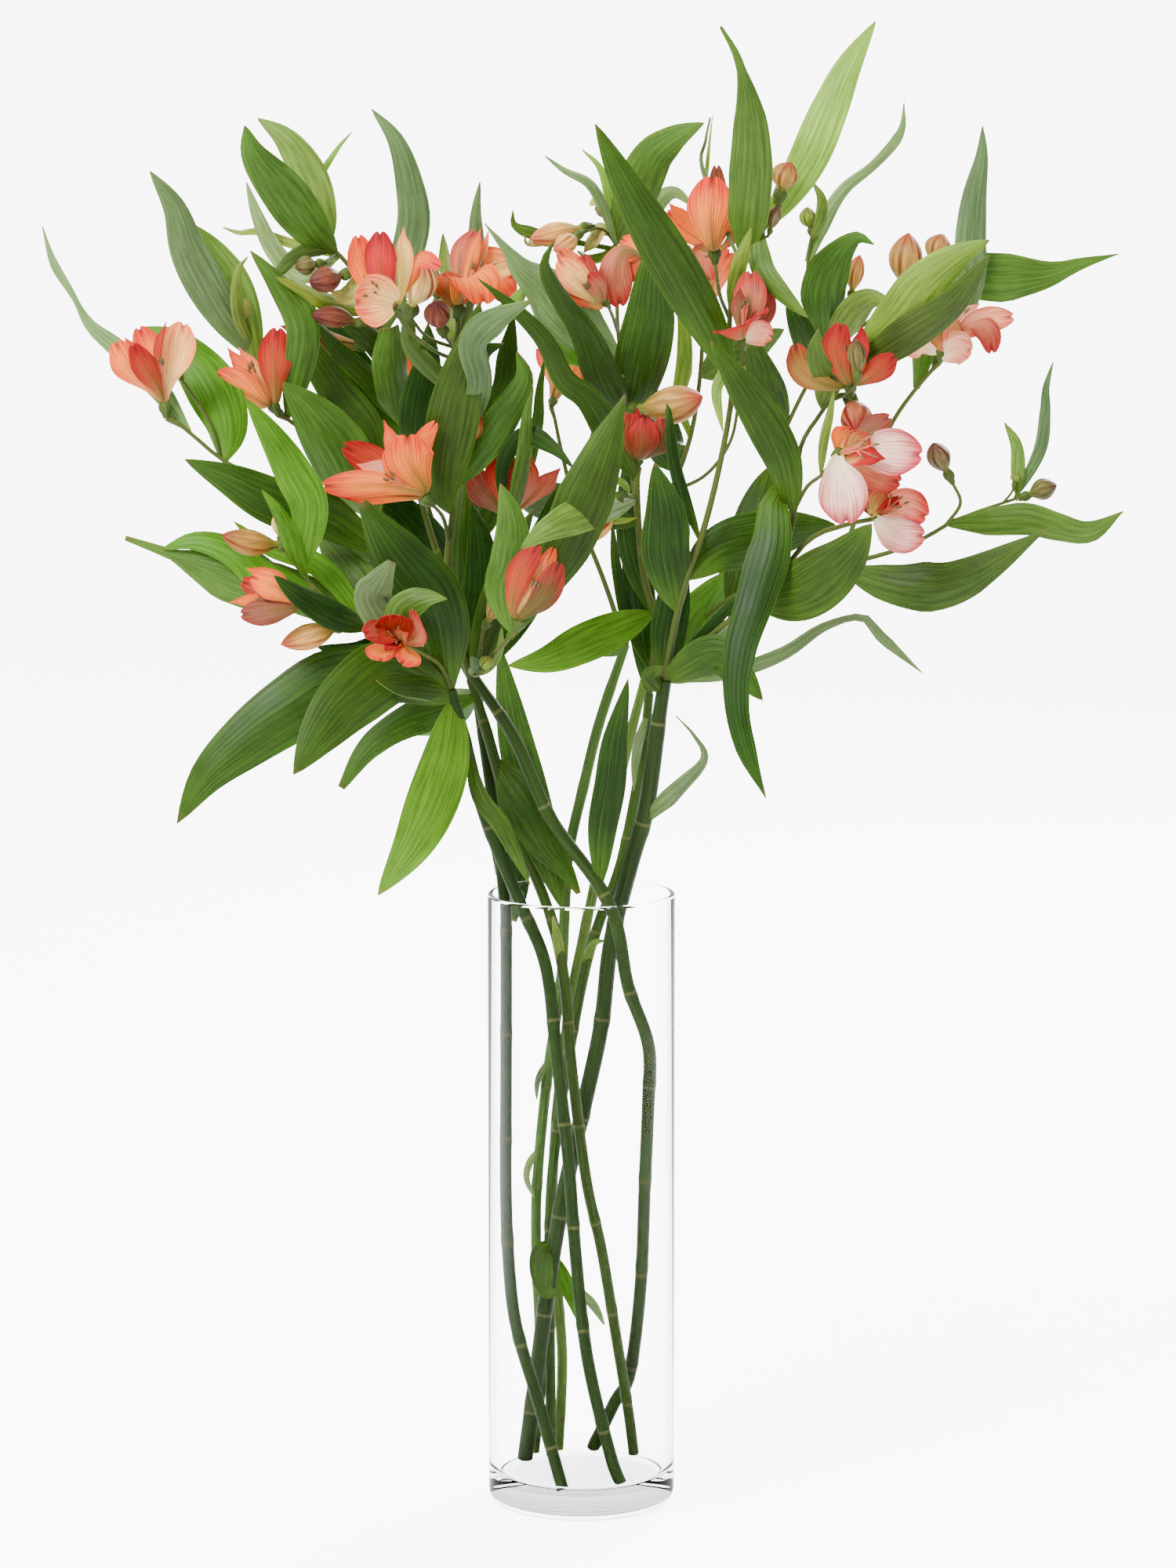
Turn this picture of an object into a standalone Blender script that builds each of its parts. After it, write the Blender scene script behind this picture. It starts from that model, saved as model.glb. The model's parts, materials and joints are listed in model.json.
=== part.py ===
"""A tall straight glass vase that holds eight leafy cut stems of alstroemeria.

The origin is the centre of the vase's flat underside, and +Z is up. The stems stand on the vase's thick
floor and lean in it. Places in the foliage are measured in the reference view: a pixel across, a pixel
down, and the depth in millimetres behind the vase's axis. at() turns such a place into metres.
"""
import math
from collections import namedtuple

import bpy
import bmesh
from mathutils import Matrix, Vector
from mathutils.bvhtree import BVHTree

# Driving dimensions of the vase, in metres
VASE_RADIUS = 0.050
VASE_HEIGHT = 0.333
VASE_WALL = 0.0030
VASE_FLOOR = 0.016
HEEL_RADIUS = 0.007
RIM_ROUNDING = 0.0012
VASE_SIDES = 32

# Clearance between neighbouring solids
GAP = 0.0003

# The reference view: a camera level with the foliage that looks slightly down at the vase
EYE = Vector((0.0036, -2.780, 0.787))
EYE_PITCH = math.radians(8.1)
EYE_FOCAL = 6731.6
PICTURE_MIDDLE = (750, 1000)
MM = 0.001
MM_PER_PIXEL = 0.418

# Thickness of the plant's parts, in metres
LEAF_THICKNESS = 0.0014
TEPAL_THICKNESS = 0.0013
LEAF_MARGIN = 0.0012
FLAT_ANGLE = math.radians(0.5)
OVARY_SHARE = 0.3

# A flower's shape, as shares of its tepals' length; outer tepals come before inner ones
THROAT_FOOT = 0.05
THROAT_RADIUS = 0.115
THROAT_HEIGHT = 0.24
THROAT_PIT = 0.10
TEPAL_STATIONS = (0.36, 0.70, 0.90, 1.0)
TEPAL_WIDTHS = ((0.30, 0.46, 0.36), (0.19, 0.29, 0.24))
TEPAL_OPENINGS = (1.0, 0.72)
TEPAL_CUP = 0.14

# How a tepal leans: its first lean in degrees, and how much further its tip leans than the flower opens
FIRST_LEAN = 10
LAST_LEAN = 1.35

# Half of the angle round the axis that a tepal may fill, the seam beside it, and how much of it is filled
TEPAL_SECTORS = (35, 25)
SEAM = 3.0
SECTOR_FILL = 0.92

# How finely each part is divided
STEM_STEPS = 15
STEM_SIDES = 6
RAY_STEP = 0.041
RAY_SIDES = 4
LEAF_STEP = 0.026
LEAF_MOST_STEPS = 5
BUD_SIDES = 5

# Search for room: how far a leaf's tip moves in depth at each try, in mm, and how often
DEPTH_STEP = 7
DEPTH_TRIES = 12

Stem = namedtuple("Stem", "thick path")
Ray = namedtuple("Ray", "stem parent thick path")
Bloom = namedtuple("Bloom", "ray base aim size open spin")
Bud = namedtuple("Bud", "ray base tip width own_node")
Leaf = namedtuple("Leaf", "ray spine depth width roll")

# Cut stems, from the whorl down to the cut end: thickness in mm, then (across, down, depth)
STEMS = {
    "a": Stem(6.6, ((606, 872, 35), (620, 960, 26), (634, 1060, 10), (643, 1140, 0), (645, 1200, -2),
                    (645, 1412, -4), (645, 1514, -6), (649, 1609, -10), (659, 1692, -18),
                    (686, 1785, -30), (718, 1902, -40.5))),
    "b": Stem(6.8, ((575, 880, -45), (590, 932, -42), (618, 1040, -28), (664, 1154, -17), (696, 1233, -20),
                    (710, 1348, -23), (725, 1480, -24), (735, 1609, -25), (750, 1737, -27),
                    (779, 1858, -29), (792, 1893, -30))),
    "c": Stem(6.0, ((600, 866, 5), (620, 930, 3), (655, 1050, -4), (697, 1154, -8), (719, 1246, -11),
                    (729, 1361, -14), (748, 1507, -9), (767, 1593, 0), (785, 1699, 14),
                    (802, 1801, 26), (809, 1854, 31))),
    "h": Stem(7.0, ((603, 862, -18), (655, 940, -20), (700, 1040, -22), (763, 1128, -25), (787, 1182, -24),
                    (801, 1259, -20), (827, 1335, -14), (827, 1412, -4), (823, 1514, 7),
                    (818, 1641, 20), (804, 1753, 31), (785, 1788, 35), (756, 1848, 41.5))),
    "g": Stem(8.6, ((848, 868, -30), (840, 920, -27), (825, 1030, -18), (804, 1105, -11), (779, 1207, -6),
                    (767, 1310, -1), (745, 1412, 2), (718, 1530, 6), (699, 1641, 11),
                    (684, 1753, 16), (669, 1860, 21))),
    "d": Stem(5.8, ((798, 822, 50), (765, 920, 42), (745, 1000, 32), (725, 1090, 22), (720, 1169, 18),
                    (715, 1258, 21), (698, 1373, 25), (686, 1490, 27), (683, 1577, 29),
                    (688, 1700, 31), (690, 1760, 33), (681, 1853, 35))),
    "e": Stem(5.8, ((822, 868, 20), (797, 965, 20), (768, 1085, 20), (745, 1195, 24), (729, 1274, 28),
                    (712, 1400, 31), (704, 1540, 34), (712, 1660, 37), (717, 1740, 39),
                    (712, 1849, 40.5))),
    "f": Stem(5.8, ((828, 885, -6), (820, 960, -2), (795, 1090, 4), (768, 1169, 8), (748, 1233, 11),
                    (727, 1340, 15), (706, 1480, 19), (700, 1593, 23), (701, 1700, 25),
                    (703, 1856, 27))),
}

# Flower rays and the stalks that fork from them: stem, parent, (thick, thin) in mm, path from the root
RAYS = {
    "b_low": Ray("b", "b", (3.0, 2.2), ((575, 880, -45), (555, 840, -47), (510, 812, -50),
                                        (470, 801, -54), (441, 798, -58))),
    "b_front": Ray("b", "b", (3.0, 2.2), ((575, 880, -45), (562, 850, -55), (540, 834, -67),
                                          (517, 823, -77))),
    "b_left": Ray("b", "b", (3.4, 2.0), ((577, 878, -45), (550, 790, -36), (480, 700, -32),
                                         (400, 645, -30), (330, 608, -30), (288, 590, -30),
                                         (240, 550, -34), (214, 530, -36))),
    "b_pale": Ray("b", "b_left", (2.0, 1.6), ((283, 586, -30), (270, 545, -24), (250, 510, -20),
                                              (232, 484, -18))),
    "b_stalk": Ray("b", "b_low", (2.4, 1.8), ((480, 803, -52), (440, 780, -60), (400, 750, -64),
                                              (378, 712, -66), (369, 699, -67))),
    "b_side": Ray("b", "b_low", (2.0, 1.8), ((465, 800, -54), (440, 790, -66), (410, 775, -72),
                                             (391, 770, -76))),
    "b_white": Ray("b", "b_stalk", (1.8, 1.5), ((395, 742, -64), (370, 712, -58), (358, 692, -56))),
    "c_main": Ray("c", "c", (4.0, 2.6), ((600, 866, 5), (580, 800, 0), (572, 760, -8), (571, 710, -14),
                                         (578, 650, -14), (580, 610, -10), (592, 565, -4),
                                         (604, 530, 0), (600, 480, -2), (580, 440, -6))),
    "c_fork": Ray("c", "c_main", (2.4, 2.0), ((572, 690, -15), (565, 660, -24), (551, 643, -32))),
    "c_up": Ray("c", "c_main", (2.4, 2.0), ((581, 442, -6), (585, 420, -8), (584, 404, -8))),
    "c_round": Ray("c", "c_main", (2.0, 1.8), ((584, 446, -6), (575, 438, -18), (566, 427, -30))),
    "c_slim": Ray("c", "c_main", (2.0, 1.6), ((582, 444, -6), (565, 420, 8), (557, 394, 10))),
    "c_pink": Ray("c", "c_main", (2.0, 1.8), ((583, 446, -6), (545, 430, -14), (523, 404, -22))),
    "c_open": Ray("c", "c_main", (2.4, 2.0), ((590, 460, -4), (555, 448, -30), (520, 420, -44),
                                              (508, 402, -52))),
    "c_twig": Ray("c", "c_main", (1.8, 1.6), ((588, 590, -6), (586, 583, -14), (590, 575, -18))),
    "c_left": Ray("c", "c", (3.4, 2.2), ((600, 866, 5), (545, 770, 22), (475, 655, 27), (415, 575, 22),
                                         (370, 537, 14), (354, 526, 8))),
    "c_green": Ray("c", "c_left", (2.0, 1.6), ((366, 535, 12), (345, 505, 32), (326, 460, 36),
                                               (325, 426, 36))),
    "a_main": Ray("a", "a", (4.0, 2.4), ((606, 872, 35), (575, 760, 46), (540, 650, 50), (510, 530, 44),
                                         (488, 440, 36), (470, 380, 30), (455, 348, 26),
                                         (430, 325, 22), (415, 308, 20))),
    "a_olive": Ray("a", "a_main", (1.8, 1.5), ((428, 324, 22), (420, 330, 14), (413, 335, 8))),
    "a_rose": Ray("a", "a_main", (2.0, 1.8), ((466, 372, 28), (460, 358, 12), (450, 349, 2))),
    "a_wine": Ray("a", "a_main", (2.0, 1.8), ((484, 428, 35), (478, 420, 20), (467, 412, 10))),
    "a_low": Ray("a", "a_main", (2.0, 1.8), ((490, 450, 36), (478, 448, 42), (466, 444, 44))),
    "a_rear": Ray("a", "a", (3.6, 2.2), ((606, 872, 35), (590, 780, 70), (560, 690, 92), (535, 610, 98),
                                         (520, 560, 98))),
    "a_rear_fork": Ray("a", "a_rear", (2.0, 1.8), ((545, 640, 96), (500, 610, 100), (470, 590, 98))),
    "h_right": Ray("h", "h", (3.0, 2.2), ((603, 862, -18), (625, 840, -38), (642, 822, -52),
                                          (658, 803, -64))),
    "h_up": Ray("h", "h", (2.6, 2.0), ((603, 862, -18), (612, 835, -24), (615, 812, -28),
                                       (617, 802, -30))),
    "h_cup": Ray("h", "h", (3.0, 2.2), ((603, 862, -18), (630, 780, -6), (645, 720, 2), (650, 669, 4))),
    "g_high": Ray("g", "g", (4.0, 2.4), ((848, 868, -30), (860, 800, -38), (875, 740, -44),
                                         (893, 690, -48), (912, 620, -50), (930, 530, -50),
                                         (935, 470, -48), (930, 399, -40), (945, 350, -38),
                                         (958, 312, -36))),
    "g_red": Ray("g", "g_high", (2.4, 2.0), ((934, 480, -48), (944, 470, -56), (947, 446, -62))),
    "g_tall": Ray("g", "g_high", (2.2, 1.8), ((930, 405, -41), (918, 375, -32), (912, 334, -26))),
    "g_bud": Ray("g", "g_high", (2.2, 1.6), ((952, 330, -37), (975, 290, -36), (998, 260, -36))),
    "g_bud_low": Ray("g", "g_high", (2.0, 1.6), ((956, 318, -36), (960, 310, -40), (962, 301, -42))),
    "g_wide": Ray("g", "g", (3.8, 2.4), ((848, 868, -30), (870, 845, -34), (920, 800, -44),
                                         (985, 745, -54), (1030, 690, -54), (1070, 672, -48),
                                         (1111, 662, -42))),
    "g_mid": Ray("g", "g_wide", (3.2, 2.0), ((985, 745, -54), (1005, 690, -50), (1015, 640, -46),
                                             (1018, 590, -42), (1025, 560, -40), (1045, 530, -36),
                                             (1065, 500, -32), (1088, 468, -28))),
    "g_white": Ray("g", "g_mid", (2.4, 2.0), ((1015, 648, -47), (1030, 620, -54), (1050, 604, -60),
                                              (1064, 582, -64))),
    "g_cup": Ray("g", "g_mid", (2.2, 1.8), ((1045, 530, -36), (1060, 512, -44), (1082, 503, -50))),
    "g_droop": Ray("g", "g_mid", (2.0, 1.6), ((1068, 496, -31), (1085, 500, -22), (1096, 512, -24))),
    "f_mid": Ray("f", "f", (3.6, 2.4), ((828, 885, -6), (836, 800, -8), (822, 740, -10), (815, 680, -12),
                                        (812, 620, -16), (813, 596, -18))),
    "f_bract": Ray("f", "f_mid", (2.2, 1.8), ((813, 640, -14), (803, 634, -22), (793, 632, -28))),
    "f_up": Ray("f", "f_mid", (3.0, 1.8), ((815, 670, -12), (806, 600, 12), (800, 540, 18), (795, 480, 18),
                                           (788, 420, 24), (787, 360, 36), (787, 310, 40))),
    "f_rose": Ray("f", "f_up", (2.0, 1.8), ((799, 530, 18), (797, 528, 8), (801, 525, -2))),
    "f_face": Ray("f", "f_up", (2.2, 1.8), ((788, 424, 23), (782, 405, 4), (776, 391, -12))),
    "f_side": Ray("f", "f_up", (2.2, 1.8), ((792, 450, 20), (815, 400, 12), (830, 350, 6),
                                            (828, 331, 6))),
    "f_left": Ray("f", "f_up", (1.8, 1.5), ((787, 314, 40), (772, 295, 34), (757, 290, 28))),
    "f_tiny": Ray("f", "f_up", (1.6, 1.3), ((787, 312, 40), (778, 290, 44), (772, 276, 44))),
    "e_right": Ray("e", "e", (3.8, 2.2), ((822, 868, 20), (855, 850, 16), (900, 790, 8), (945, 757, 2),
                                          (1000, 747, -4), (1070, 722, -6), (1140, 703, -8),
                                          (1185, 683, -8), (1210, 668, -8))),
    "e_lift": Ray("e", "e_right", (2.0, 1.8), ((1206, 670, -8), (1225, 642, -12), (1214, 614, -14))),
    "e_far": Ray("e", "e_right", (2.0, 1.6), ((1206, 670, -8), (1240, 655, -6), (1290, 638, -6),
                                              (1300, 635, -6))),
    "e_open": Ray("e", "e_right", (2.8, 2.2), ((1070, 722, -6), (1105, 620, 6), (1135, 545, 10),
                                               (1165, 500, 6), (1196, 464, 2))),
    "e_high": Ray("e", "e", (3.4, 2.2), ((822, 868, 20), (870, 830, 26), (905, 770, 30), (925, 720, 32),
                                         (960, 660, 32), (985, 590, 30), (1003, 545, 28),
                                         (1030, 490, 22), (1056, 447, 16))),
    "e_short": Ray("e", "e_high", (1.8, 1.6), ((1052, 454, 17), (1074, 410, 10), (1085, 382, 6))),
    "e_fat": Ray("e", "e_high", (2.0, 1.8), ((1050, 457, 18), (1105, 412, 16), (1149, 378, 12))),
    "e_dark": Ray("e", "e_fat", (1.8, 1.6), ((1120, 402, 15), (1160, 385, 26), (1184, 350, 30))),
    "e_top": Ray("e", "e_high", (2.4, 1.6), ((1054, 451, 17), (1036, 390, 22), (1030, 345, 24),
                                             (1035, 298, 24))),
    "d_back": Ray("d", "d", (3.6, 2.2), ((798, 822, 50), (812, 720, 66), (850, 640, 74), (880, 560, 78),
                                         (893, 480, 76), (896, 425, 72))),
    "d_back_fork": Ray("d", "d_back", (2.2, 1.8), ((872, 585, 77), (910, 540, 84), (940, 505, 86))),
    "d_left": Ray("d", "d", (3.2, 2.0), ((798, 822, 50), (770, 740, 72), (735, 650, 84), (715, 570, 84),
                                         (705, 520, 80))),
}

# Open flowers: ray, base, aim as (across, down, depth), tepal length in mm, opening and spin in degrees
BLOOMS = {
    "bloom_01": Bloom("b_left", (212, 528), (194, 400, -48), 50, 34, 20),
    "bloom_02": Bloom("c_left", (353, 525), (300, 435, -6), 48, 34, 0),
    "bloom_03": Bloom("a_low", (464, 443), (405, 436, 50), 40, 30, 10),
    "bloom_04": Bloom("c_open", (507, 400), (458, 350, -84), 50, 55, 40),
    "bloom_05": Bloom("c_up", (583, 402), (617, 320, -14), 49, 42, 5),
    "bloom_06": Bloom("f_face", (775, 389), (725, 345, -36), 33, 32, 15),
    "bloom_07": Bloom("f_side", (828, 329), (775, 345, 8), 33, 28, 0),
    "bloom_08": Bloom("g_tall", (912, 331), (905, 240, -30), 47, 36, 30),
    "bloom_09": Bloom("e_open", (1199, 458), (1216, 390, -20), 47, 64, 10),
    "bloom_10": Bloom("g_cup", (1085, 501), (1076, 415, -66), 46, 44, 25),
    "bloom_11": Bloom("g_red", (947, 443), (952, 360, -76), 42, 34, 50),
    "bloom_12": Bloom("c_fork", (550, 641), (470, 585, -52), 52, 36, 12),
    "bloom_13": Bloom("b_side", (389, 769), (305, 758, -88), 40, 30, 35),
    "bloom_14": Bloom("b_front", (515, 822), (498, 812, -112), 38, 58, 15),
    "bloom_15": Bloom("h_cup", (650, 666), (656, 580, 0), 44, 40, 8),
    "bloom_16": Bloom("h_right", (660, 800), (706, 695, -92), 50, 26, 30),
    "bloom_17": Bloom("f_mid", (815, 592), (823, 535, -42), 30, 36, 0),
    "bloom_18": Bloom("g_white", (1066, 580), (1115, 565, -96), 46, 60, 55),
    "bloom_19": Bloom("g_wide", (1114, 661), (1150, 640, -66), 36, 56, 20),
    "bloom_20": Bloom("a_rear", (518, 555), (500, 500, 116), 44, 45, 0),
    "bloom_21": Bloom("d_back", (896, 421), (890, 360, 92), 44, 45, 30),
    "bloom_22": Bloom("d_left", (704, 516), (690, 450, 98), 44, 42, 15),
}

# Closed buds: ray, base and tip as (across, down, depth), width in mm, and whether coloured
BUDS = {
    "bud_01": Bud("a_rose", (448, 348), (395, 360, -12), 14, True),
    "bud_02": Bud("a_wine", (465, 412), (397, 402, 0), 11.5, True),
    "bud_03": Bud("a_olive", (413, 335), (376, 341, 2), 10.5, True),
    "bud_04": Bud("c_pink", (522, 402), (547, 335, -34), 17, True),
    "bud_05": Bud("c_round", (566, 426), (556, 386, -46), 14, True),
    "bud_06": Bud("c_slim", (557, 392), (557, 344, 12), 10, True),
    "bud_07": Bud("f_left", (755, 290), (678, 310, 12), 14, True),
    "bud_08": Bud("g_bud", (999, 258), (1008, 206, -40), 13, True),
    "bud_09": Bud("g_bud_low", (962, 300), (971, 249, -50), 11.5, True),
    "bud_10": Bud("e_short", (1085, 380), (1097, 325, 0), 9.5, True),
    "bud_11": Bud("e_fat", (1150, 376), (1159, 297, 4), 18, True),
    "bud_12": Bud("e_dark", (1185, 348), (1203, 298, 32), 14.5, True),
    "bud_13": Bud("b_stalk", (368, 697), (283, 682, -78), 13.5, True),
    "bud_14": Bud("b_low", (440, 798), (358, 822, -72), 13.5, True),
    "bud_15": Bud("c_twig", (591, 573), (613, 532, -30), 10.5, True),
    "bud_16": Bud("h_up", (618, 800), (645, 754, -40), 10.5, True),
    "bud_17": Bud("f_bract", (791, 632), (741, 690, -44), 16, True),
    "bud_18": Bud("e_lift", (1213, 612), (1190, 565, -20), 12.5, True),
    "bud_19": Bud("e_far", (1302, 635), (1348, 619, -8), 11.5, True),
    "bud_20": Bud("f_rose", (802, 525), (896, 506, -22), 16, True),
    "bud_21": Bud("g_droop", (1098, 514), (1116, 556, -58), 17, True),
    "bud_22": Bud("b_white", (357, 690), (352, 655, -54), 6, True),
    "bud_23": Bud("a_rear_fork", (468, 589), (425, 575, 104), 13, True),
    "bud_24": Bud("d_back_fork", (942, 503), (968, 465, 92), 13, True),
    "bud_25": Bud("c_green", (325, 424), (321, 396, 35), 9.5, False),
    "bud_26": Bud("e_top", (1035, 296), (1035, 270, 22), 9.5, False),
    "bud_27": Bud("f_tiny", (772, 275), (769, 264, 42), 5, False),
    "bud_28": Bud("b_pale", (232, 484), (224, 462, -14), 7, False),
}

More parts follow.
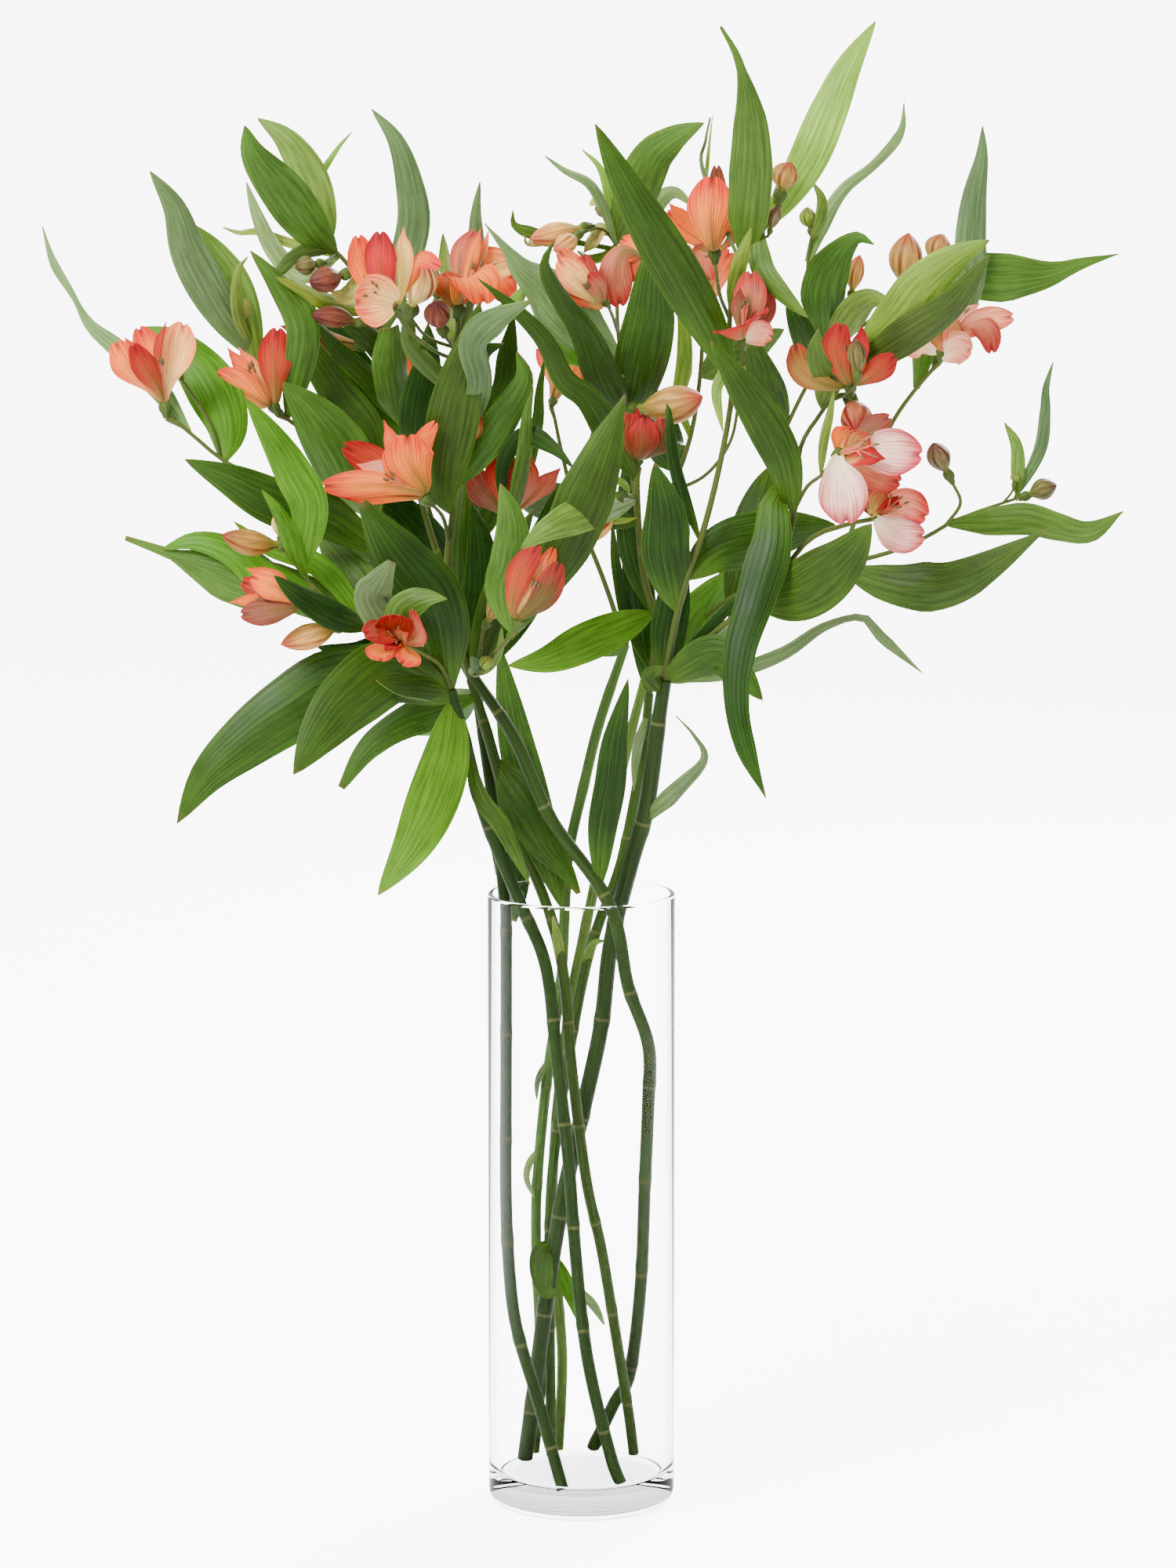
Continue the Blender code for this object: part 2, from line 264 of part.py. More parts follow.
# Leaves, from tip to base: ray, spine, depth of the tip, width in pixels, roll at tip and base in degrees
LEAVES = (
    Leaf("b_left", ((54, 289), (68, 335), (92, 375), (115, 415), (150, 445), (205, 500), (240, 552)), -10,
         (0, 12, 6, 20, 30, 24, 6), (30, 10)),
    Leaf("b_left", ((185, 417), (225, 440), (265, 485), (288, 540), (289, 588)), 0, 66, (20, 5)),
    Leaf("b_left", ((236, 586), (290, 610), (350, 640), (410, 655), (482, 700)), -62, 62, (-15, 10)),
    Leaf("c_green", ((191, 218), (222, 265), (240, 320), (275, 385), (326, 458)), -2, 50, (20, -10)),
    Leaf("c_green", ((247, 286), (280, 325), (305, 370), (334, 470)), 38, 40, (-25, 10)),
    Leaf("c_green", ((316, 327), (303, 348), (303, 400), (326, 445)), 2, 15, (10, 10)),
    Leaf("c_left", ((319, 320), (352, 360), (382, 405), (385, 450), (370, 530)), -6, 42, (25, 10)),
    Leaf("c_left", ((360, 488), (400, 525), (435, 570), (460, 620), (480, 662)), -10, 66, (10, -20)),
    Leaf("c_left", ((400, 380), (395, 440), (430, 500), (470, 560), (485, 660)), 52, 50, (-20, 15)),
    Leaf("a_main", ((314, 232), (328, 275), (350, 320), (385, 352), (432, 328)), 40, 24, (25, 10)),
    Leaf("a_main", ((312, 160), (325, 200), (365, 250), (400, 295), (428, 324)), -20, 58, (15, -10)),
    Leaf("a_main", ((329, 151), (365, 178), (395, 225), (412, 275), (420, 313)), 34, 45, (-15, 10)),
    Leaf("a_main", ((448, 169), (427, 195), (405, 240), (418, 310)), 58, 10, (10, 10)),
    Leaf("a_main", ((284, 290), (305, 297), (330, 296), (370, 310), (434, 328)), 62, 12, (35, 10)),
    Leaf("a_main", ((350, 353), (385, 370), (420, 387), (476, 398)), -8, 22, (30, 20)),
    Leaf("a_main", ((358, 352), (382, 325), (424, 319)), -2, 15, (25, 20)),
    Leaf("a_main", ((474, 139), (505, 180), (522, 235), (527, 290), (505, 370), (484, 430)), 22, 42, (25, -20)),
    Leaf("a_main", ((497, 412), (497, 460), (512, 535)), 12, (12, 40, 10), (20, 10)),
    Leaf("a_main", ((546, 412), (545, 460), (535, 520), (528, 605)), 8, 50, (15, -15)),
    Leaf("a_main", ((398, 405), (432, 448), (470, 485), (513, 540)), 22, 28, (20, 10)),
    Leaf("c_main", ((612, 232), (607, 270), (605, 330), (583, 445)), 24, 27, (30, 20)),
    Leaf("c_main", ((565, 298), (568, 345), (572, 400), (584, 448)), 30, 18, (25, 20)),
    Leaf("c_main", ((612, 385), (600, 440), (580, 520), (565, 620), (577, 655)), -36, 65, (10, -15)),
    Leaf("c_main", ((676, 357), (650, 393), (615, 420), (600, 460), (603, 515)), -34, 28, (30, 10)),
    Leaf("c_main", ((655, 400), (648, 450), (640, 500), (603, 540)), 14, 30, (25, 10)),
    Leaf("c_main", ((659, 448), (668, 485), (640, 535), (610, 580), (582, 620)), -48, 42, (20, -10)),
    Leaf("c_main", ((585, 521), (568, 560), (577, 625)), -16, 26, (20, 10)),
    Leaf("c_main", ((458, 785), (515, 745), (574, 772)), -44, (0, 50, 8), (20, 10)),
    Leaf("c", ((600, 640), (612, 690), (615, 760), (602, 868)), 2, 50, (20, -20)),
    Leaf("c", ((435, 1005), (470, 955), (520, 920), (605, 885)), -16, (8, 34, 45, 8), (30, 20)),
    Leaf("h_cup", ((695, 454), (688, 500), (683, 552), (650, 680)), 16, 18, (25, 10)),
    Leaf("h_cup", ((680, 493), (672, 530), (668, 580), (650, 676)), -6, 20, (20, 10)),
    Leaf("h_cup", ((735, 600), (690, 575), (655, 590), (648, 695)), -22, (0, 26, 22, 6), (20, 10)),
    Leaf("h_right", ((638, 617), (652, 665), (651, 715), (642, 755), (654, 808)), -66, 50, (15, -15)),
    Leaf("h_right", ((797, 503), (770, 575), (748, 640), (735, 690), (705, 750), (646, 818)), -64, 75, (15, 0)),
    Leaf("h", ((680, 650), (660, 690), (640, 740), (604, 864)), -40, 40, (25, 0)),
    Leaf("b", ((440, 590), (460, 640), (500, 700), (560, 780), (577, 882)), -84, 80, (5, -10)),
    Leaf("b", ((405, 825), (450, 835), (500, 835), (575, 880)), -30, 45, (20, -20)),
    Leaf("b", ((226, 1050), (262, 985), (315, 935), (370, 895), (425, 862), (520, 850), (576, 882)), -66, 66,
         (15, -25)),
    Leaf("b", ((374, 988), (405, 930), (445, 880), (500, 850), (578, 886)), -104, 68, (-15, 15)),
    Leaf("b", ((480, 868), (510, 875), (577, 884)), -64, 30, (30, 20)),
    Leaf("b", ((482, 1142), (525, 1080), (552, 1020), (570, 960), (580, 895)), -66, 66, (15, -20)),
    Leaf("b_low", ((349, 734), (380, 760), (425, 785), (473, 802)), -96, 35, (20, 10)),
    Leaf("b_low", ((160, 686), (205, 700), (260, 715), (330, 740), (400, 760), (468, 801)), -34,
         (0, 9, 60, 62, 40, 6), (-20, 15)),
    Leaf("b_low", ((207, 722), (250, 740), (300, 765), (350, 790), (455, 800)), -10, 50, (30, 0)),
    Leaf("b_low", ((298, 665), (340, 698), (395, 715), (430, 745), (470, 802)), -44, 28, (20, 10)),
    Leaf("b_low", ((405, 680), (440, 725), (485, 804)), -14, 56, (-20, 10)),
    Leaf("b_stalk", ((313, 508), (345, 555), (375, 605), (395, 650), (385, 726)), -98, 48, (20, -10)),
    Leaf("b_stalk", ((334, 625), (358, 660), (392, 738)), -92, 22, (20, 10)),
    Leaf("b", ((676, 1128), (640, 1055), (612, 1015), (596, 955)), -54, 22, (20, 10)),
    Leaf("c", ((743, 1128), (728, 1105), (700, 1075), (670, 1020), (632, 968)), -36, (6, 22, 50, 56, 8), (-15, 10)),
    Leaf("a", ((648, 1182), (656, 1135), (646, 1075), (622, 990)), -12, (14, 44, 42, 8), (15, -10)),
    Leaf("d", ((637, 822), (655, 900), (670, 970), (695, 1050), (723, 1112)), 4, 60, (-15, 10)),
    Leaf("h", ((801, 866), (785, 940), (778, 1000), (768, 1060), (762, 1126)), -46, 40, (15, 0)),
    Leaf("g_high", ((759, 158), (795, 230), (835, 300), (880, 375), (915, 440), (933, 485)), -88, 58, (15, -10)),
    Leaf("g_high", ((921, 50), (945, 83), (955, 130), (958, 180), (957, 240), (950, 335)), -58,
         (0, 4, 30, 50, 48, 8), (20, -10)),
    Leaf("g_high", ((958, 290), (942, 340), (932, 395)), -68, 20, (20, 10)),
    Leaf("g_bud", ((1117, 27), (1082, 85), (1058, 140), (1032, 200), (1003, 250), (974, 291)), -6, 50, (-20, 15)),
    Leaf("g_bud", ((1030, 405), (995, 370), (972, 340), (966, 300), (978, 286)), -66, 28, (25, 20)),
    Leaf("g_high", ((922, 550), (914, 500), (925, 470), (932, 430)), -66, 14, (20, 10)),
    Leaf("g_high", ((835, 590), (848, 650), (850, 710), (866, 778)), -60, 60, (-15, 10)),
    Leaf("g_high", ((855, 450), (852, 520), (862, 600), (893, 688)), -22, 16, (30, 10)),
    Leaf("g_high", ((1065, 669), (990, 680), (920, 700), (876, 740)), -20, 66, (20, -15)),
    Leaf("f_up", ((618, 285), (645, 318), (665, 345), (690, 365), (720, 395), (750, 425), (793, 462)), -26,
         (0, 14, 12, 22, 44, 46, 8), (25, 0)),
    Leaf("f_up", ((655, 271), (663, 290), (700, 299), (786, 318)), 22, 15, (30, 10)),
    Leaf("f_up", ((695, 199), (720, 218), (752, 235), (772, 270), (787, 316)), -4, 20, (25, 10)),
    Leaf("f_up", ((742, 190), (770, 225), (787, 320)), 28, 12, (20, 10)),
    Leaf("f_up", ((898, 157), (862, 195), (830, 225), (787, 312)), -36, 45, (-20, 10)),
    Leaf("f_up", ((885, 262), (850, 248), (788, 325)), 34, 25, (20, 10)),
    Leaf("g_tall", ((909, 147), (903, 200), (898, 270), (913, 345)), -6, 6, (10, 10)),
    Leaf("f_up", ((838, 298), (833, 350), (830, 400), (820, 450), (801, 545)), -62, 68, (-15, 10)),
    Leaf("f_up", ((805, 407), (800, 440), (796, 490)), -28, 18, (25, 10)),
    Leaf("f_up", ((708, 305), (694, 338), (712, 378), (745, 425), (768, 480), (800, 545)), -48,
         (0, 20, 28, 44, 46, 8), (20, -10)),
    Leaf("f_mid", ((609, 355), (655, 393), (695, 435), (720, 485), (755, 515), (812, 612)), -76,
         (0, 18, 26, 30, 44, 8), (20, 0)),
    Leaf("f_mid", ((692, 688), (720, 675), (760, 660), (815, 668)), -46, 32, (20, 10)),
    Leaf("f_mid", ((648, 849), (700, 840), (750, 818), (832, 782)), -52, 50, (-20, 10)),
    Leaf("f_mid", ((780, 660), (787, 730), (800, 790), (830, 858)), 8, 15, (45, 40)),
    Leaf("f", ((808, 1010), (812, 960), (827, 905)), -20, 12, (20, 10)),
    Leaf("g", ((862, 913), (885, 938), (898, 968), (865, 1005), (820, 1048)), -54, (0, 5, 16, 22, 8), (20, 10)),
    Leaf("g", ((973, 893), (945, 860), (910, 835), (850, 866)), -60, 50, (15, 20)),
    Leaf("g", ((1176, 858), (1125, 805), (1100, 780), (1050, 792), (1000, 825), (930, 852), (850, 868)), -12,
         (0, 14, 8, 14, 18, 16, 6), (30, 10)),
    Leaf("g_mid", ((977, 1018), (953, 960), (940, 900), (944, 830), (965, 760), (985, 690), (988, 632), (1014, 648)),
         -104, (0, 24, 30, 40, 46, 54, 40, 8), (10, 15)),
    Leaf("e_high", ((930, 790), (945, 730), (965, 660), (984, 594)), 2, 56, (20, -10)),
    Leaf("g_mid", ((906, 435), (940, 485), (975, 540), (1000, 590), (1013, 655)), -76, 50, (15, -10)),
    Leaf("e_high", ((955, 425), (972, 475), (1000, 550)), 6, 44, (-15, 10)),
    Leaf("g_wide", ((1112, 668), (1070, 718), (1020, 755), (962, 765)), -92, 62, (15, -10)),
    Leaf("e_high", ((1003, 380), (1020, 415), (1045, 465)), -8, 36, (20, 10)),
    Leaf("e_top", ((1036, 232), (1048, 255), (1045, 285), (1034, 305)), 8, 14, (20, 10)),
    Leaf("e_top", ((1153, 131), (1148, 170), (1115, 210), (1075, 243), (1047, 290), (1032, 335)), 40,
         (0, 8, 7, 14, 20, 8), (20, 10)),
    Leaf("e_high", ((1115, 312), (1092, 303), (1065, 330), (1050, 370), (1052, 410), (1057, 446)), -26,
         (0, 26, 52, 56, 34, 8), (15, 0)),
    Leaf("e_high", ((1140, 384), (1100, 385), (1060, 440)), -24, 38, (20, 10)),
    Leaf("g_mid", ((1262, 306), (1220, 328), (1175, 365), (1145, 405), (1088, 468)), -60, 58, (15, -10)),
    Leaf("g_mid", ((1262, 325), (1215, 385), (1160, 425), (1080, 480)), -26, 45, (30, 10)),
    Leaf("e_open", ((1253, 161), (1256, 200), (1248, 250), (1242, 300), (1236, 370), (1190, 470)), 36, 40,
         (20, 10)),
    Leaf("e_open", ((1427, 324), (1380, 336), (1335, 350), (1280, 354), (1203, 364), (1170, 495)), 52,
         (0, 20, 18, 56, 50, 8), (-20, 10)),
    Leaf("g_mid", ((1045, 430), (1058, 470), (1050, 522)), -66, 34, (20, 10)),
    Leaf("e_right", ((1335, 675), (1260, 722), (1210, 745), (1160, 748), (1110, 738), (1070, 722)), -44,
         (0, 42, 60, 64, 44, 8), (15, -10)),
    Leaf("e_right", ((1433, 652), (1390, 678), (1350, 672), (1310, 662), (1265, 665), (1208, 669)), -30,
         (0, 26, 36, 40, 34, 8), (20, 10)),
    Leaf("e_far", ((1281, 539), (1297, 572), (1298, 636)), 2, 18, (20, 10)),
    Leaf("e_far", ((1343, 462), (1334, 495), (1333, 525), (1326, 575), (1294, 637)), 14, 16, (30, 10)),
    Leaf("a_rear", ((690, 730), (660, 760), (625, 780), (592, 790)), 128, 56, (20, 10)),
    Leaf("a_rear", ((640, 590), (620, 640), (590, 680), (560, 690)), 122, 54, (-20, 10)),
    Leaf("a_rear", ((430, 700), (470, 720), (530, 730), (578, 740)), 112, 56, (20, 10)),
    Leaf("a_rear", ((560, 470), (555, 520), (545, 570), (527, 585)), 132, 50, (20, -10)),
    Leaf("a", ((480, 930), (530, 915), (575, 905), (607, 885)), 96, 54, (20, 10)),
    Leaf("d_back", ((820, 480), (835, 530), (855, 580), (876, 570)), 128, 52, (-20, 10)),
    Leaf("d_back", ((1000, 420), (965, 440), (925, 460), (893, 480)), 118, 50, (20, 10)),
    Leaf("d_back", ((868, 640), (862, 680), (842, 705), (811, 725)), 124, 50, (20, 10)),
    Leaf("d_left", ((660, 640), (690, 640), (715, 640), (733, 645)), 136, 48, (20, 10)),
    Leaf("d_left", ((770, 440), (760, 490), (740, 540), (714, 560)), 128, 50, (-20, 10)),
    Leaf("d", ((700, 760), (730, 770), (765, 790), (797, 830)), 104, 50, (20, 10)),
)

# Colour, roughness and clarity of each material
LEAF_GREEN = (0.075, 0.190, 0.022)
STEM_LOOKS = {"colour": LEAF_GREEN, "roughness": 0.45, "clarity": 0.0}
GLASS_LOOKS = {"colour": (0.93, 0.95, 0.97), "roughness": 0.03, "clarity": 0.92}
TEPAL_CORAL = {"colour": (0.800, 0.210, 0.130), "roughness": 0.50, "clarity": 0.0}
TEPAL_WHITE = {"colour": (0.880, 0.780, 0.740), "roughness": 0.50, "clarity": 0.0}
BUD_ROSE = {"colour": (0.420, 0.110, 0.085), "roughness": 0.50, "clarity": 0.0}
BUD_OLIVE = {"colour": (0.300, 0.250, 0.070), "roughness": 0.50, "clarity": 0.0}
WHITE_BLOOMS = ("bloom_18", "bloom_19")
OLIVE_BUDS = ("bud_03", "bud_06", "bud_08", "bud_09", "bud_17", "bud_19", "bud_22")


def clear_scene():
    for old in list(bpy.data.objects):
        bpy.data.objects.remove(old, do_unlink=True)


def at(across, down, depth):
    """Metres for the place seen at a pixel, on the upright plane `depth` mm behind the vase's axis."""
    forward = Vector((0.0, math.cos(EYE_PITCH), -math.sin(EYE_PITCH)))
    upward = Vector((0.0, math.sin(EYE_PITCH), math.cos(EYE_PITCH)))
    sight = forward * EYE_FOCAL + upward * (PICTURE_MIDDLE[1] - down)
    sight.x += across - PICTURE_MIDDLE[0]
    return EYE + sight * ((depth * MM - EYE.y) / sight.y)


def smooth_path(points, count):
    """`count` + 1 places along the smooth curve through the given points, evenly spaced in length."""
    ends = [points[0] * 2 - points[1]] + list(points) + [points[-1] * 2 - points[-2]]
    fine = []
    for i in range(1, len(ends) - 2):
        a, b, c, d = ends[i - 1:i + 3]
        for k in range(8):
            t = k / 8
            fine.append(0.5 * (2 * b + (c - a) * t + (2 * a - 5 * b + 4 * c - d) * t * t
                               + (3 * b - a - 3 * c + d) * t ** 3))
    fine.append(points[-1].copy())
    lengths = [0.0]
    for p, q in zip(fine, fine[1:]):
        lengths.append(lengths[-1] + (q - p).length)
    path = []
    i = 0
    for k in range(count + 1):
        goal = lengths[-1] * k / count
        while i < len(fine) - 2 and lengths[i + 1] < goal:
            i += 1
        span = lengths[i + 1] - lengths[i]
        path.append(fine[i].lerp(fine[i + 1], (goal - lengths[i]) / span if span > 0 else 0.0))
    return path


def directions(path):
    """Unit direction of travel at each place of a path."""
    last = len(path) - 1
    return [(path[min(i + 1, last)] - path[max(i - 1, 0)]).normalized() for i in range(last + 1)]


def at_fraction(values, t):
    """Value at fraction t of an evenly spaced list."""
    place = min(max(t, 0.0), 1.0) * (len(values) - 1)
    i = min(int(place), len(values) - 2)
    return values[i] + (values[i + 1] - values[i]) * (place - i)


def new_object(name, bm):
    mesh = bpy.data.meshes.new(name)
    bm.to_mesh(mesh)
    bm.free()
    piece = bpy.data.objects.new(name, mesh)
    bpy.context.scene.collection.objects.link(piece)
    return piece


def wrap(bm, rings):
    """Join rings of equal count with triangles, split alike all along; a last ring may be one point."""
    count = len(rings[0])
    for low, high in zip(rings, rings[1:]):
        if len(high) == 1:
            for k in range(count):
                bm.faces.new((low[k], low[(k + 1) % count], high[0]))
            continue
        for k in range(count):
            n = (k + 1) % count
            if k % 2 == 0:
                bm.faces.new((low[k], low[n], high[n]))
                bm.faces.new((low[k], high[n], high[k]))
            else:
                bm.faces.new((low[k], low[n], high[k]))
                bm.faces.new((low[n], high[n], high[k]))


def skin(bm, rings):
    """Wrap the rings and close both ends."""
    wrap(bm, rings)
    bm.faces.new(list(reversed(rings[0])))
    if len(rings[-1]) > 1:
        bm.faces.new(rings[-1])
    bmesh.ops.triangulate(bm, faces=[f for f in bm.faces if len(f.verts) > 3])
    bmesh.ops.recalc_face_normals(bm, faces=bm.faces)


def tube(path, radii, sides, flat_end=False):
    """A round stalk along a path; flat_end cuts its last end level."""
    bm = bmesh.new()
    aims = directions(path)
    side = aims[0].orthogonal().normalized()
    rings = []
    for i, place in enumerate(path):
        aim = aims[i]
        if flat_end and i == len(path) - 1:
            aim = Vector((0.0, 0.0, math.copysign(1.0, aim.z)))
        side = (side - aim * side.dot(aim)).normalized()
        other = aim.cross(side)
        radius = radii[i]
        ring = []
        for k in range(sides):
            turn = 2 * math.pi * k / sides
            ring.append(bm.verts.new(place + (side * math.cos(turn) + other * math.sin(turn)) * radius))
        rings.append(ring)
    skin(bm, rings)
    return bm


def blade(path, widths, sides, normals, thickness, keel=0.0):
    """A thin leaf-like blade with a sharp tip: four points around each section, thickest on the midrib."""
    bm = bmesh.new()
    rings = []
    last = len(path) - 1
    for i, place in enumerate(path):
        if i == last:
            rings.append([bm.verts.new(place)])
            break
        half = widths[i] / 2
        drop = normals[i] * (keel * half)
        rise = normals[i] * (thickness / 2)
        ring = [place - sides[i] * half, place - rise - drop, place + sides[i] * half, place + rise - drop]
        rings.append([bm.verts.new(p) for p in ring])
    skin(bm, rings)
    return bm


def ray_path(name):
    """The centre line of a stem or ray, in metres, as closely spaced places."""
    path = stalk_path(name)
    fine = []
    for p, q in zip(path, path[1:]):
        fine += [p.lerp(q, k / 6) for k in range(6)]
    return fine + [path[-1]]


def stalk_path(name):
    """The places where the sections of a stem or ray lie."""
    if name in STEMS:
        return smooth_path(stem_floor_path(STEMS[name]), STEM_STEPS)
    points = rooted(name)
    length = sum((q - p).length for p, q in zip(points, points[1:]))
    return smooth_path(points, min(max(round(length / RAY_STEP), 2), 9))


def pixel_of(place):
    """Where a place shows in the reference view, as (across, down)."""
    forward = Vector((0.0, math.cos(EYE_PITCH), -math.sin(EYE_PITCH)))
    upward = Vector((0.0, math.sin(EYE_PITCH), math.cos(EYE_PITCH)))
    sight = place - EYE
    reach = sight.dot(forward)
    return (PICTURE_MIDDLE[0] + sight.x / reach * EYE_FOCAL,
            PICTURE_MIDDLE[1] - sight.dot(upward) / reach * EYE_FOCAL)


def seat_on(name, across, down):
    """The place on a stem's or ray's centre line that shows nearest to a pixel."""
    def miss(place):
        seen = pixel_of(place)
        return (seen[0] - across) ** 2 + (seen[1] - down) ** 2
    return min(PATHS[name], key=miss)


def rooted(name):
    """A ray's points, the first of them moved onto its parent's centre line."""
    ray = RAYS[name]
    points = [at(*p) for p in ray.path]
    points[0] = seat_on(ray.parent, *ray.path[0][:2])
    return points


def depth_of(place):
    return place.y / MM


def stem_floor_path(stem):
    points = [at(*p) for p in stem.path]
    points[-1].z = VASE_FLOOR + GAP
    return points


def make_vase():
    """The turned glass wall and thick floor, with a rounded heel and a softened rim."""
    bm = bmesh.new()
    inner = VASE_RADIUS - VASE_WALL
    profile = [(0.0, 0.0), (VASE_RADIUS - HEEL_RADIUS, 0.0)]
    for k in (1, 2, 3):
        turn = math.pi / 2 * k / 3
        profile.append((VASE_RADIUS - HEEL_RADIUS + HEEL_RADIUS * math.sin(turn),
                        HEEL_RADIUS - HEEL_RADIUS * math.cos(turn)))
    profile.append((VASE_RADIUS, VASE_HEIGHT - RIM_ROUNDING))
    profile.append((VASE_RADIUS - RIM_ROUNDING, VASE_HEIGHT))
    profile.append((inner + RIM_ROUNDING, VASE_HEIGHT))
    profile.append((inner, VASE_HEIGHT - RIM_ROUNDING))
    profile.append((inner, VASE_FLOOR))
    profile.append((0.0, VASE_FLOOR))
    verts = [bm.verts.new((r, 0.0, z)) for r, z in profile]
    edges = [bm.edges.new(pair) for pair in zip(verts, verts[1:])]
    bmesh.ops.spin(bm, geom=verts + edges, cent=(0, 0, 0), axis=(0, 0, 1), dvec=(0, 0, 0),
                   angle=2 * math.pi, steps=VASE_SIDES, use_merge=True, use_duplicate=False)
    bmesh.ops.remove_doubles(bm, verts=bm.verts, dist=1e-6)
    bmesh.ops.recalc_face_normals(bm, faces=bm.faces)
    return new_object("vase", bm)


def make_stalk(name):
    """The closed tube of a stem or of one ray."""
    if name in STEMS:
        half = STEMS[name].thick / 2 * MM
        return tube(stalk_path(name), [half * 0.84] + [half] * STEM_STEPS, STEM_SIDES, flat_end=True)
    path = stalk_path(name)
    thick, thin = (size / 2 * MM for size in RAYS[name].thick)
    radii = [thick + (thin - thick) * i / (len(path) - 1) for i in range(len(path))]
    if name in HEADS:
        foot, axis, width = HEADS[name]
        path = path[:-1]
        radii = radii[:-1]
        length = ovary_length(width)
        path += [foot - axis * 0.0015, foot + axis * length * 0.45, foot + axis * length]
        radii += [width * 0.15, width * 0.24, width * 0.17]
    return tube(path, radii, RAY_SIDES)


def head_frame(ray, base, aim):
    """Where a flower or bud sits: its base and the direction that it looks in."""
    end = PATHS[ray][-1]
    foot = at(base[0], base[1], depth_of(end))
    goal = at(*aim)
    return foot, (goal - foot).normalized()


def ovary_length(width):
    return min(max(width * 0.45, 0.003), 0.007)


def tepal_path(start, axis, out, length, opening):
    """The midline of a tepal, which leaves the throat near the axis's direction and arches outwards."""
    place = start
    path = [place]
    below = 0.0
    for along in TEPAL_STATIONS:
        lean = math.radians(FIRST_LEAN + (opening * LAST_LEAN - FIRST_LEAN) * (below + along) / 2)
        place = place + (axis * math.cos(lean) + out * math.sin(lean)) * (length * (along - below))
        path.append(place)
        below = along
    return path


def tepal_rings(bm, path, across, centre, axis, kind):
    """Sections of a tepal, each of four points: left edge, outer face, right edge, inner face."""
    size = (path[-1] - centre).length
    slope = math.tan(math.radians(TEPAL_SECTORS[kind]))
    aims = directions(path)
    rings = []
    for place, aim, width in zip(path[1:], aims[1:], TEPAL_WIDTHS[kind]):
        reach = place - centre
        radius = (reach - axis * reach.dot(axis)).length
        room = radius * slope / (1 + TEPAL_CUP * slope) * SECTOR_FILL
        half = min(width * size / 2, room)
        outward = across.cross(aim).normalized()
        edge = place - outward * (TEPAL_CUP * half)
        rise = outward * (TEPAL_THICKNESS / 2)
        ring = (edge - across * half, place + rise, edge + across * half, place - rise)
        rings.append([bm.verts.new(p) for p in ring])
    rings.append([bm.verts.new(path[-1])])
    return rings


def make_bloom(name):
    """Six tepals that rise from one small funnel and part above it, all as one closed shell."""
    bloom = BLOOMS[name]
    size = bloom.size * MM
    foot, axis = head_frame(bloom.ray, bloom.base, bloom.aim)
    foot = foot + axis * (ovary_length(size * OVARY_SHARE) + GAP)
    bm = bmesh.new()
    side = axis.orthogonal().normalized()
    wall = TEPAL_THICKNESS / size

    def way(turn):
        return Matrix.Rotation(math.radians(bloom.spin + turn), 3, axis) @ side

    def around(turn, radius, height):
        return bm.verts.new(foot + (way(turn) * radius + axis * height) * size)

    low = [around(60 * k + 30, THROAT_FOOT, 0.0) for k in range(6)]
    pit = around(0.0, 0.0, THROAT_PIT)
    bm.faces.new(list(reversed(low)))
    rims = []
    for k in range(6):
        reach = TEPAL_SECTORS[k % 2] - SEAM
        turns = (60 * k - reach, 60 * k, 60 * k + reach)
        rims.append(([around(turn, THROAT_RADIUS, THROAT_HEIGHT) for turn in turns],
                     [around(turn, THROAT_RADIUS - wall, THROAT_HEIGHT) for turn in turns]))
    for k in range(6):
        out_left, out_middle, out_right = rims[k][0]
        in_left, in_middle, in_right = rims[k][1]
        out_next, in_next = rims[(k + 1) % 6][0][0], rims[(k + 1) % 6][1][0]
        outward = way(60 * k)
        across = axis.cross(outward)
        middle = foot + (outward * (THROAT_RADIUS - wall / 2) + axis * THROAT_HEIGHT) * size
        path = tepal_path(middle, axis, outward, size * (1 - THROAT_HEIGHT), bloom.open * TEPAL_OPENINGS[k % 2])
        rings = tepal_rings(bm, path, across, foot, axis, k % 2)
        left, outer, right, inner = rings[0]
        corners = ((low[k - 1], out_middle, out_left), (low[k - 1], low[k], out_middle),
                   (low[k], out_right, out_middle), (low[k], out_next, out_right),
                   (in_left, in_middle, pit), (in_middle, in_right, pit), (in_right, in_next, pit),
                   (out_right, out_next, in_next), (out_right, in_next, in_right),
                   (out_left, out_middle, outer), (out_left, outer, left),
                   (out_middle, out_right, outer), (out_right, right, outer),
                   (in_middle, in_left, inner), (in_left, left, inner),
                   (in_right, in_middle, inner), (right, in_right, inner),
                   (out_left, left, in_left), (out_right, in_right, right))
        for three in corners:
            bm.faces.new(three)
        wrap(bm, rings)
    bmesh.ops.triangulate(bm, faces=[f for f in bm.faces if len(f.verts) > 3])
    bmesh.ops.recalc_face_normals(bm, faces=bm.faces)
    return new_object(name, bm)


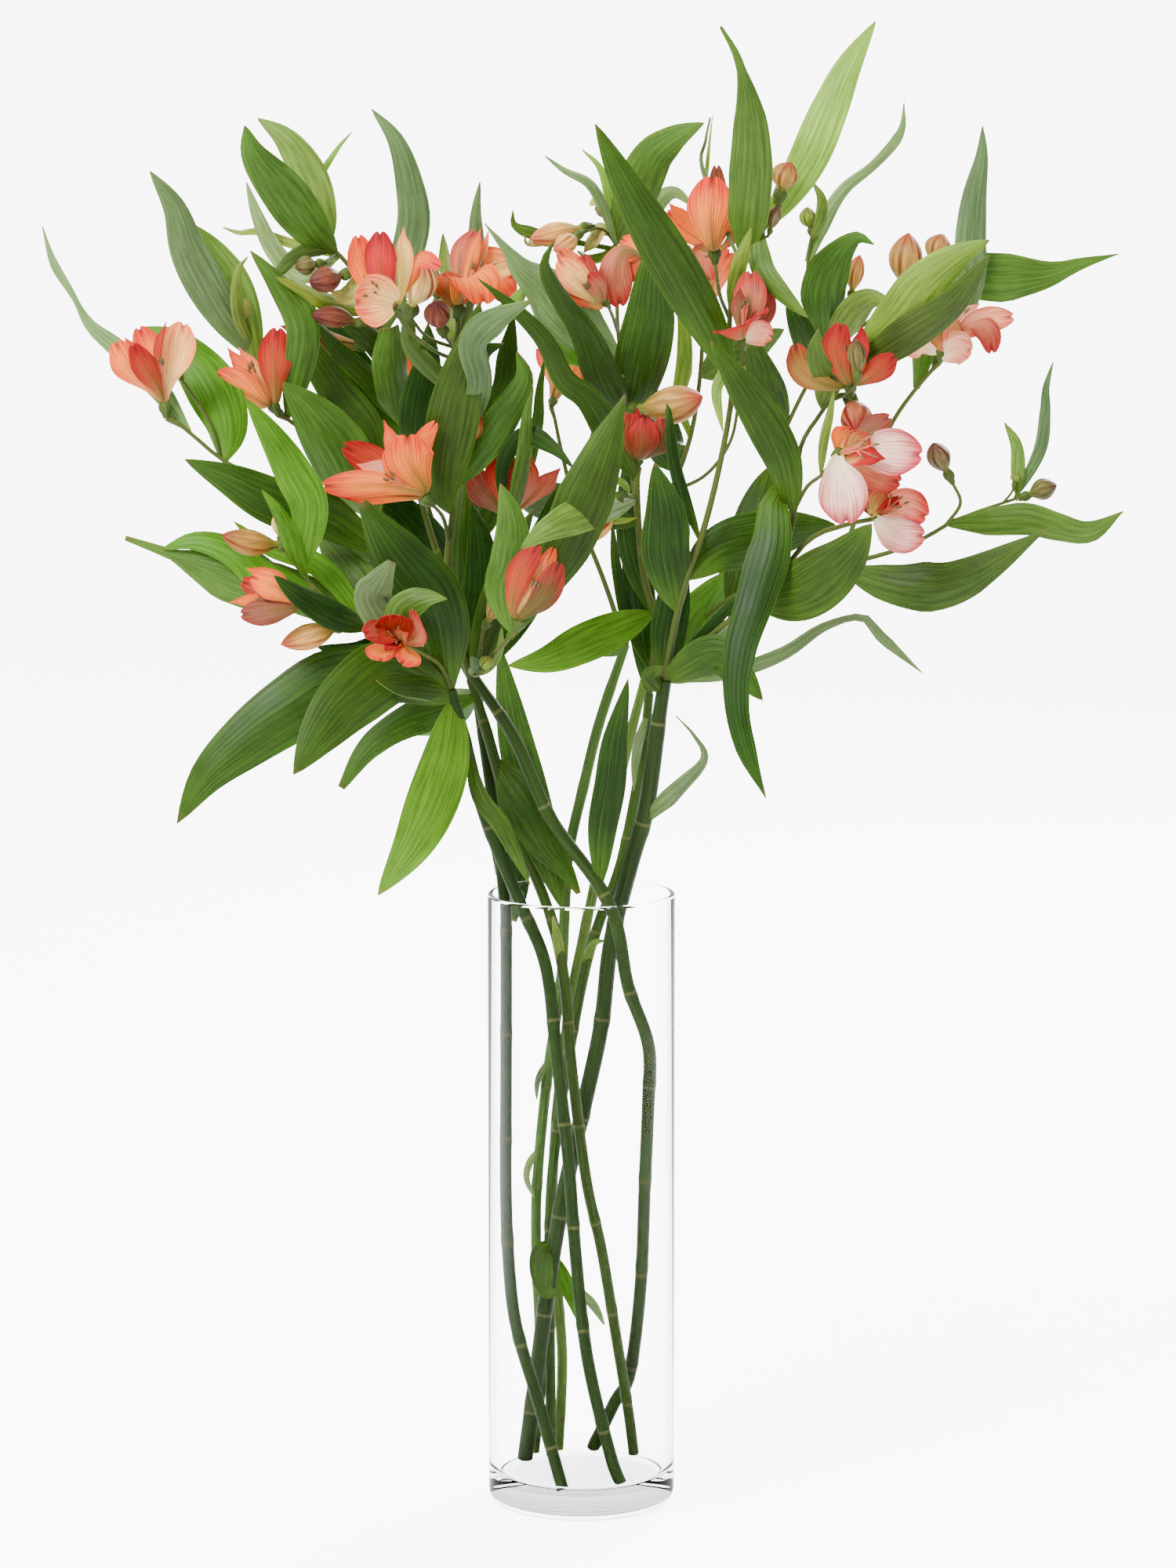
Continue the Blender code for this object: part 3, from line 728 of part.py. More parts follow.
def make_bud(name):
    """A closed bud: a pointed spindle, fullest above its middle."""
    bud = BUDS[name]
    foot, axis = head_frame(bud.ray, bud.base[:2], bud.tip)
    width = bud.width * MM
    foot = foot + axis * (ovary_length(width) + GAP)
    length = (at(*bud.tip) - foot).length
    shares = ((0.0, 0.30), (0.22, 0.82), (0.55, 1.0), (0.82, 0.66), (1.0, 0.0))
    bm = bmesh.new()
    side = axis.orthogonal().normalized()
    other = axis.cross(side)
    rings = []
    for along, share in shares:
        place = foot + axis * length * along
        if share == 0.0:
            rings.append([bm.verts.new(place)])
            break
        ring = []
        for k in range(BUD_SIDES):
            turn = 2 * math.pi * k / BUD_SIDES + along * 0.5
            ring.append(bm.verts.new(place + (side * math.cos(turn) + other * math.sin(turn)) * width / 2 * share))
        rings.append(ring)
    skin(bm, rings)
    return bm


def leaf_width(leaf, t):
    """Width of a leaf at fraction t from base to tip, in metres."""
    if isinstance(leaf.width, tuple):
        pixels = at_fraction(list(reversed(leaf.width)), t)
    else:
        pixels = leaf.width * max(0.10, math.sin(math.pi * t ** 0.85) ** 0.8)
        pixels = pixels if t < 0.9 else pixels * (1 - t) / 0.1
    return max(pixels * MM_PER_PIXEL, 2.0) * MM


def leaf_points(leaf, shift):
    """Spine of a leaf from base to tip; the tip lies `shift` mm deeper than the table says."""
    pixels = list(reversed(leaf.spine))
    base = seat_on(leaf.ray, *pixels[0])
    lengths = [0.0]
    for p, q in zip(pixels, pixels[1:]):
        lengths.append(lengths[-1] + math.hypot(q[0] - p[0], q[1] - p[1]))
    points = [base]
    start = depth_of(base)
    for pixel, length in zip(pixels[1:], lengths[1:]):
        share = (length / lengths[-1]) ** 0.8
        points.append(at(pixel[0], pixel[1], start + (leaf.depth + shift - start) * share))
    return points


def leaf_blade(leaf, shift, spare=0.0):
    """The closed blade of a leaf; spare widens and thickens it to test for room around it."""
    points = leaf_points(leaf, shift)
    length = sum((q - p).length for p, q in zip(points, points[1:]))
    steps = min(max(round(length / LEAF_STEP), 3), LEAF_MOST_STEPS)
    path = smooth_path(points, steps)
    aims = directions(path)
    sides = []
    normals = []
    widths = []
    for i, place in enumerate(path):
        t = i / steps
        sight = (place - EYE).normalized()
        across = aims[i].cross(sight).normalized()
        roll = math.radians(leaf.roll[1] + (leaf.roll[0] - leaf.roll[1]) * t)
        across = Matrix.Rotation(roll, 3, aims[i]) @ across
        sides.append(across)
        normals.append(across.cross(aims[i]).normalized())
        widths.append(leaf_width(leaf, t) / math.cos(roll) + spare)
    return blade(path, widths, sides, normals, LEAF_THICKNESS + spare, keel=0.16)


def tree_of(bm, skip_from=None, skip_radius=0.0):
    """A search tree over a mesh's triangles, without those within a radius of a place."""
    verts = [v.co.copy() for v in bm.verts]
    bm.verts.index_update()
    faces = []
    for f in bm.faces:
        if skip_from is not None and min((v.co - skip_from).length for v in f.verts) < skip_radius:
            continue
        faces.append([v.index for v in f.verts])
    return BVHTree.FromPolygons(verts, faces) if faces else None


def clear_shift(leaf, placed):
    """The smallest shift of the leaf's tip in depth that keeps its blade clear of all that stands."""
    order = [0]
    for k in range(1, DEPTH_TRIES + 1):
        order += [-k * DEPTH_STEP, k * DEPTH_STEP]
    fewest = None
    for shift in order:
        bm = leaf_blade(leaf, shift, spare=2 * LEAF_MARGIN)
        base = leaf_points(leaf, shift)[0]
        tree = tree_of(bm, base, 0.008)
        bm.free()
        hits = sum(1 for other in placed if tree.overlap(other))
        if hits == 0:
            return shift, 0
        if fewest is None or hits < fewest[1]:
            fewest = (shift, hits)
    return fewest


def fuse(name, parts):
    """One closed solid from overlapping closed parts."""
    body = new_object(name, parts[0])
    if len(parts) > 1:
        group = bpy.data.collections.new(name + "_parts")
        bpy.context.scene.collection.children.link(group)
        for i, bm in enumerate(parts[1:]):
            piece = new_object(name + "_part_" + str(i), bm)
            bpy.context.scene.collection.objects.unlink(piece)
            group.objects.link(piece)
        union = body.modifiers.new("union", "BOOLEAN")
        union.operation = "UNION"
        union.operand_type = "COLLECTION"
        union.collection = group
        union.solver = "MANIFOLD"
        depsgraph = bpy.context.evaluated_depsgraph_get()
        joined = bpy.data.meshes.new_from_object(body.evaluated_get(depsgraph))
        body.modifiers.clear()
        old = body.data
        body.data = joined
        bpy.data.meshes.remove(old)
        for piece in list(group.objects):
            bpy.data.objects.remove(piece, do_unlink=True)
        bpy.data.collections.remove(group)
        keep_main_body(body)
    return body


def keep_main_body(piece):
    """Drop any loose scrap beside the largest connected body, and join triangles that lie flat."""
    bm = bmesh.new()
    bm.from_mesh(piece.data)
    bmesh.ops.triangulate(bm, faces=bm.faces)
    seen = set()
    bodies = []
    for start in bm.verts:
        if start in seen:
            continue
        body = {start}
        stack = [start]
        while stack:
            for edge in stack.pop().link_edges:
                for vert in edge.verts:
                    if vert not in body:
                        body.add(vert)
                        stack.append(vert)
        seen |= body
        bodies.append(body)
    bodies.sort(key=len)
    for scrap in bodies[:-1]:
        print("dropped a loose scrap of", piece.name, len(scrap), "points near",
              [round(c, 3) for c in next(iter(scrap)).co])
        bmesh.ops.delete(bm, geom=list(scrap), context="VERTS")
    plain = bm.copy()
    bmesh.ops.dissolve_limit(plain, angle_limit=FLAT_ANGLE, verts=plain.verts, edges=plain.edges)
    bmesh.ops.triangulate(plain, faces=plain.faces)
    closed = all(len(edge.link_faces) == 2 for edge in plain.edges)
    (plain if closed else bm).to_mesh(piece.data)
    plain.free()
    bm.free()


def material(name, looks):
    found = bpy.data.materials.get(name)
    if found:
        return found
    made = bpy.data.materials.new(name)
    made.use_nodes = True
    shader = made.node_tree.nodes["Principled BSDF"]
    shader.inputs["Base Color"].default_value = (*looks["colour"], 1.0)
    shader.inputs["Roughness"].default_value = looks["roughness"]
    shader.inputs["Metallic"].default_value = 0.0
    shader.inputs["Transmission Weight"].default_value = looks["clarity"]
    made.diffuse_color = (*looks["colour"], 1.0)
    return made


def dress(piece, name, looks, smooth=True):
    piece.data.materials.clear()
    piece.data.materials.append(material(name, looks))
    if smooth:
        piece.data.shade_smooth()
        piece.data.set_sharp_from_angle(angle=math.radians(35))


def head_looks(name):
    if name in WHITE_BLOOMS:
        return "tepal_white", TEPAL_WHITE
    if name.startswith("bloom"):
        return "tepal_coral", TEPAL_CORAL
    if name in OLIVE_BUDS:
        return "bud_olive", BUD_OLIVE
    return "bud_rose", BUD_ROSE


def build():
    clear_scene()
    dress(make_vase(), "glass", GLASS_LOOKS)
    for name in list(STEMS) + list(RAYS):
        PATHS[name] = ray_path(name)
    parts = {stem: [] for stem in STEMS}
    placed = []

    def add(stem, bm):
        placed.append(tree_of(bm))
        parts[stem].append(bm)

    for bloom in BLOOMS.values():
        HEADS[bloom.ray] = (*head_frame(bloom.ray, bloom.base, bloom.aim), bloom.size * OVARY_SHARE * MM)
    for bud in BUDS.values():
        HEADS[bud.ray] = (*head_frame(bud.ray, bud.base, bud.tip), bud.width * MM)
    for name in STEMS:
        add(name, make_stalk(name))
    for name, ray in RAYS.items():
        add(ray.stem, make_stalk(name))
    for name in BLOOMS:
        head = make_bloom(name)
        dress(head, *head_looks(name))
        shape = bmesh.new()
        shape.from_mesh(head.data)
        placed.append(tree_of(shape))
        shape.free()
    for name, bud in BUDS.items():
        shape = make_bud(name)
        if bud.own_node:
            placed.append(tree_of(shape))
            dress(fuse(name, [shape]), *head_looks(name))
        else:
            bmesh.ops.translate(shape, verts=shape.verts, vec=HEADS[bud.ray][1] * (-2 * GAP))
            add(RAYS[bud.ray].stem, shape)
    rim = bmesh.new()
    rim.from_mesh(bpy.data.objects["vase"].data)
    bmesh.ops.triangulate(rim, faces=rim.faces)
    placed.append(tree_of(rim))
    rim.free()
    for number, leaf in enumerate(LEAVES):
        shift, hits = clear_shift(leaf, placed)
        if hits:
            print("leaf", number, leaf.ray, leaf.spine[0], "still meets", hits, "at shift", shift)
        stem = leaf.ray if leaf.ray in STEMS else RAYS[leaf.ray].stem
        add(stem, leaf_blade(leaf, shift))
    for stem in STEMS:
        whole = fuse("leafy_stem_" + stem, parts[stem])
        dress(whole, "leaf_green", STEM_LOOKS)


PATHS = {}
HEADS = {}
build()
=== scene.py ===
# %% [markdown]
# # A vase of alstroemeria
#
# This notebook dresses a model of eight leafy cut stems of alstroemeria in a tall glass vase. Simple solids
# of every piece already exist and are loaded as a fixed frame. Each solid says where a piece is and how
# large it is, and this script makes what the eye sees there: veined leaves, striped petals, buds, and clear
# glass.
#
# The frame comes first, because every later step measures itself against it.

import json
import math
import random
from collections import namedtuple

import bmesh
import bpy
from mathutils import Matrix, Vector
from mathutils.kdtree import KDTree

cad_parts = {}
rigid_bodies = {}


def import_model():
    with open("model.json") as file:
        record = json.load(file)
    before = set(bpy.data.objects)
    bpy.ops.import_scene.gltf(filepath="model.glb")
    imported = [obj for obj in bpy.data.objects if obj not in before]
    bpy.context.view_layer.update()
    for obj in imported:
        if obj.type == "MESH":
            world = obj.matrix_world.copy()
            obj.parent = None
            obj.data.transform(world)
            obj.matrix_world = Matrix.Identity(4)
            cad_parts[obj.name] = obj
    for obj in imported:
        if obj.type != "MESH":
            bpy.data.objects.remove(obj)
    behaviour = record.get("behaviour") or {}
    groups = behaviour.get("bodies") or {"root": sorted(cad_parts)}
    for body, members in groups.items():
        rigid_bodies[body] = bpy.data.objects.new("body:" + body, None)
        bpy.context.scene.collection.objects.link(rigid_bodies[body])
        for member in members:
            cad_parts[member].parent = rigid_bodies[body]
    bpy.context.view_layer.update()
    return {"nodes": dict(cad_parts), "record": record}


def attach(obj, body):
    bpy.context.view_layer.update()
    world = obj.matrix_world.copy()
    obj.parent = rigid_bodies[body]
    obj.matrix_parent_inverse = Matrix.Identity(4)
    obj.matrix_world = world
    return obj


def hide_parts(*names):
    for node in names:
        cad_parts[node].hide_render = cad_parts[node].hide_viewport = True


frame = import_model()
MM = 0.001

# %% [markdown]
# ## The camera and the places in its picture
#
# Flowers can't be laid out with a ruler, so their places are noted as they appear in one reference view:
# how far across and down in pixels, and how deep in millimetres behind the vase's axis. The camera below is
# that view. It stands 2.8 m away at the height of the foliage, looks 8.1 degrees down, and has a long lens,
# which keeps the stems from looking splayed. `at` turns a noted place into metres by following the line of
# sight.

# %% Set up the camera and the sight lines
PICTURE_SIZE = (1500, 2000)
PICTURE_MIDDLE = (PICTURE_SIZE[0] / 2, PICTURE_SIZE[1] / 2)
EYE = Vector((0.0036, -2.780, 0.787))
EYE_PITCH = math.radians(8.1)
EYE_FOCAL = 6731.6
SENSOR_HEIGHT = 36.0
FORWARD = Vector((0.0, math.cos(EYE_PITCH), -math.sin(EYE_PITCH)))
UPWARD = Vector((0.0, math.sin(EYE_PITCH), math.cos(EYE_PITCH)))


def placed(name, data):
    """An object in the scene that holds a mesh, a light or a camera."""
    made = bpy.data.objects.new(name, data)
    bpy.context.scene.collection.objects.link(made)
    return made


lens = bpy.data.cameras.new("picture")
lens.sensor_fit = "VERTICAL"
lens.sensor_height = SENSOR_HEIGHT
lens.lens = EYE_FOCAL / PICTURE_SIZE[1] * SENSOR_HEIGHT
lens.clip_end = 200.0
camera = placed("picture", lens)
camera.matrix_world = Matrix.Translation(EYE) @ Matrix.Rotation(math.pi / 2 - EYE_PITCH, 4, "X")
bpy.context.scene.camera = camera


def at(across, down, depth):
    """Metres for the place seen at a pixel, on the upright plane `depth` mm behind the vase's axis."""
    sight = FORWARD * EYE_FOCAL + UPWARD * (PICTURE_MIDDLE[1] - down)
    sight.x += across - PICTURE_MIDDLE[0]
    return EYE + sight * ((depth * MM - EYE.y) / sight.y)


def pixel_of(place):
    """Where a place shows in the reference view, as (across, down)."""
    sight = place - EYE
    reach = sight.dot(FORWARD)
    return (PICTURE_MIDDLE[0] + sight.x / reach * EYE_FOCAL,
            PICTURE_MIDDLE[1] - sight.dot(UPWARD) / reach * EYE_FOCAL)


print("camera: lens", round(lens.lens, 1), "mm at", [round(c, 2) for c in EYE])

# %% [markdown]
# ## Smooth lines from a few points
#
# Stems and leaves bend gently, so a few noted points are enough if a smooth curve is drawn through them. A
# Catmull-Rom curve passes through every point, which is why it is used here and not one that only leans
# towards its handles. It is then cut into steps of even length, because veins and scars are spaced along
# it.

# %% Smooth paths
CURVE_STEPS = 8


def smooth_path(points, count):
    """`count` + 1 places along the smooth curve through the given points, evenly spaced in length."""
    ends = [points[0] * 2 - points[1]] + list(points) + [points[-1] * 2 - points[-2]]
    fine = []
    for i in range(1, len(ends) - 2):
        a, b, c, d = ends[i - 1:i + 3]
        for k in range(CURVE_STEPS):
            t = k / CURVE_STEPS
            fine.append(0.5 * (2 * b + (c - a) * t + (2 * a - 5 * b + 4 * c - d) * t * t
                               + (3 * b - a - 3 * c + d) * t ** 3))
    fine.append(points[-1].copy())
    lengths = [0.0]
    for p, q in zip(fine, fine[1:]):
        lengths.append(lengths[-1] + (q - p).length)
    path = []
    i = 0
    for k in range(count + 1):
        goal = lengths[-1] * k / count
        while i < len(fine) - 2 and lengths[i + 1] < goal:
            i += 1
        span = lengths[i + 1] - lengths[i]
        path.append(fine[i].lerp(fine[i + 1], (goal - lengths[i]) / span if span > 0 else 0.0))
    return path


def directions(path):
    """Unit direction of travel at each place of a path."""
    last = len(path) - 1
    return [(path[min(i + 1, last)] - path[max(i - 1, 0)]).normalized() for i in range(last + 1)]


def at_fraction(values, t):
    """Value at fraction t of an evenly spaced list."""
    place = min(max(t, 0.0), 1.0) * (len(values) - 1)
    i = min(int(place), len(values) - 2)
    return values[i] + (values[i + 1] - values[i]) * (place - i)


def ease(low, high, value):
    """0 below low, 1 above high, and a smooth rise between them."""
    t = min(max((value - low) / (high - low), 0.0), 1.0)
    return t * t * (3 - 2 * t)


def blend(first, second, share):
    """A colour between two."""
    return tuple(a + (b - a) * share for a, b in zip(first, second))


trial = smooth_path([Vector((i, i * i, 0)) for i in range(4)], 9)
print("paths: a curve through 4 points is cut into", len(trial) - 1, "even steps")

# %% [markdown]
# ## How the plant is noted down
#
# A cut stem carries a whorl of flower stalks, called rays, and a ray may fork again. Each line names what
# it grows from, so that it can be rooted on its parent's middle line. Flowers, buds and leaves name the ray
# that carries them. The places are pixels of the reference view with a depth, as `at` reads them. The stems
# come first, each from its whorl down to its cut end.

# %% Note the stems
Stem = namedtuple("Stem", "thick path")
Ray = namedtuple("Ray", "parent thick path")
Bloom = namedtuple("Bloom", "ray base aim size open spin look")
Bud = namedtuple("Bud", "ray base tip width look")
Leaf = namedtuple("Leaf", "ray spine depth width roll tone")

# Thickness in mm, and the path as (across, down, depth)
STEMS = {
    "a": Stem(6.6, ((606, 872, 35), (620, 960, 26), (634, 1060, 10), (643, 1140, 0), (645, 1200, -2),
        (645, 1412, -4), (645, 1514, -6), (649, 1609, -10), (659, 1692, -18), (686, 1785, -30),
        (718, 1902, -40.5))),
    "b": Stem(6.8, ((575, 880, -45), (590, 932, -42), (618, 1040, -28), (664, 1154, -17), (696, 1233, -20),
        (710, 1348, -23), (725, 1480, -24), (735, 1609, -25), (750, 1737, -27), (779, 1858, -29),
        (792, 1893, -30))),
    "c": Stem(6.0, ((600, 866, 5), (620, 930, 3), (655, 1050, -4), (697, 1154, -8), (719, 1246, -11),
        (729, 1361, -14), (748, 1507, -9), (767, 1593, 0), (785, 1699, 14), (802, 1801, 26),
        (809, 1854, 31))),
    "h": Stem(7.0, ((603, 862, -18), (655, 940, -20), (700, 1040, -22), (763, 1128, -25), (787, 1182, -24),
        (801, 1259, -20), (827, 1335, -14), (827, 1412, -4), (823, 1514, 7), (818, 1641, 20),
        (804, 1753, 31), (785, 1788, 35), (756, 1848, 41.5))),
    "g": Stem(8.6, ((848, 868, -30), (840, 920, -27), (825, 1030, -18), (804, 1105, -11), (779, 1207, -6),
        (767, 1310, -1), (745, 1412, 2), (718, 1530, 6), (699, 1641, 11), (684, 1753, 16),
        (669, 1860, 21))),
    "d": Stem(5.8, ((798, 822, 50), (765, 920, 42), (745, 1000, 32), (725, 1090, 22), (720, 1169, 18),
        (715, 1258, 21), (698, 1373, 25), (686, 1490, 27), (683, 1577, 29), (688, 1700, 31),
        (690, 1760, 33), (681, 1853, 35))),
    "e": Stem(5.8, ((822, 868, 20), (797, 965, 20), (768, 1085, 20), (745, 1195, 24), (729, 1274, 28),
        (712, 1400, 31), (704, 1540, 34), (712, 1660, 37), (717, 1740, 39), (712, 1849, 40.5))),
    "f": Stem(5.8, ((828, 885, -6), (820, 960, -2), (795, 1090, 4), (768, 1169, 8), (748, 1233, 11),
        (727, 1340, 15), (706, 1480, 19), (700, 1593, 23), (701, 1700, 25), (703, 1856, 27))),
}
print("stems:", len(STEMS))

# %% [markdown]
# ## Rays
#
# A ray is thick at its root and thin at its end. A parent comes before the rays that fork from it.

# %% Note the rays
# Parent, (thick, thin) in mm, and the path from its root, whose depth is the parent's own
RAYS = {
    "b_low": Ray("b", (3.0, 2.2), ((575, 880), (555, 840, -47), (510, 812, -50), (470, 801, -54),
        (441, 798, -58))),
    "b_front": Ray("b", (3.0, 2.2), ((575, 880), (562, 850, -55), (540, 834, -67), (517, 823, -77))),
    "b_left": Ray("b", (3.4, 2.0), ((577, 878), (550, 790, -36), (480, 700, -32), (400, 645, -30),
        (330, 608, -30), (288, 590, -30), (240, 550, -34), (214, 530, -36))),
    "b_pale": Ray("b_left", (2.0, 1.6), ((283, 586), (270, 545, -24), (250, 510, -20), (232, 484, -18))),
    "b_stalk": Ray("b_low", (2.4, 1.8), ((480, 803), (440, 780, -60), (400, 750, -64), (378, 712, -66),
        (369, 699, -67))),
    "b_side": Ray("b_low", (2.0, 1.8), ((465, 800), (440, 790, -66), (410, 775, -72), (391, 770, -76))),
    "b_white": Ray("b_stalk", (1.8, 1.5), ((395, 742), (370, 712, -58), (358, 692, -56))),
    "c_main": Ray("c", (4.0, 2.6), ((600, 866), (580, 800, 0), (572, 760, -8), (571, 710, -14),
        (578, 650, -14), (580, 610, -10), (592, 565, -4), (604, 530, 0), (600, 480, -2), (580, 440, -6))),
    "c_fork": Ray("c_main", (2.4, 2.0), ((572, 690), (565, 660, -24), (551, 643, -32))),
    "c_up": Ray("c_main", (2.4, 2.0), ((581, 442), (585, 420, -8), (584, 404, -8))),
    "c_round": Ray("c_main", (2.0, 1.8), ((584, 446), (575, 438, -18), (566, 427, -30))),
    "c_slim": Ray("c_main", (2.0, 1.6), ((582, 444), (565, 420, 8), (557, 394, 10))),
    "c_pink": Ray("c_main", (2.0, 1.8), ((583, 446), (545, 430, -14), (523, 404, -22))),
    "c_open": Ray("c_main", (2.4, 2.0), ((590, 460), (555, 448, -30), (520, 420, -44), (508, 402, -52))),
    "c_twig": Ray("c_main", (1.8, 1.6), ((588, 590), (586, 583, -14), (590, 575, -18))),
    "c_left": Ray("c", (3.4, 2.2), ((600, 866), (545, 770, 22), (475, 655, 27), (415, 575, 22),
        (370, 537, 14), (354, 526, 8))),
    "c_green": Ray("c_left", (2.0, 1.6), ((366, 535), (345, 505, 32), (326, 460, 36), (325, 426, 36))),
    "a_main": Ray("a", (4.0, 2.4), ((606, 872), (575, 760, 46), (540, 650, 50), (510, 530, 44),
        (488, 440, 36), (470, 380, 30), (455, 348, 26), (430, 325, 22), (415, 308, 20))),
    "a_olive": Ray("a_main", (1.8, 1.5), ((428, 324), (420, 330, 14), (413, 335, 8))),
    "a_rose": Ray("a_main", (2.0, 1.8), ((466, 372), (460, 358, 12), (450, 349, 2))),
    "a_wine": Ray("a_main", (2.0, 1.8), ((484, 428), (478, 420, 20), (467, 412, 10))),
    "a_low": Ray("a_main", (2.0, 1.8), ((490, 450), (478, 448, 42), (466, 444, 44))),
    "a_rear": Ray("a", (3.6, 2.2), ((606, 872), (590, 780, 70), (560, 690, 92), (535, 610, 98),
        (520, 560, 98))),
    "a_rear_fork": Ray("a_rear", (2.0, 1.8), ((545, 640), (500, 610, 100), (470, 590, 98))),
    "h_right": Ray("h", (3.0, 2.2), ((603, 862), (625, 840, -38), (642, 822, -52), (658, 803, -64))),
    "h_up": Ray("h", (2.6, 2.0), ((603, 862), (612, 835, -24), (615, 812, -28), (617, 802, -30))),
    "h_cup": Ray("h", (3.0, 2.2), ((603, 862), (630, 780, -6), (645, 720, 2), (650, 669, 4))),
    "g_high": Ray("g", (4.0, 2.4), ((848, 868), (860, 800, -38), (875, 740, -44), (893, 690, -48),
        (912, 620, -50), (930, 530, -50), (935, 470, -48), (930, 399, -40), (945, 350, -38),
        (958, 312, -36))),
    "g_red": Ray("g_high", (2.4, 2.0), ((934, 480), (944, 470, -56), (947, 446, -62))),
    "g_tall": Ray("g_high", (2.2, 1.8), ((930, 405), (918, 375, -32), (912, 334, -26))),
    "g_bud": Ray("g_high", (2.2, 1.6), ((952, 330), (975, 290, -36), (998, 260, -36))),
    "g_bud_low": Ray("g_high", (2.0, 1.6), ((956, 318), (960, 310, -40), (962, 301, -42))),
    "g_wide": Ray("g", (3.8, 2.4), ((848, 868), (870, 845, -34), (920, 800, -44), (985, 745, -54),
        (1030, 690, -54), (1070, 672, -48), (1111, 662, -42))),
    "g_mid": Ray("g_wide", (3.2, 2.0), ((985, 745), (1005, 690, -50), (1015, 640, -46), (1018, 590, -42),
        (1025, 560, -40), (1045, 530, -36), (1065, 500, -32), (1088, 468, -28))),
    "g_white": Ray("g_mid", (2.4, 2.0), ((1015, 648), (1030, 620, -54), (1050, 604, -60),
        (1064, 582, -64))),
    "g_cup": Ray("g_mid", (2.2, 1.8), ((1045, 530), (1060, 512, -44), (1082, 503, -50))),
    "g_knob": Ray("g_cup", (1.8, 1.5), ((1076, 506), (1090, 494, -64), (1094, 484, -74))),
    "g_droop": Ray("g_mid", (2.0, 1.6), ((1056, 514), (1068, 504, -30), (1080, 502, -32))),
    "f_mid": Ray("f", (4.0, 3.6), ((828, 885), (836, 800, -8), (822, 740, -10), (815, 680, -12),
        (812, 620, -16), (813, 596, -18))),
    "f_bract": Ray("f_mid", (2.2, 1.8), ((813, 640), (803, 634, -22), (793, 632, -28))),
    "f_up": Ray("f_mid", (3.0, 1.8), ((815, 670), (806, 600, 12), (800, 540, 18), (795, 480, 18),
        (788, 420, 24), (787, 360, 36), (787, 310, 40))),
    "f_rose": Ray("f_up", (2.0, 1.8), ((799, 530), (797, 528, 8), (801, 525, -2))),
    "f_face": Ray("f_up", (2.2, 1.8), ((788, 424), (782, 405, 4), (776, 391, -12))),
    "f_side": Ray("f_up", (2.2, 1.8), ((792, 450), (815, 400, 12), (830, 350, 6), (828, 331, 6))),
    "f_left": Ray("f_up", (1.8, 1.5), ((787, 314), (772, 295, 34), (757, 290, 28))),
    "f_pair": Ray("f_left", (1.8, 1.5), ((760, 291), (752, 294, 24), (744, 296, 20))),
    "f_knot": Ray("f_up", (2.0, 1.8), ((800, 540), (800, 515, 8), (797, 497, 2))),
    "f_knob": Ray("f_up", (1.8, 1.6), ((798, 520), (790, 505, 10), (782, 493, 8))),
    "g_bud_pair": Ray("g_bud", (1.8, 1.5), ((968, 302), (974, 304, -42), (980, 300, -44))),
    "h_pod": Ray("h", (1.8, 1.6), ((606, 864), (609, 862, -34), (611, 858, -40))),
    "f_tiny": Ray("f_up", (1.6, 1.3), ((787, 312), (778, 290, 44), (772, 276, 44))),
    "e_right": Ray("e", (3.8, 2.2), ((822, 868), (855, 850, 16), (900, 790, 8), (945, 757, 2),
        (1000, 747, -4), (1070, 722, -6), (1140, 703, -8), (1185, 683, -8), (1210, 668, -8))),
    "e_lift": Ray("e_right", (2.0, 1.8), ((1206, 670), (1225, 642, -12), (1214, 614, -14))),
    "e_far": Ray("e_right", (2.0, 1.6), ((1206, 670), (1240, 655, -6), (1290, 638, -6), (1300, 635, -6))),
    "e_end": Ray("e_far", (1.5, 1.2), ((1280, 641), (1289, 630, -8), (1293, 622, -8))),
    "e_open": Ray("e_right", (2.8, 2.2), ((1070, 722), (1105, 620, 6), (1135, 545, 10), (1165, 500, 6),
        (1196, 464, 2))),
    "e_high": Ray("e", (3.4, 2.2), ((822, 868), (870, 830, 26), (905, 770, 30), (925, 720, 32),
        (960, 660, 32), (985, 590, 30), (1003, 545, 28), (1030, 490, 22), (1056, 447, 16))),
    "e_short": Ray("e_high", (1.8, 1.6), ((1052, 454), (1074, 410, 10), (1085, 382, 6))),
    "e_fat": Ray("e_high", (2.0, 1.8), ((1050, 457), (1105, 412, 16), (1149, 378, 12))),
    "e_dark": Ray("e_fat", (1.8, 1.6), ((1120, 402), (1160, 385, 26), (1184, 350, 30))),
    "e_top": Ray("e_high", (2.4, 1.6), ((1054, 451), (1036, 390, 22), (1030, 345, 24), (1035, 298, 24))),
    "d_back": Ray("d", (3.6, 2.2), ((798, 822), (812, 720, 66), (850, 640, 74), (880, 560, 78),
        (893, 480, 76), (896, 425, 72))),
    "d_back_fork": Ray("d_back", (2.2, 1.8), ((858, 628), (900, 606, 82), (932, 562, 86), (943, 506, 86))),
    "d_left": Ray("d", (3.2, 2.0), ((798, 822), (770, 740, 72), (735, 650, 84), (715, 570, 84),
        (705, 520, 80))),
}
print("rays:", len(RAYS))

# %% [markdown]
# ## Flowers and buds
#
# A flower is noted by its base and by a point that it looks at, a bud by its base and its tip.

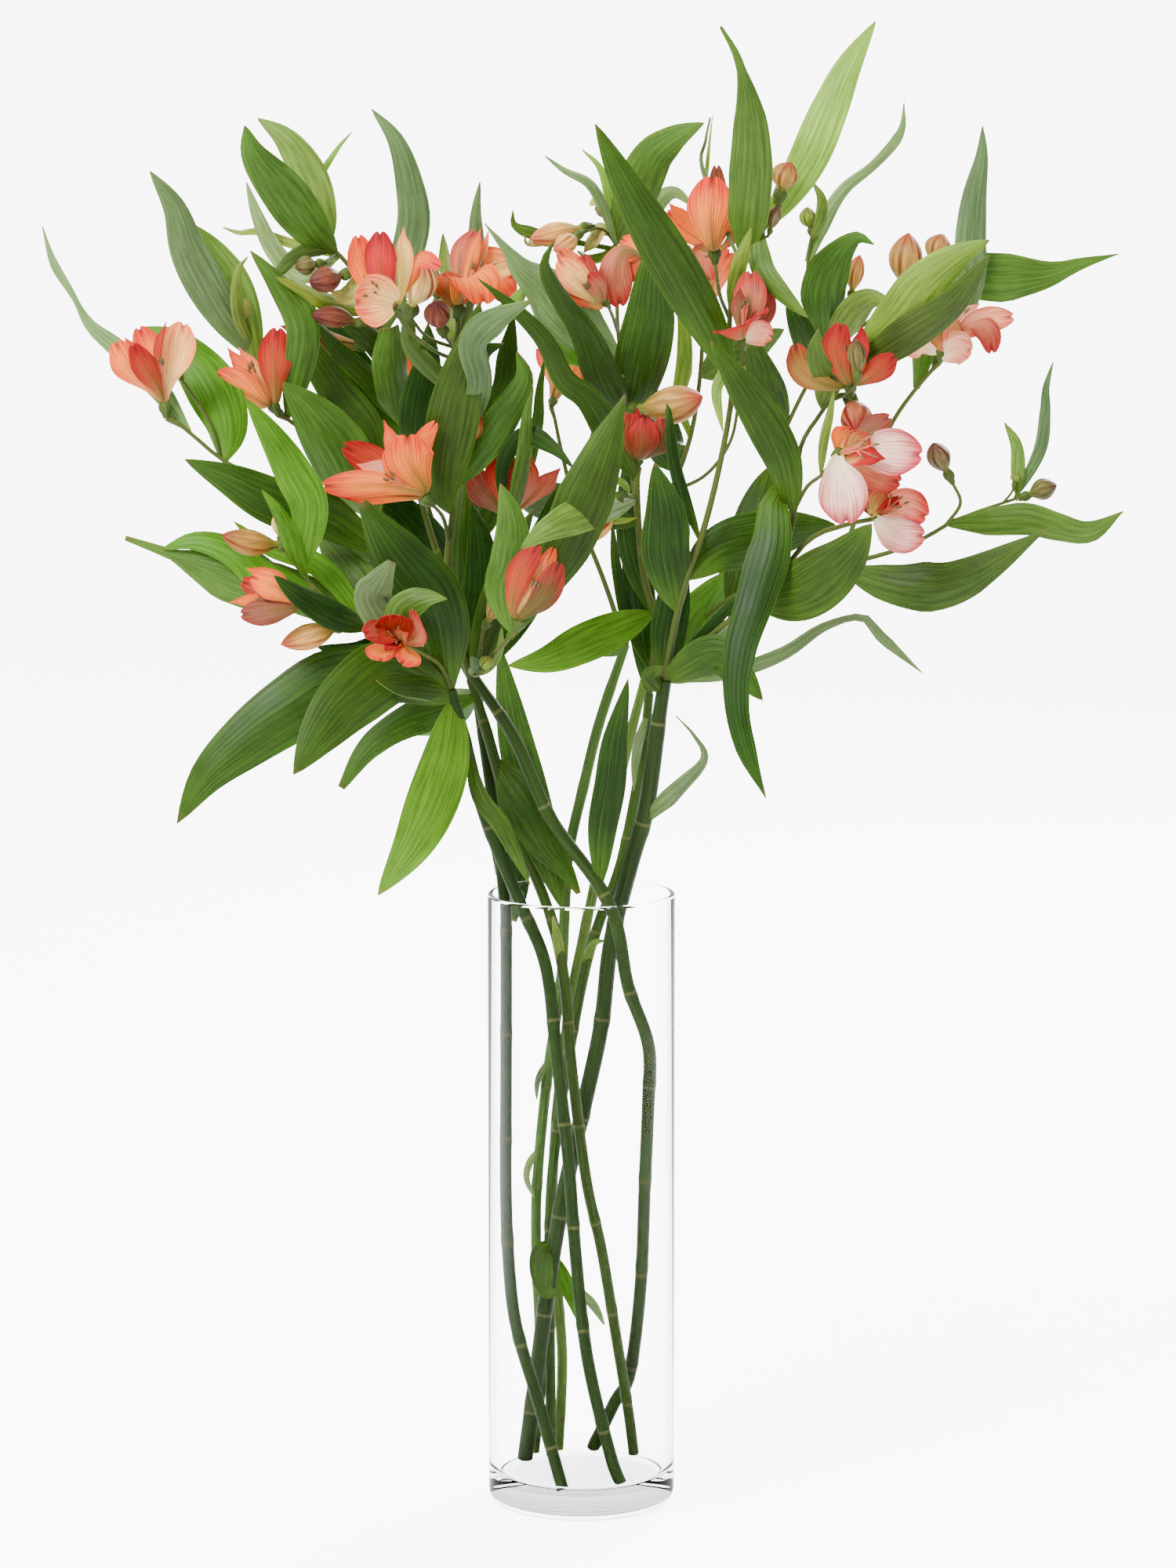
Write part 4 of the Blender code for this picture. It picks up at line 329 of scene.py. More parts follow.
# %% Note the flowers and buds
# Ray, base, aim as (across, down, depth), petal length in mm, opening and spin in degrees, and look
BLOOMS = {
    "bloom_01": Bloom("b_left", (212, 528), (194, 400, -48), 50, 34, 20, "coral"),
    "bloom_02": Bloom("c_left", (353, 525), (300, 435, -6), 48, 34, 0, "coral"),
    "bloom_03": Bloom("a_low", (464, 443), (405, 436, 50), 40, 30, 10, "red"),
    "bloom_04": Bloom("c_open", (507, 400), (458, 350, -84), 50, 55, 40, "pale"),
    "bloom_05": Bloom("c_up", (583, 402), (617, 320, -14), 49, 42, 5, "coral"),
    "bloom_06": Bloom("f_face", (775, 389), (725, 345, -36), 33, 32, 15, "coral"),
    "bloom_07": Bloom("f_side", (828, 329), (775, 345, 8), 33, 28, 0, "pale"),
    "bloom_08": Bloom("g_tall", (912, 331), (905, 240, -30), 47, 36, 30, "coral"),
    "bloom_09": Bloom("e_open", (1199, 458), (1216, 390, -20), 47, 64, 10, "pale"),
    "bloom_10": Bloom("g_cup", (1085, 501), (1076, 415, -66), 46, 44, 25, "red"),
    "bloom_11": Bloom("g_red", (947, 443), (952, 360, -76), 42, 34, 50, "coral"),
    "bloom_12": Bloom("c_fork", (550, 641), (470, 585, -52), 52, 36, 12, "coral"),
    "bloom_13": Bloom("b_side", (389, 769), (305, 758, -88), 40, 30, 35, "red"),
    "bloom_14": Bloom("b_front", (515, 822), (498, 812, -112), 38, 58, 15, "red"),
    "bloom_15": Bloom("h_cup", (650, 666), (656, 580, 0), 44, 40, 8, "red"),
    "bloom_16": Bloom("h_right", (660, 800), (706, 695, -92), 50, 26, 30, "red"),
    "bloom_17": Bloom("f_mid", (815, 592), (823, 535, -42), 30, 36, 0, "red"),
    "bloom_18": Bloom("g_white", (1066, 580), (1115, 565, -96), 46, 60, 55, "white"),
    "bloom_19": Bloom("g_wide", (1114, 661), (1150, 640, -66), 36, 56, 20, "white"),
    "bloom_20": Bloom("a_rear", (518, 555), (500, 500, 116), 44, 45, 0, "coral"),
    "bloom_21": Bloom("d_back", (896, 421), (890, 360, 92), 44, 45, 30, "coral"),
    "bloom_22": Bloom("d_left", (704, 516), (724, 456, 106), 36, 36, 15, "coral"),
}
# Ray, base and tip as (across, down, depth), width in mm, and look
BUDS = {
    "bud_01": Bud("a_rose", (448, 348), (395, 360, -12), 14, "wine"),
    "bud_02": Bud("a_wine", (465, 412), (397, 402, 0), 11.5, "wine"),
    "bud_03": Bud("a_olive", (413, 335), (376, 341, 2), 10.5, "olive"),
    "bud_04": Bud("c_pink", (522, 402), (541, 333, -34), 19, "cream"),
    "bud_05": Bud("c_round", (566, 426), (556, 386, -46), 14, "wine"),
    "bud_06": Bud("c_slim", (557, 392), (557, 344, 12), 10, "olive"),
    "bud_07": Bud("f_left", (752, 289), (676, 305, 12), 13, "peach"),
    "bud_08": Bud("g_bud", (992, 256), (1009, 207, -40), 14.5, "barred"),
    "bud_09": Bud("g_bud_low", (962, 300), (975, 247, -50), 11.5, "cream"),
    "bud_10": Bud("e_short", (1085, 380), (1097, 325, 0), 9.5, "peach"),
    "bud_11": Bud("e_fat", (1150, 376), (1159, 297, 4), 18, "barred"),
    "bud_12": Bud("e_dark", (1185, 348), (1203, 298, 32), 14.5, "barred"),
    "bud_13": Bud("b_stalk", (368, 697), (283, 682, -78), 13.5, "rose"),
    "bud_14": Bud("b_low", (440, 798), (358, 822, -72), 13.5, "peach"),
    "bud_15": Bud("c_twig", (591, 573), (613, 532, -30), 10.5, "rose"),
    "bud_16": Bud("h_up", (618, 800), (645, 754, -40), 10.5, "rose"),
    "bud_17": Bud("f_bract", (791, 632), (741, 690, -44), 16, "peach"),
    "bud_18": Bud("e_lift", (1213, 612), (1190, 565, -20), 12.5, "dusky"),
    "bud_19": Bud("e_far", (1302, 635), (1348, 619, -8), 11.5, "olive"),
    "bud_20": Bud("f_rose", (802, 525), (896, 506, -22), 20, "barred"),
    "bud_21": Bud("g_droop", (1084, 504), (1092, 552, -58), 17, "ember"),
    "bud_22": Bud("b_white", (357, 690), (352, 655, -54), 6, "cream"),
    "bud_23": Bud("a_rear_fork", (468, 589), (425, 575, 104), 13, "rose"),
    "bud_24": Bud("d_back_fork", (942, 503), (968, 465, 92), 13, "rose"),
    "bud_25": Bud("c_green", (325, 424), (321, 396, 35), 9.5, "green"),
    "bud_26": Bud("e_top", (1036, 300), (1030, 264, 22), 9.5, "green"),
    "bud_27": Bud("f_tiny", (775, 284), (766, 262, 42), 7, "dusky"),
    "bud_28": Bud("b_pale", (232, 484), (224, 462, -14), 7, "green"),
    "bud_29": Bud("g_bud_pair", (981, 298), (993, 262, -50), 6.5, "dusky"),
    "bud_30": Bud("f_pair", (742, 297), (706, 320, 8), 11, "peach"),
    "bud_31": Bud("f_knot", (797, 497), (798, 458, -4), 12.5, "barred"),
    "bud_32": Bud("f_knob", (782, 493), (760, 464, 2), 9, "green"),
    "bud_33": Bud("h_pod", (612, 858), (626, 838, -44), 7.5, "green"),
    "bud_34": Bud("e_end", (1293, 622), (1297, 603, -8), 6, "green"),
    "bud_35": Bud("g_knob", (1094, 482), (1090, 432, -80), 9.5, "olive"),
}
print("flowers:", len(BLOOMS), "and buds:", len(BUDS))

# %% [markdown]
# ## Leaves on paper
#
# A leaf is noted from its tip to its base. One number for its width means the usual slender shape, and a
# row of them gives the width at even steps. The lesser leaves are small or hidden ones, sheaths and
# withered bracts, which have no solid of their own.

# %% Note the leaves
# Ray, spine, depth of the tip, width in pixels, roll at tip and base in degrees, and tone
LEAVES = [Leaf(*row) for row in (
    ("b_left", ((54, 289), (68, 335), (92, 375), (115, 415), (150, 445), (205, 500), (240, 552)), -10,
        (0, 12, 6, 20, 30, 24, 6), (30, 10), "silver"),
    ("b_left", ((185, 417), (225, 440), (265, 485), (288, 540), (289, 588)), 0, 66, (20, 5), "lime"),
    ("b_left", ((236, 586), (290, 610), (350, 640), (410, 655), (482, 700)), -62, 62, (-15, 10), "dark"),
    ("c_green", ((191, 218), (222, 265), (240, 320), (275, 385), (326, 458)), -2, 50, (20, -10), "grey"),
    ("c_green", ((247, 286), (280, 325), (305, 370), (334, 470)), 38, 40, (-25, 10), "light"),
    ("c_green", ((316, 327), (303, 348), (303, 400), (326, 445)), 2, 15, (10, 10), "light"),
    ("c_left", ((319, 320), (352, 360), (382, 405), (385, 450), (370, 530)), -6, 42, (25, 10), "mid"),
    ("c_left", ((360, 488), (394, 525), (430, 572), (456, 620), (480, 662)), -10, 78, (10, -20), "mid"),
    ("c_left", ((400, 380), (395, 440), (430, 500), (470, 560), (485, 660)), 52, 50, (-20, 15), "dark"),
    ("a_main", ((314, 232), (328, 275), (350, 320), (385, 352), (432, 328)), 40, 24, (25, 10), "silver"),
    ("a_main", ((312, 160), (325, 200), (365, 250), (400, 295), (428, 324)), -20, 58, (15, -10), "mid"),
    ("a_main", ((329, 151), (365, 178), (395, 225), (412, 275), (420, 313)), 34, 45, (-15, 10), "light"),
    ("a_main", ((448, 169), (427, 195), (405, 240), (418, 310)), 58, 10, (10, 10), "pale"),
    ("a_main", ((284, 290), (305, 297), (330, 296), (370, 310), (434, 328)), 62, 12, (35, 10), "yellow"),
    ("a_main", ((350, 353), (385, 370), (420, 387), (476, 398)), -8, 22, (30, 20), "yellow"),
    ("a_main", ((358, 352), (382, 325), (424, 319)), -2, 15, (25, 20), "light"),
    ("a_main", ((474, 139), (505, 180), (522, 235), (527, 290), (505, 370), (484, 430)), 22, 42, (25, -20),
        "grey"),
    ("a_main", ((496, 416), (496, 460), (500, 492), (514, 540)), 12, (24, 44, 44, 8), (20, 10), "mid"),
    ("a_main", ((546, 412), (545, 460), (535, 520), (528, 605)), 8, 50, (15, -15), "shade"),
    ("a_main", ((398, 405), (432, 448), (470, 485), (513, 540)), 22, 28, (20, 10), "dark"),
    ("c_main", ((612, 232), (607, 270), (605, 330), (583, 445)), 24, 24, (30, 20), "grey"),
    ("c_main", ((565, 298), (568, 345), (572, 400), (584, 448)), 30, 26, (25, 20), "yellow"),
    ("c_main", ((612, 385), (600, 440), (580, 520), (565, 620), (577, 655)), -36, 65, (10, -15), "dark"),
    ("c_main", ((676, 357), (650, 393), (615, 420), (600, 460), (603, 515)), -34, 34, (30, 10), "pale"),
    ("c_main", ((655, 400), (648, 450), (640, 500), (603, 540)), 14, 30, (25, 10), "dark"),
    ("c_main", ((659, 448), (668, 485), (640, 535), (610, 580), (582, 620)), -48, 42, (20, -10), "mid"),
    ("c_main", ((585, 521), (568, 560), (577, 625)), -16, 26, (20, 10), "mid"),
    ("c_main", ((458, 785), (515, 745), (574, 772)), -44, (0, 50, 8), (20, 10), "grey"),
    ("c", ((600, 640), (612, 690), (615, 760), (602, 868)), 2, 50, (20, -20), "shade"),
    ("c", ((435, 1005), (470, 955), (520, 920), (605, 885)), -16, (8, 34, 45, 8), (30, 20), "mid"),
    ("h_cup", ((695, 454), (688, 500), (683, 552), (650, 680)), 16, 18, (25, 10), "mid"),
    ("h_cup", ((680, 493), (672, 530), (668, 580), (650, 676)), -6, 20, (20, 10), "mid"),
    ("h_cup", ((735, 600), (704, 570), (668, 556), (640, 600), (648, 695)), -22, (0, 24, 20, 8, 5),
        (20, 10), "shade"),
    ("h_right", ((638, 617), (652, 665), (651, 715), (642, 755), (654, 808)), -66, 50, (15, -15), "mid"),
    ("h_right", ((797, 503), (770, 575), (746, 636), (726, 684), (698, 738), (646, 812)), -64,
        (0, 44, 72, 66, 36, 8), (15, 0), "dark"),
    ("h", ((680, 650), (660, 690), (640, 740), (604, 864)), -40, 40, (25, 0), "dark"),
    ("b", ((462, 640), (476, 664), (506, 708), (560, 780), (577, 882)), -84, (10, 62, 80, 60, 8), (5, -10),
        "shade"),
    ("b", ((405, 825), (450, 835), (500, 835), (575, 880)), -30, 45, (20, -20), "shade"),
    ("b", ((226, 1050), (264, 990), (318, 942), (374, 902), (430, 868), (520, 854), (576, 882)), -66, 84,
        (15, -25), "dark"),
    ("b", ((374, 988), (408, 936), (450, 888), (505, 856), (578, 886)), -104, 84, (-15, 15), "dark"),
    ("b", ((480, 868), (510, 875), (577, 884)), -64, 30, (30, 20), "dark"),
    ("b", ((482, 1142), (525, 1080), (552, 1020), (570, 960), (580, 895)), -66, 66, (15, -20), "lime"),
    ("b_low", ((349, 734), (380, 760), (425, 785), (473, 802)), -96, 35, (20, 10), "shade"),
    ("b_low", ((160, 686), (205, 702), (258, 722), (326, 746), (400, 762), (468, 801)), -34,
        (6, 14, 64, 66, 40, 6), (-20, 15), "mid"),
    ("b_low", ((207, 700), (250, 690), (300, 706), (350, 745), (455, 800)), -10, 44, (30, 0), "lime"),
    ("b_low", ((298, 665), (340, 698), (395, 715), (430, 745), (470, 802)), -44, 28, (20, 10), "lime"),
    ("b_low", ((405, 680), (440, 725), (485, 804)), -14, 56, (-20, 10), "mid"),
    ("b_stalk", ((313, 508), (345, 555), (375, 605), (395, 650), (385, 726)), -98, 48, (20, -10), "lime"),
    ("b_stalk", ((334, 625), (358, 660), (392, 738)), -92, 22, (20, 10), "lime"),
    ("b", ((676, 1128), (640, 1055), (612, 1015), (596, 955)), -54, 22, (20, 10), "dark"),
    ("c", ((738, 1140), (722, 1112), (697, 1078), (668, 1022), (632, 968)), -36, (6, 30, 56, 58, 8),
        (-15, 10), "dark"),
    ("a", ((648, 1182), (656, 1135), (646, 1075), (622, 990)), -12, (14, 44, 42, 8), (15, -10), "shade"),
    ("d", ((637, 822), (650, 900), (664, 970), (690, 1050), (723, 1112)), 4, 48, (-15, 10), "mid"),
    ("h", ((801, 866), (785, 940), (778, 1000), (768, 1060), (762, 1126)), -46, 40, (15, 0), "shade"),
    ("g_high", ((759, 158), (795, 230), (835, 300), (880, 375), (915, 440), (933, 485)), -88, 58, (15, -10),
        "dark"),
    ("g_high", ((919, 34), (940, 72), (953, 125), (958, 180), (957, 240), (950, 335)), -58,
        (3, 12, 42, 54, 50, 8), (20, -10), "mid"),
    ("g_high", ((958, 290), (942, 340), (932, 395)), -68, 20, (20, 10), "yellow"),
    ("g_bud", ((1117, 27), (1082, 85), (1058, 140), (1032, 200), (1003, 250), (974, 291)), -6, 50,
        (-20, 15), "pale"),
    ("g_bud", ((1030, 405), (995, 370), (972, 340), (966, 300), (978, 286)), -66, 28, (25, 20), "mid"),
    ("g_high", ((922, 550), (914, 500), (925, 470), (932, 430)), -66, 14, (20, 10), "yellow"),
    ("g_high", ((835, 590), (848, 650), (850, 710), (866, 778)), -60, 60, (-15, 10), "shade"),
    ("g_high", ((851, 532), (852, 520), (862, 600), (893, 688)), -22, 16, (30, 10), "shade"),
    ("g_high", ((1065, 669), (990, 680), (920, 700), (876, 740)), -20, 66, (20, -15), "dark"),
    ("f_up", ((618, 285), (645, 318), (665, 345), (690, 365), (720, 395), (750, 425), (793, 462)), -26,
        (0, 12, 38, 70, 66, 42, 8), (25, 0), "silver"),
    ("f_up", ((654, 268), (657, 288), (690, 300), (786, 318)), 22, (0, 16, 10, 6, 6), (30, 10), "mid"),
    ("f_up", ((695, 199), (720, 218), (752, 235), (772, 270), (787, 316)), -4, 13, (25, 10), "silver"),
    ("f_up", ((742, 190), (770, 225), (787, 320)), 28, 12, (20, 10), "pale"),
    ("f_up", ((898, 157), (856, 180), (826, 212), (787, 312)), -36, 56, (-20, 10), "mid"),
    ("f_up", ((885, 262), (850, 248), (788, 325)), 34, 25, (20, 10), "silver"),
    ("g_tall", ((909, 147), (903, 200), (898, 270), (913, 345)), -6, 6, (10, 10), "pale"),
    ("f_up", ((838, 298), (833, 350), (830, 400), (820, 450), (801, 545)), -62, 68, (-15, 10), "dark"),
    ("f_up", ((805, 407), (800, 440), (796, 490)), -28, 18, (25, 10), "yellow"),
    ("f_up", ((708, 305), (694, 338), (712, 378), (745, 425), (768, 480), (800, 545)), -48,
        (0, 20, 28, 44, 46, 8), (20, -10), "dark"),
    ("f_mid", ((609, 355), (655, 393), (695, 435), (720, 485), (755, 515), (812, 612)), -76,
        (0, 18, 26, 30, 44, 8), (20, 0), "dark"),
    ("f_mid", ((692, 688), (720, 675), (760, 660), (815, 668)), -46, 32, (20, 10), "dark"),
    ("f_mid", ((648, 849), (700, 840), (750, 818), (832, 782)), -52, 50, (-20, 10), "lime"),
    ("f_mid", ((780, 660), (787, 730), (800, 790), (830, 858)), 8, 15, (45, 40), "dark"),
    ("f", ((808, 1010), (812, 960), (827, 905)), -20, 12, (20, 10), "grey"),
    ("g", ((862, 913), (885, 938), (898, 968), (865, 1005), (820, 1048)), -54, (0, 5, 16, 22, 8), (20, 10),
        "grey"),
    ("g", ((973, 893), (945, 860), (910, 835), (850, 866)), -60, 50, (15, 20), "dark"),
    ("g", ((1176, 858), (1124, 812), (1099, 787), (1050, 800), (1000, 833), (930, 858), (850, 868)), -12,
        (0, 14, 8, 14, 18, 16, 6), (30, 10), "grey"),
    ("g_mid", ((977, 1018), (953, 960), (940, 900), (944, 830), (965, 760), (985, 690), (988, 632),
        (1014, 648)), -104, (0, 24, 30, 40, 46, 54, 40, 8), (10, 15), "shade"),
    ("e_high", ((930, 790), (945, 730), (965, 660), (984, 594)), 2, 56, (20, -10), "dark"),
    ("g_mid", ((906, 435), (940, 485), (975, 540), (1000, 590), (1013, 655)), -76, 50, (15, -10), "dark"),
    ("e_high", ((955, 425), (972, 475), (1000, 550)), 6, 44, (-15, 10), "olive"),
    ("g_wide", ((1112, 668), (1070, 718), (1020, 755), (962, 765)), -92, 76, (15, -10), "dark"),
    ("e_high", ((1003, 380), (1020, 415), (1045, 465)), -8, 36, (20, 10), "dark"),
    ("e_top", ((1036, 232), (1048, 255), (1045, 285), (1034, 305)), 8, 14, (20, 10), "light"),
    ("e_top", ((1153, 131), (1148, 170), (1115, 210), (1075, 243), (1047, 290), (1032, 335)), 40,
        (0, 13, 11, 15, 20, 8), (20, 10), "silver"),
    ("e_high", ((1115, 312), (1092, 303), (1065, 330), (1050, 370), (1052, 410), (1057, 446)), -26,
        (0, 26, 52, 56, 34, 8), (15, 0), "mid"),
    ("e_high", ((1140, 384), (1100, 385), (1060, 440)), -24, 38, (20, 10), "light"),
    ("g_mid", ((1262, 306), (1220, 328), (1175, 365), (1145, 405), (1088, 468)), -60, 58, (15, -10),
        "yellow"),
    ("g_mid", ((1262, 325), (1215, 385), (1160, 425), (1080, 480)), -26, 45, (30, 10), "olive"),
    ("e_open", ((1253, 161), (1252, 200), (1243, 250), (1238, 300), (1233, 370), (1190, 470)), 36, 40,
        (20, 10), "grey"),
    ("e_open", ((1427, 324), (1380, 336), (1335, 350), (1280, 354), (1203, 364), (1170, 495)), 52,
        (0, 22, 62, 58, 44, 8), (-20, 10), "mid"),
    ("g_mid", ((1045, 430), (1058, 470), (1050, 522)), -66, 34, (20, 10), "light"),
    ("e_right", ((1335, 675), (1260, 722), (1210, 745), (1160, 748), (1110, 738), (1070, 722)), -44,
        (0, 26, 50, 64, 44, 8), (15, -10), "olive"),
    ("e_right", ((1433, 652), (1390, 678), (1350, 672), (1310, 662), (1265, 665), (1208, 669)), -30,
        (0, 26, 36, 40, 34, 8), (20, 10), "mid"),
    ("e_far", ((1281, 539), (1297, 572), (1298, 636)), 2, 18, (20, 10), "light"),
    ("e_far", ((1343, 462), (1334, 495), (1333, 525), (1326, 575), (1294, 637)), 14, 16, (30, 10), "grey"),
    ("a_rear", ((690, 730), (660, 760), (625, 780), (592, 790)), 128, 56, (20, 10), "dark"),
    ("a_rear", ((640, 590), (620, 640), (590, 680), (560, 690)), 122, 54, (-20, 10), "dark"),
    ("a_rear", ((430, 700), (470, 720), (530, 730), (578, 740)), 112, 56, (20, 10), "dark"),
    ("a_rear", ((560, 470), (555, 520), (545, 570), (527, 585)), 132, 50, (20, -10), "dark"),
    ("a", ((480, 930), (530, 915), (575, 905), (607, 885)), 96, 54, (20, 10), "grey"),
    ("d_back", ((820, 480), (835, 530), (855, 580), (876, 570)), 128, 52, (-20, 10), "shade"),
    ("d_back", ((1000, 420), (965, 440), (925, 460), (893, 480)), 118, 50, (20, 10), "mid"),
    ("d_back", ((868, 640), (862, 680), (842, 705), (811, 725)), 124, 50, (20, 10), "dark"),
    ("d_left", ((660, 640), (690, 640), (715, 640), (733, 645)), 136, 48, (20, 10), "dark"),
    ("d_left", ((790, 470), (778, 520), (764, 580), (738, 655)), 128, 36, (-20, 10), "olive"),
    ("d", ((712, 824), (738, 826), (768, 822), (797, 832)), 104, 36, (20, 10), "grey"),
)]
LESSER_LEAVES = [Leaf(*row) for row in (
    ("g", ((932, 728), (905, 764), (880, 805), (852, 862)), 34, 60, (20, -10), "lime"),
    ("g", ((964, 792), (928, 812), (892, 836), (852, 864)), 30, 54, (-20, 10), "lime"),
    ("f", ((797, 668), (806, 720), (818, 780), (830, 860)), 18, 38, (15, 10), "shade"),
    ("g", ((870, 700), (860, 760), (852, 812), (846, 864)), -22, 46, (15, -10), "shade"),
    ("g", ((962, 742), (932, 772), (895, 812), (856, 866)), -44, 16, (20, 0), "shade"),
    ("a_main", ((398, 392), (428, 440), (460, 495), (500, 560)), 62, 64, (-15, 10), "shade"),
    ("c_main", ((512, 368), (520, 408), (530, 450), (548, 520)), 22, 24, (20, 10), "olive"),
    ("c_main", ((642, 438), (616, 450), (610, 480), (636, 520)), -30, 26, (35, 30), "shade"),
    ("a_rear", ((440, 640), (490, 650), (530, 690), (575, 760)), 40, 76, (10, -10), "shade"),
    ("c", ((600, 560), (594, 640), (590, 730), (598, 850)), 34, 46, (15, 10), "dark"),
    ("h", ((712, 620), (694, 690), (664, 760), (614, 860)), 16, 60, (20, -10), "shade"),
    ("f_mid", ((800, 575), (800, 640), (806, 700), (820, 790)), 22, 34, (20, 10), "shade"),
    ("d_back", ((866, 390), (873, 430), (872, 470), (866, 510), (884, 560)), 62, (6, 18, 22, 14, 6),
        (15, 10), "yellow"),
    ("g_white", ((1064, 496), (1058, 530), (1050, 566), (1046, 606)), -66, 12, (20, 10), "light"),
    ("f_up", ((700, 428), (722, 444), (750, 456), (793, 466)), 30, (6, 36, 26, 8), (35, 20), "lime"),
    ("c", ((716, 1158), (703, 1112), (682, 1060), (650, 990)), -16, 42, (10, -10), "dark"),
    ("f_mid", ((664, 700), (700, 676), (752, 652), (800, 636)), -112, 44, (20, 10), "light"),
    ("f_bract", ((760, 618), (782, 612), (798, 620), (800, 636)), -36, 9, (40, 20), "yellow"),
    ("f_bract", ((812, 660), (795, 664), (780, 660), (795, 640)), -42, 9, (40, 20), "yellow"),
    ("c", ((705, 1170), (710, 1196), (718, 1238)), -14, 13, (25, 10), "light"),
    ("f", ((772, 1202), (756, 1208), (744, 1236)), 2, 12, (30, 10), "light"),
    ("d", ((684, 1405), (686, 1380), (699, 1350)), 20, 8, (40, 20), "grey"),
    ("d", ((681, 1530), (671, 1505), (676, 1483), (686, 1470)), 22, 9, (40, 20), "silver"),
    ("b", ((771, 1690), (759, 1668), (742, 1645)), -30, 11, (30, 10), "grey"),
    ("f", ((737, 1686), (727, 1650), (708, 1600)), 20, 21, (20, 15), "lime"),
    ("g", ((714, 1648), (696, 1646), (690, 1600), (706, 1590)), -8, 30, (10, 10), "dark"),
    ("h_up", ((600, 838), (606, 850), (604, 864)), -40, 16, (30, 20), "grey"),
    ("h", ((640, 800), (636, 830), (622, 852), (606, 866)), -36, 12, (30, 10), "light"),
    ("g", ((845, 850), (830, 862), (812, 876)), -44, 24, (20, 20), "dark"),
    ("g_high", ((906, 150), (900, 180), (897, 220), (912, 330)), -10, (2, 5, 5, 4), (10, 10), "grey"),
    ("f_left", ((672, 312), (690, 302), (706, 308)), 8, 11, (50, 30), "withered"),
    ("f_left", ((745, 322), (758, 306), (766, 292), (776, 300)), 30, 18, (60, 20), "withered"),
    ("f_left", ((736, 320), (752, 330), (772, 326), (784, 312)), 34, 12, (50, 20), "yellow"),
    ("f_tiny", ((752, 262), (762, 258), (776, 272)), 42, 16, (50, 10), "withered"),
    ("f_tiny", ((785, 262), (782, 272), (775, 282)), 40, 13, (40, 10), "withered"),
    ("a_main", ((344, 360), (372, 330), (400, 318), (424, 322)), 0, 18, (40, 20), "olive"),
    ("e_high", ((1082, 474), (1088, 452), (1072, 440)), 12, 12, (40, 10), "yellow"),
    ("e_high", ((1112, 426), (1098, 436), (1064, 444)), 14, 9, (40, 10), "olive"),
    ("c_green", ((311, 380), (316, 392), (326, 425)), 26, 14, (40, 10), "withered"),
    ("b", ((474, 828), (500, 838), (540, 850), (577, 880)), -70, 34, (20, 10), "dark"),
    ("f_left", ((668, 300), (680, 312), (700, 306)), 14, 9, (50, 30), "withered"),
    ("g_mid", ((1044, 420), (1040, 450), (1052, 480), (1062, 506)), -88, 28, (10, -20), "mid"),
    ("b_front", ((500, 716), (484, 742), (476, 768), (500, 826)), -92, (10, 44, 50, 8), (20, 20), "grey"),
    ("b_front", ((570, 764), (542, 764), (512, 780), (512, 826)), -94, (0, 34, 40, 8), (-20, 20), "mid"),
    ("b", ((560, 700), (556, 760), (560, 820), (577, 878)), -54, 40, (10, 10), "shade"),
    ("c_main", ((676, 384), (630, 408), (603, 440), (612, 492), (590, 560)), -96, (4, 36, 34, 26, 8),
        (30, 20), "grey"),
    ("a_rose", ((422, 372), (436, 378), (450, 372), (454, 352)), 0, 26, (20, 10), "withered"),
    ("a_main", ((434, 410), (458, 424), (480, 440), (500, 470)), 30, 32, (20, 10), "olive"),
)]
print("leaves:", len(LEAVES), "and", len(LESSER_LEAVES), "lesser ones")

# %% [markdown]
# ## How single petals are noted down
#
# No two flowers are open alike: petals fold over, curl back or stay rolled. So each petal of the nearer
# flowers is noted by itself: its ring, its width in pixels, how far it is turned, its colours, and its
# middle line from the throat to the tip. A turn of 0 shows its inner face and 180 its back. The third
# number of each place is how many millimetres it stands behind the flower's foot, or before it where it is
# less than nothing.

# %% Note the petals
Petal = namedtuple("Petal", "ring width turn look path")

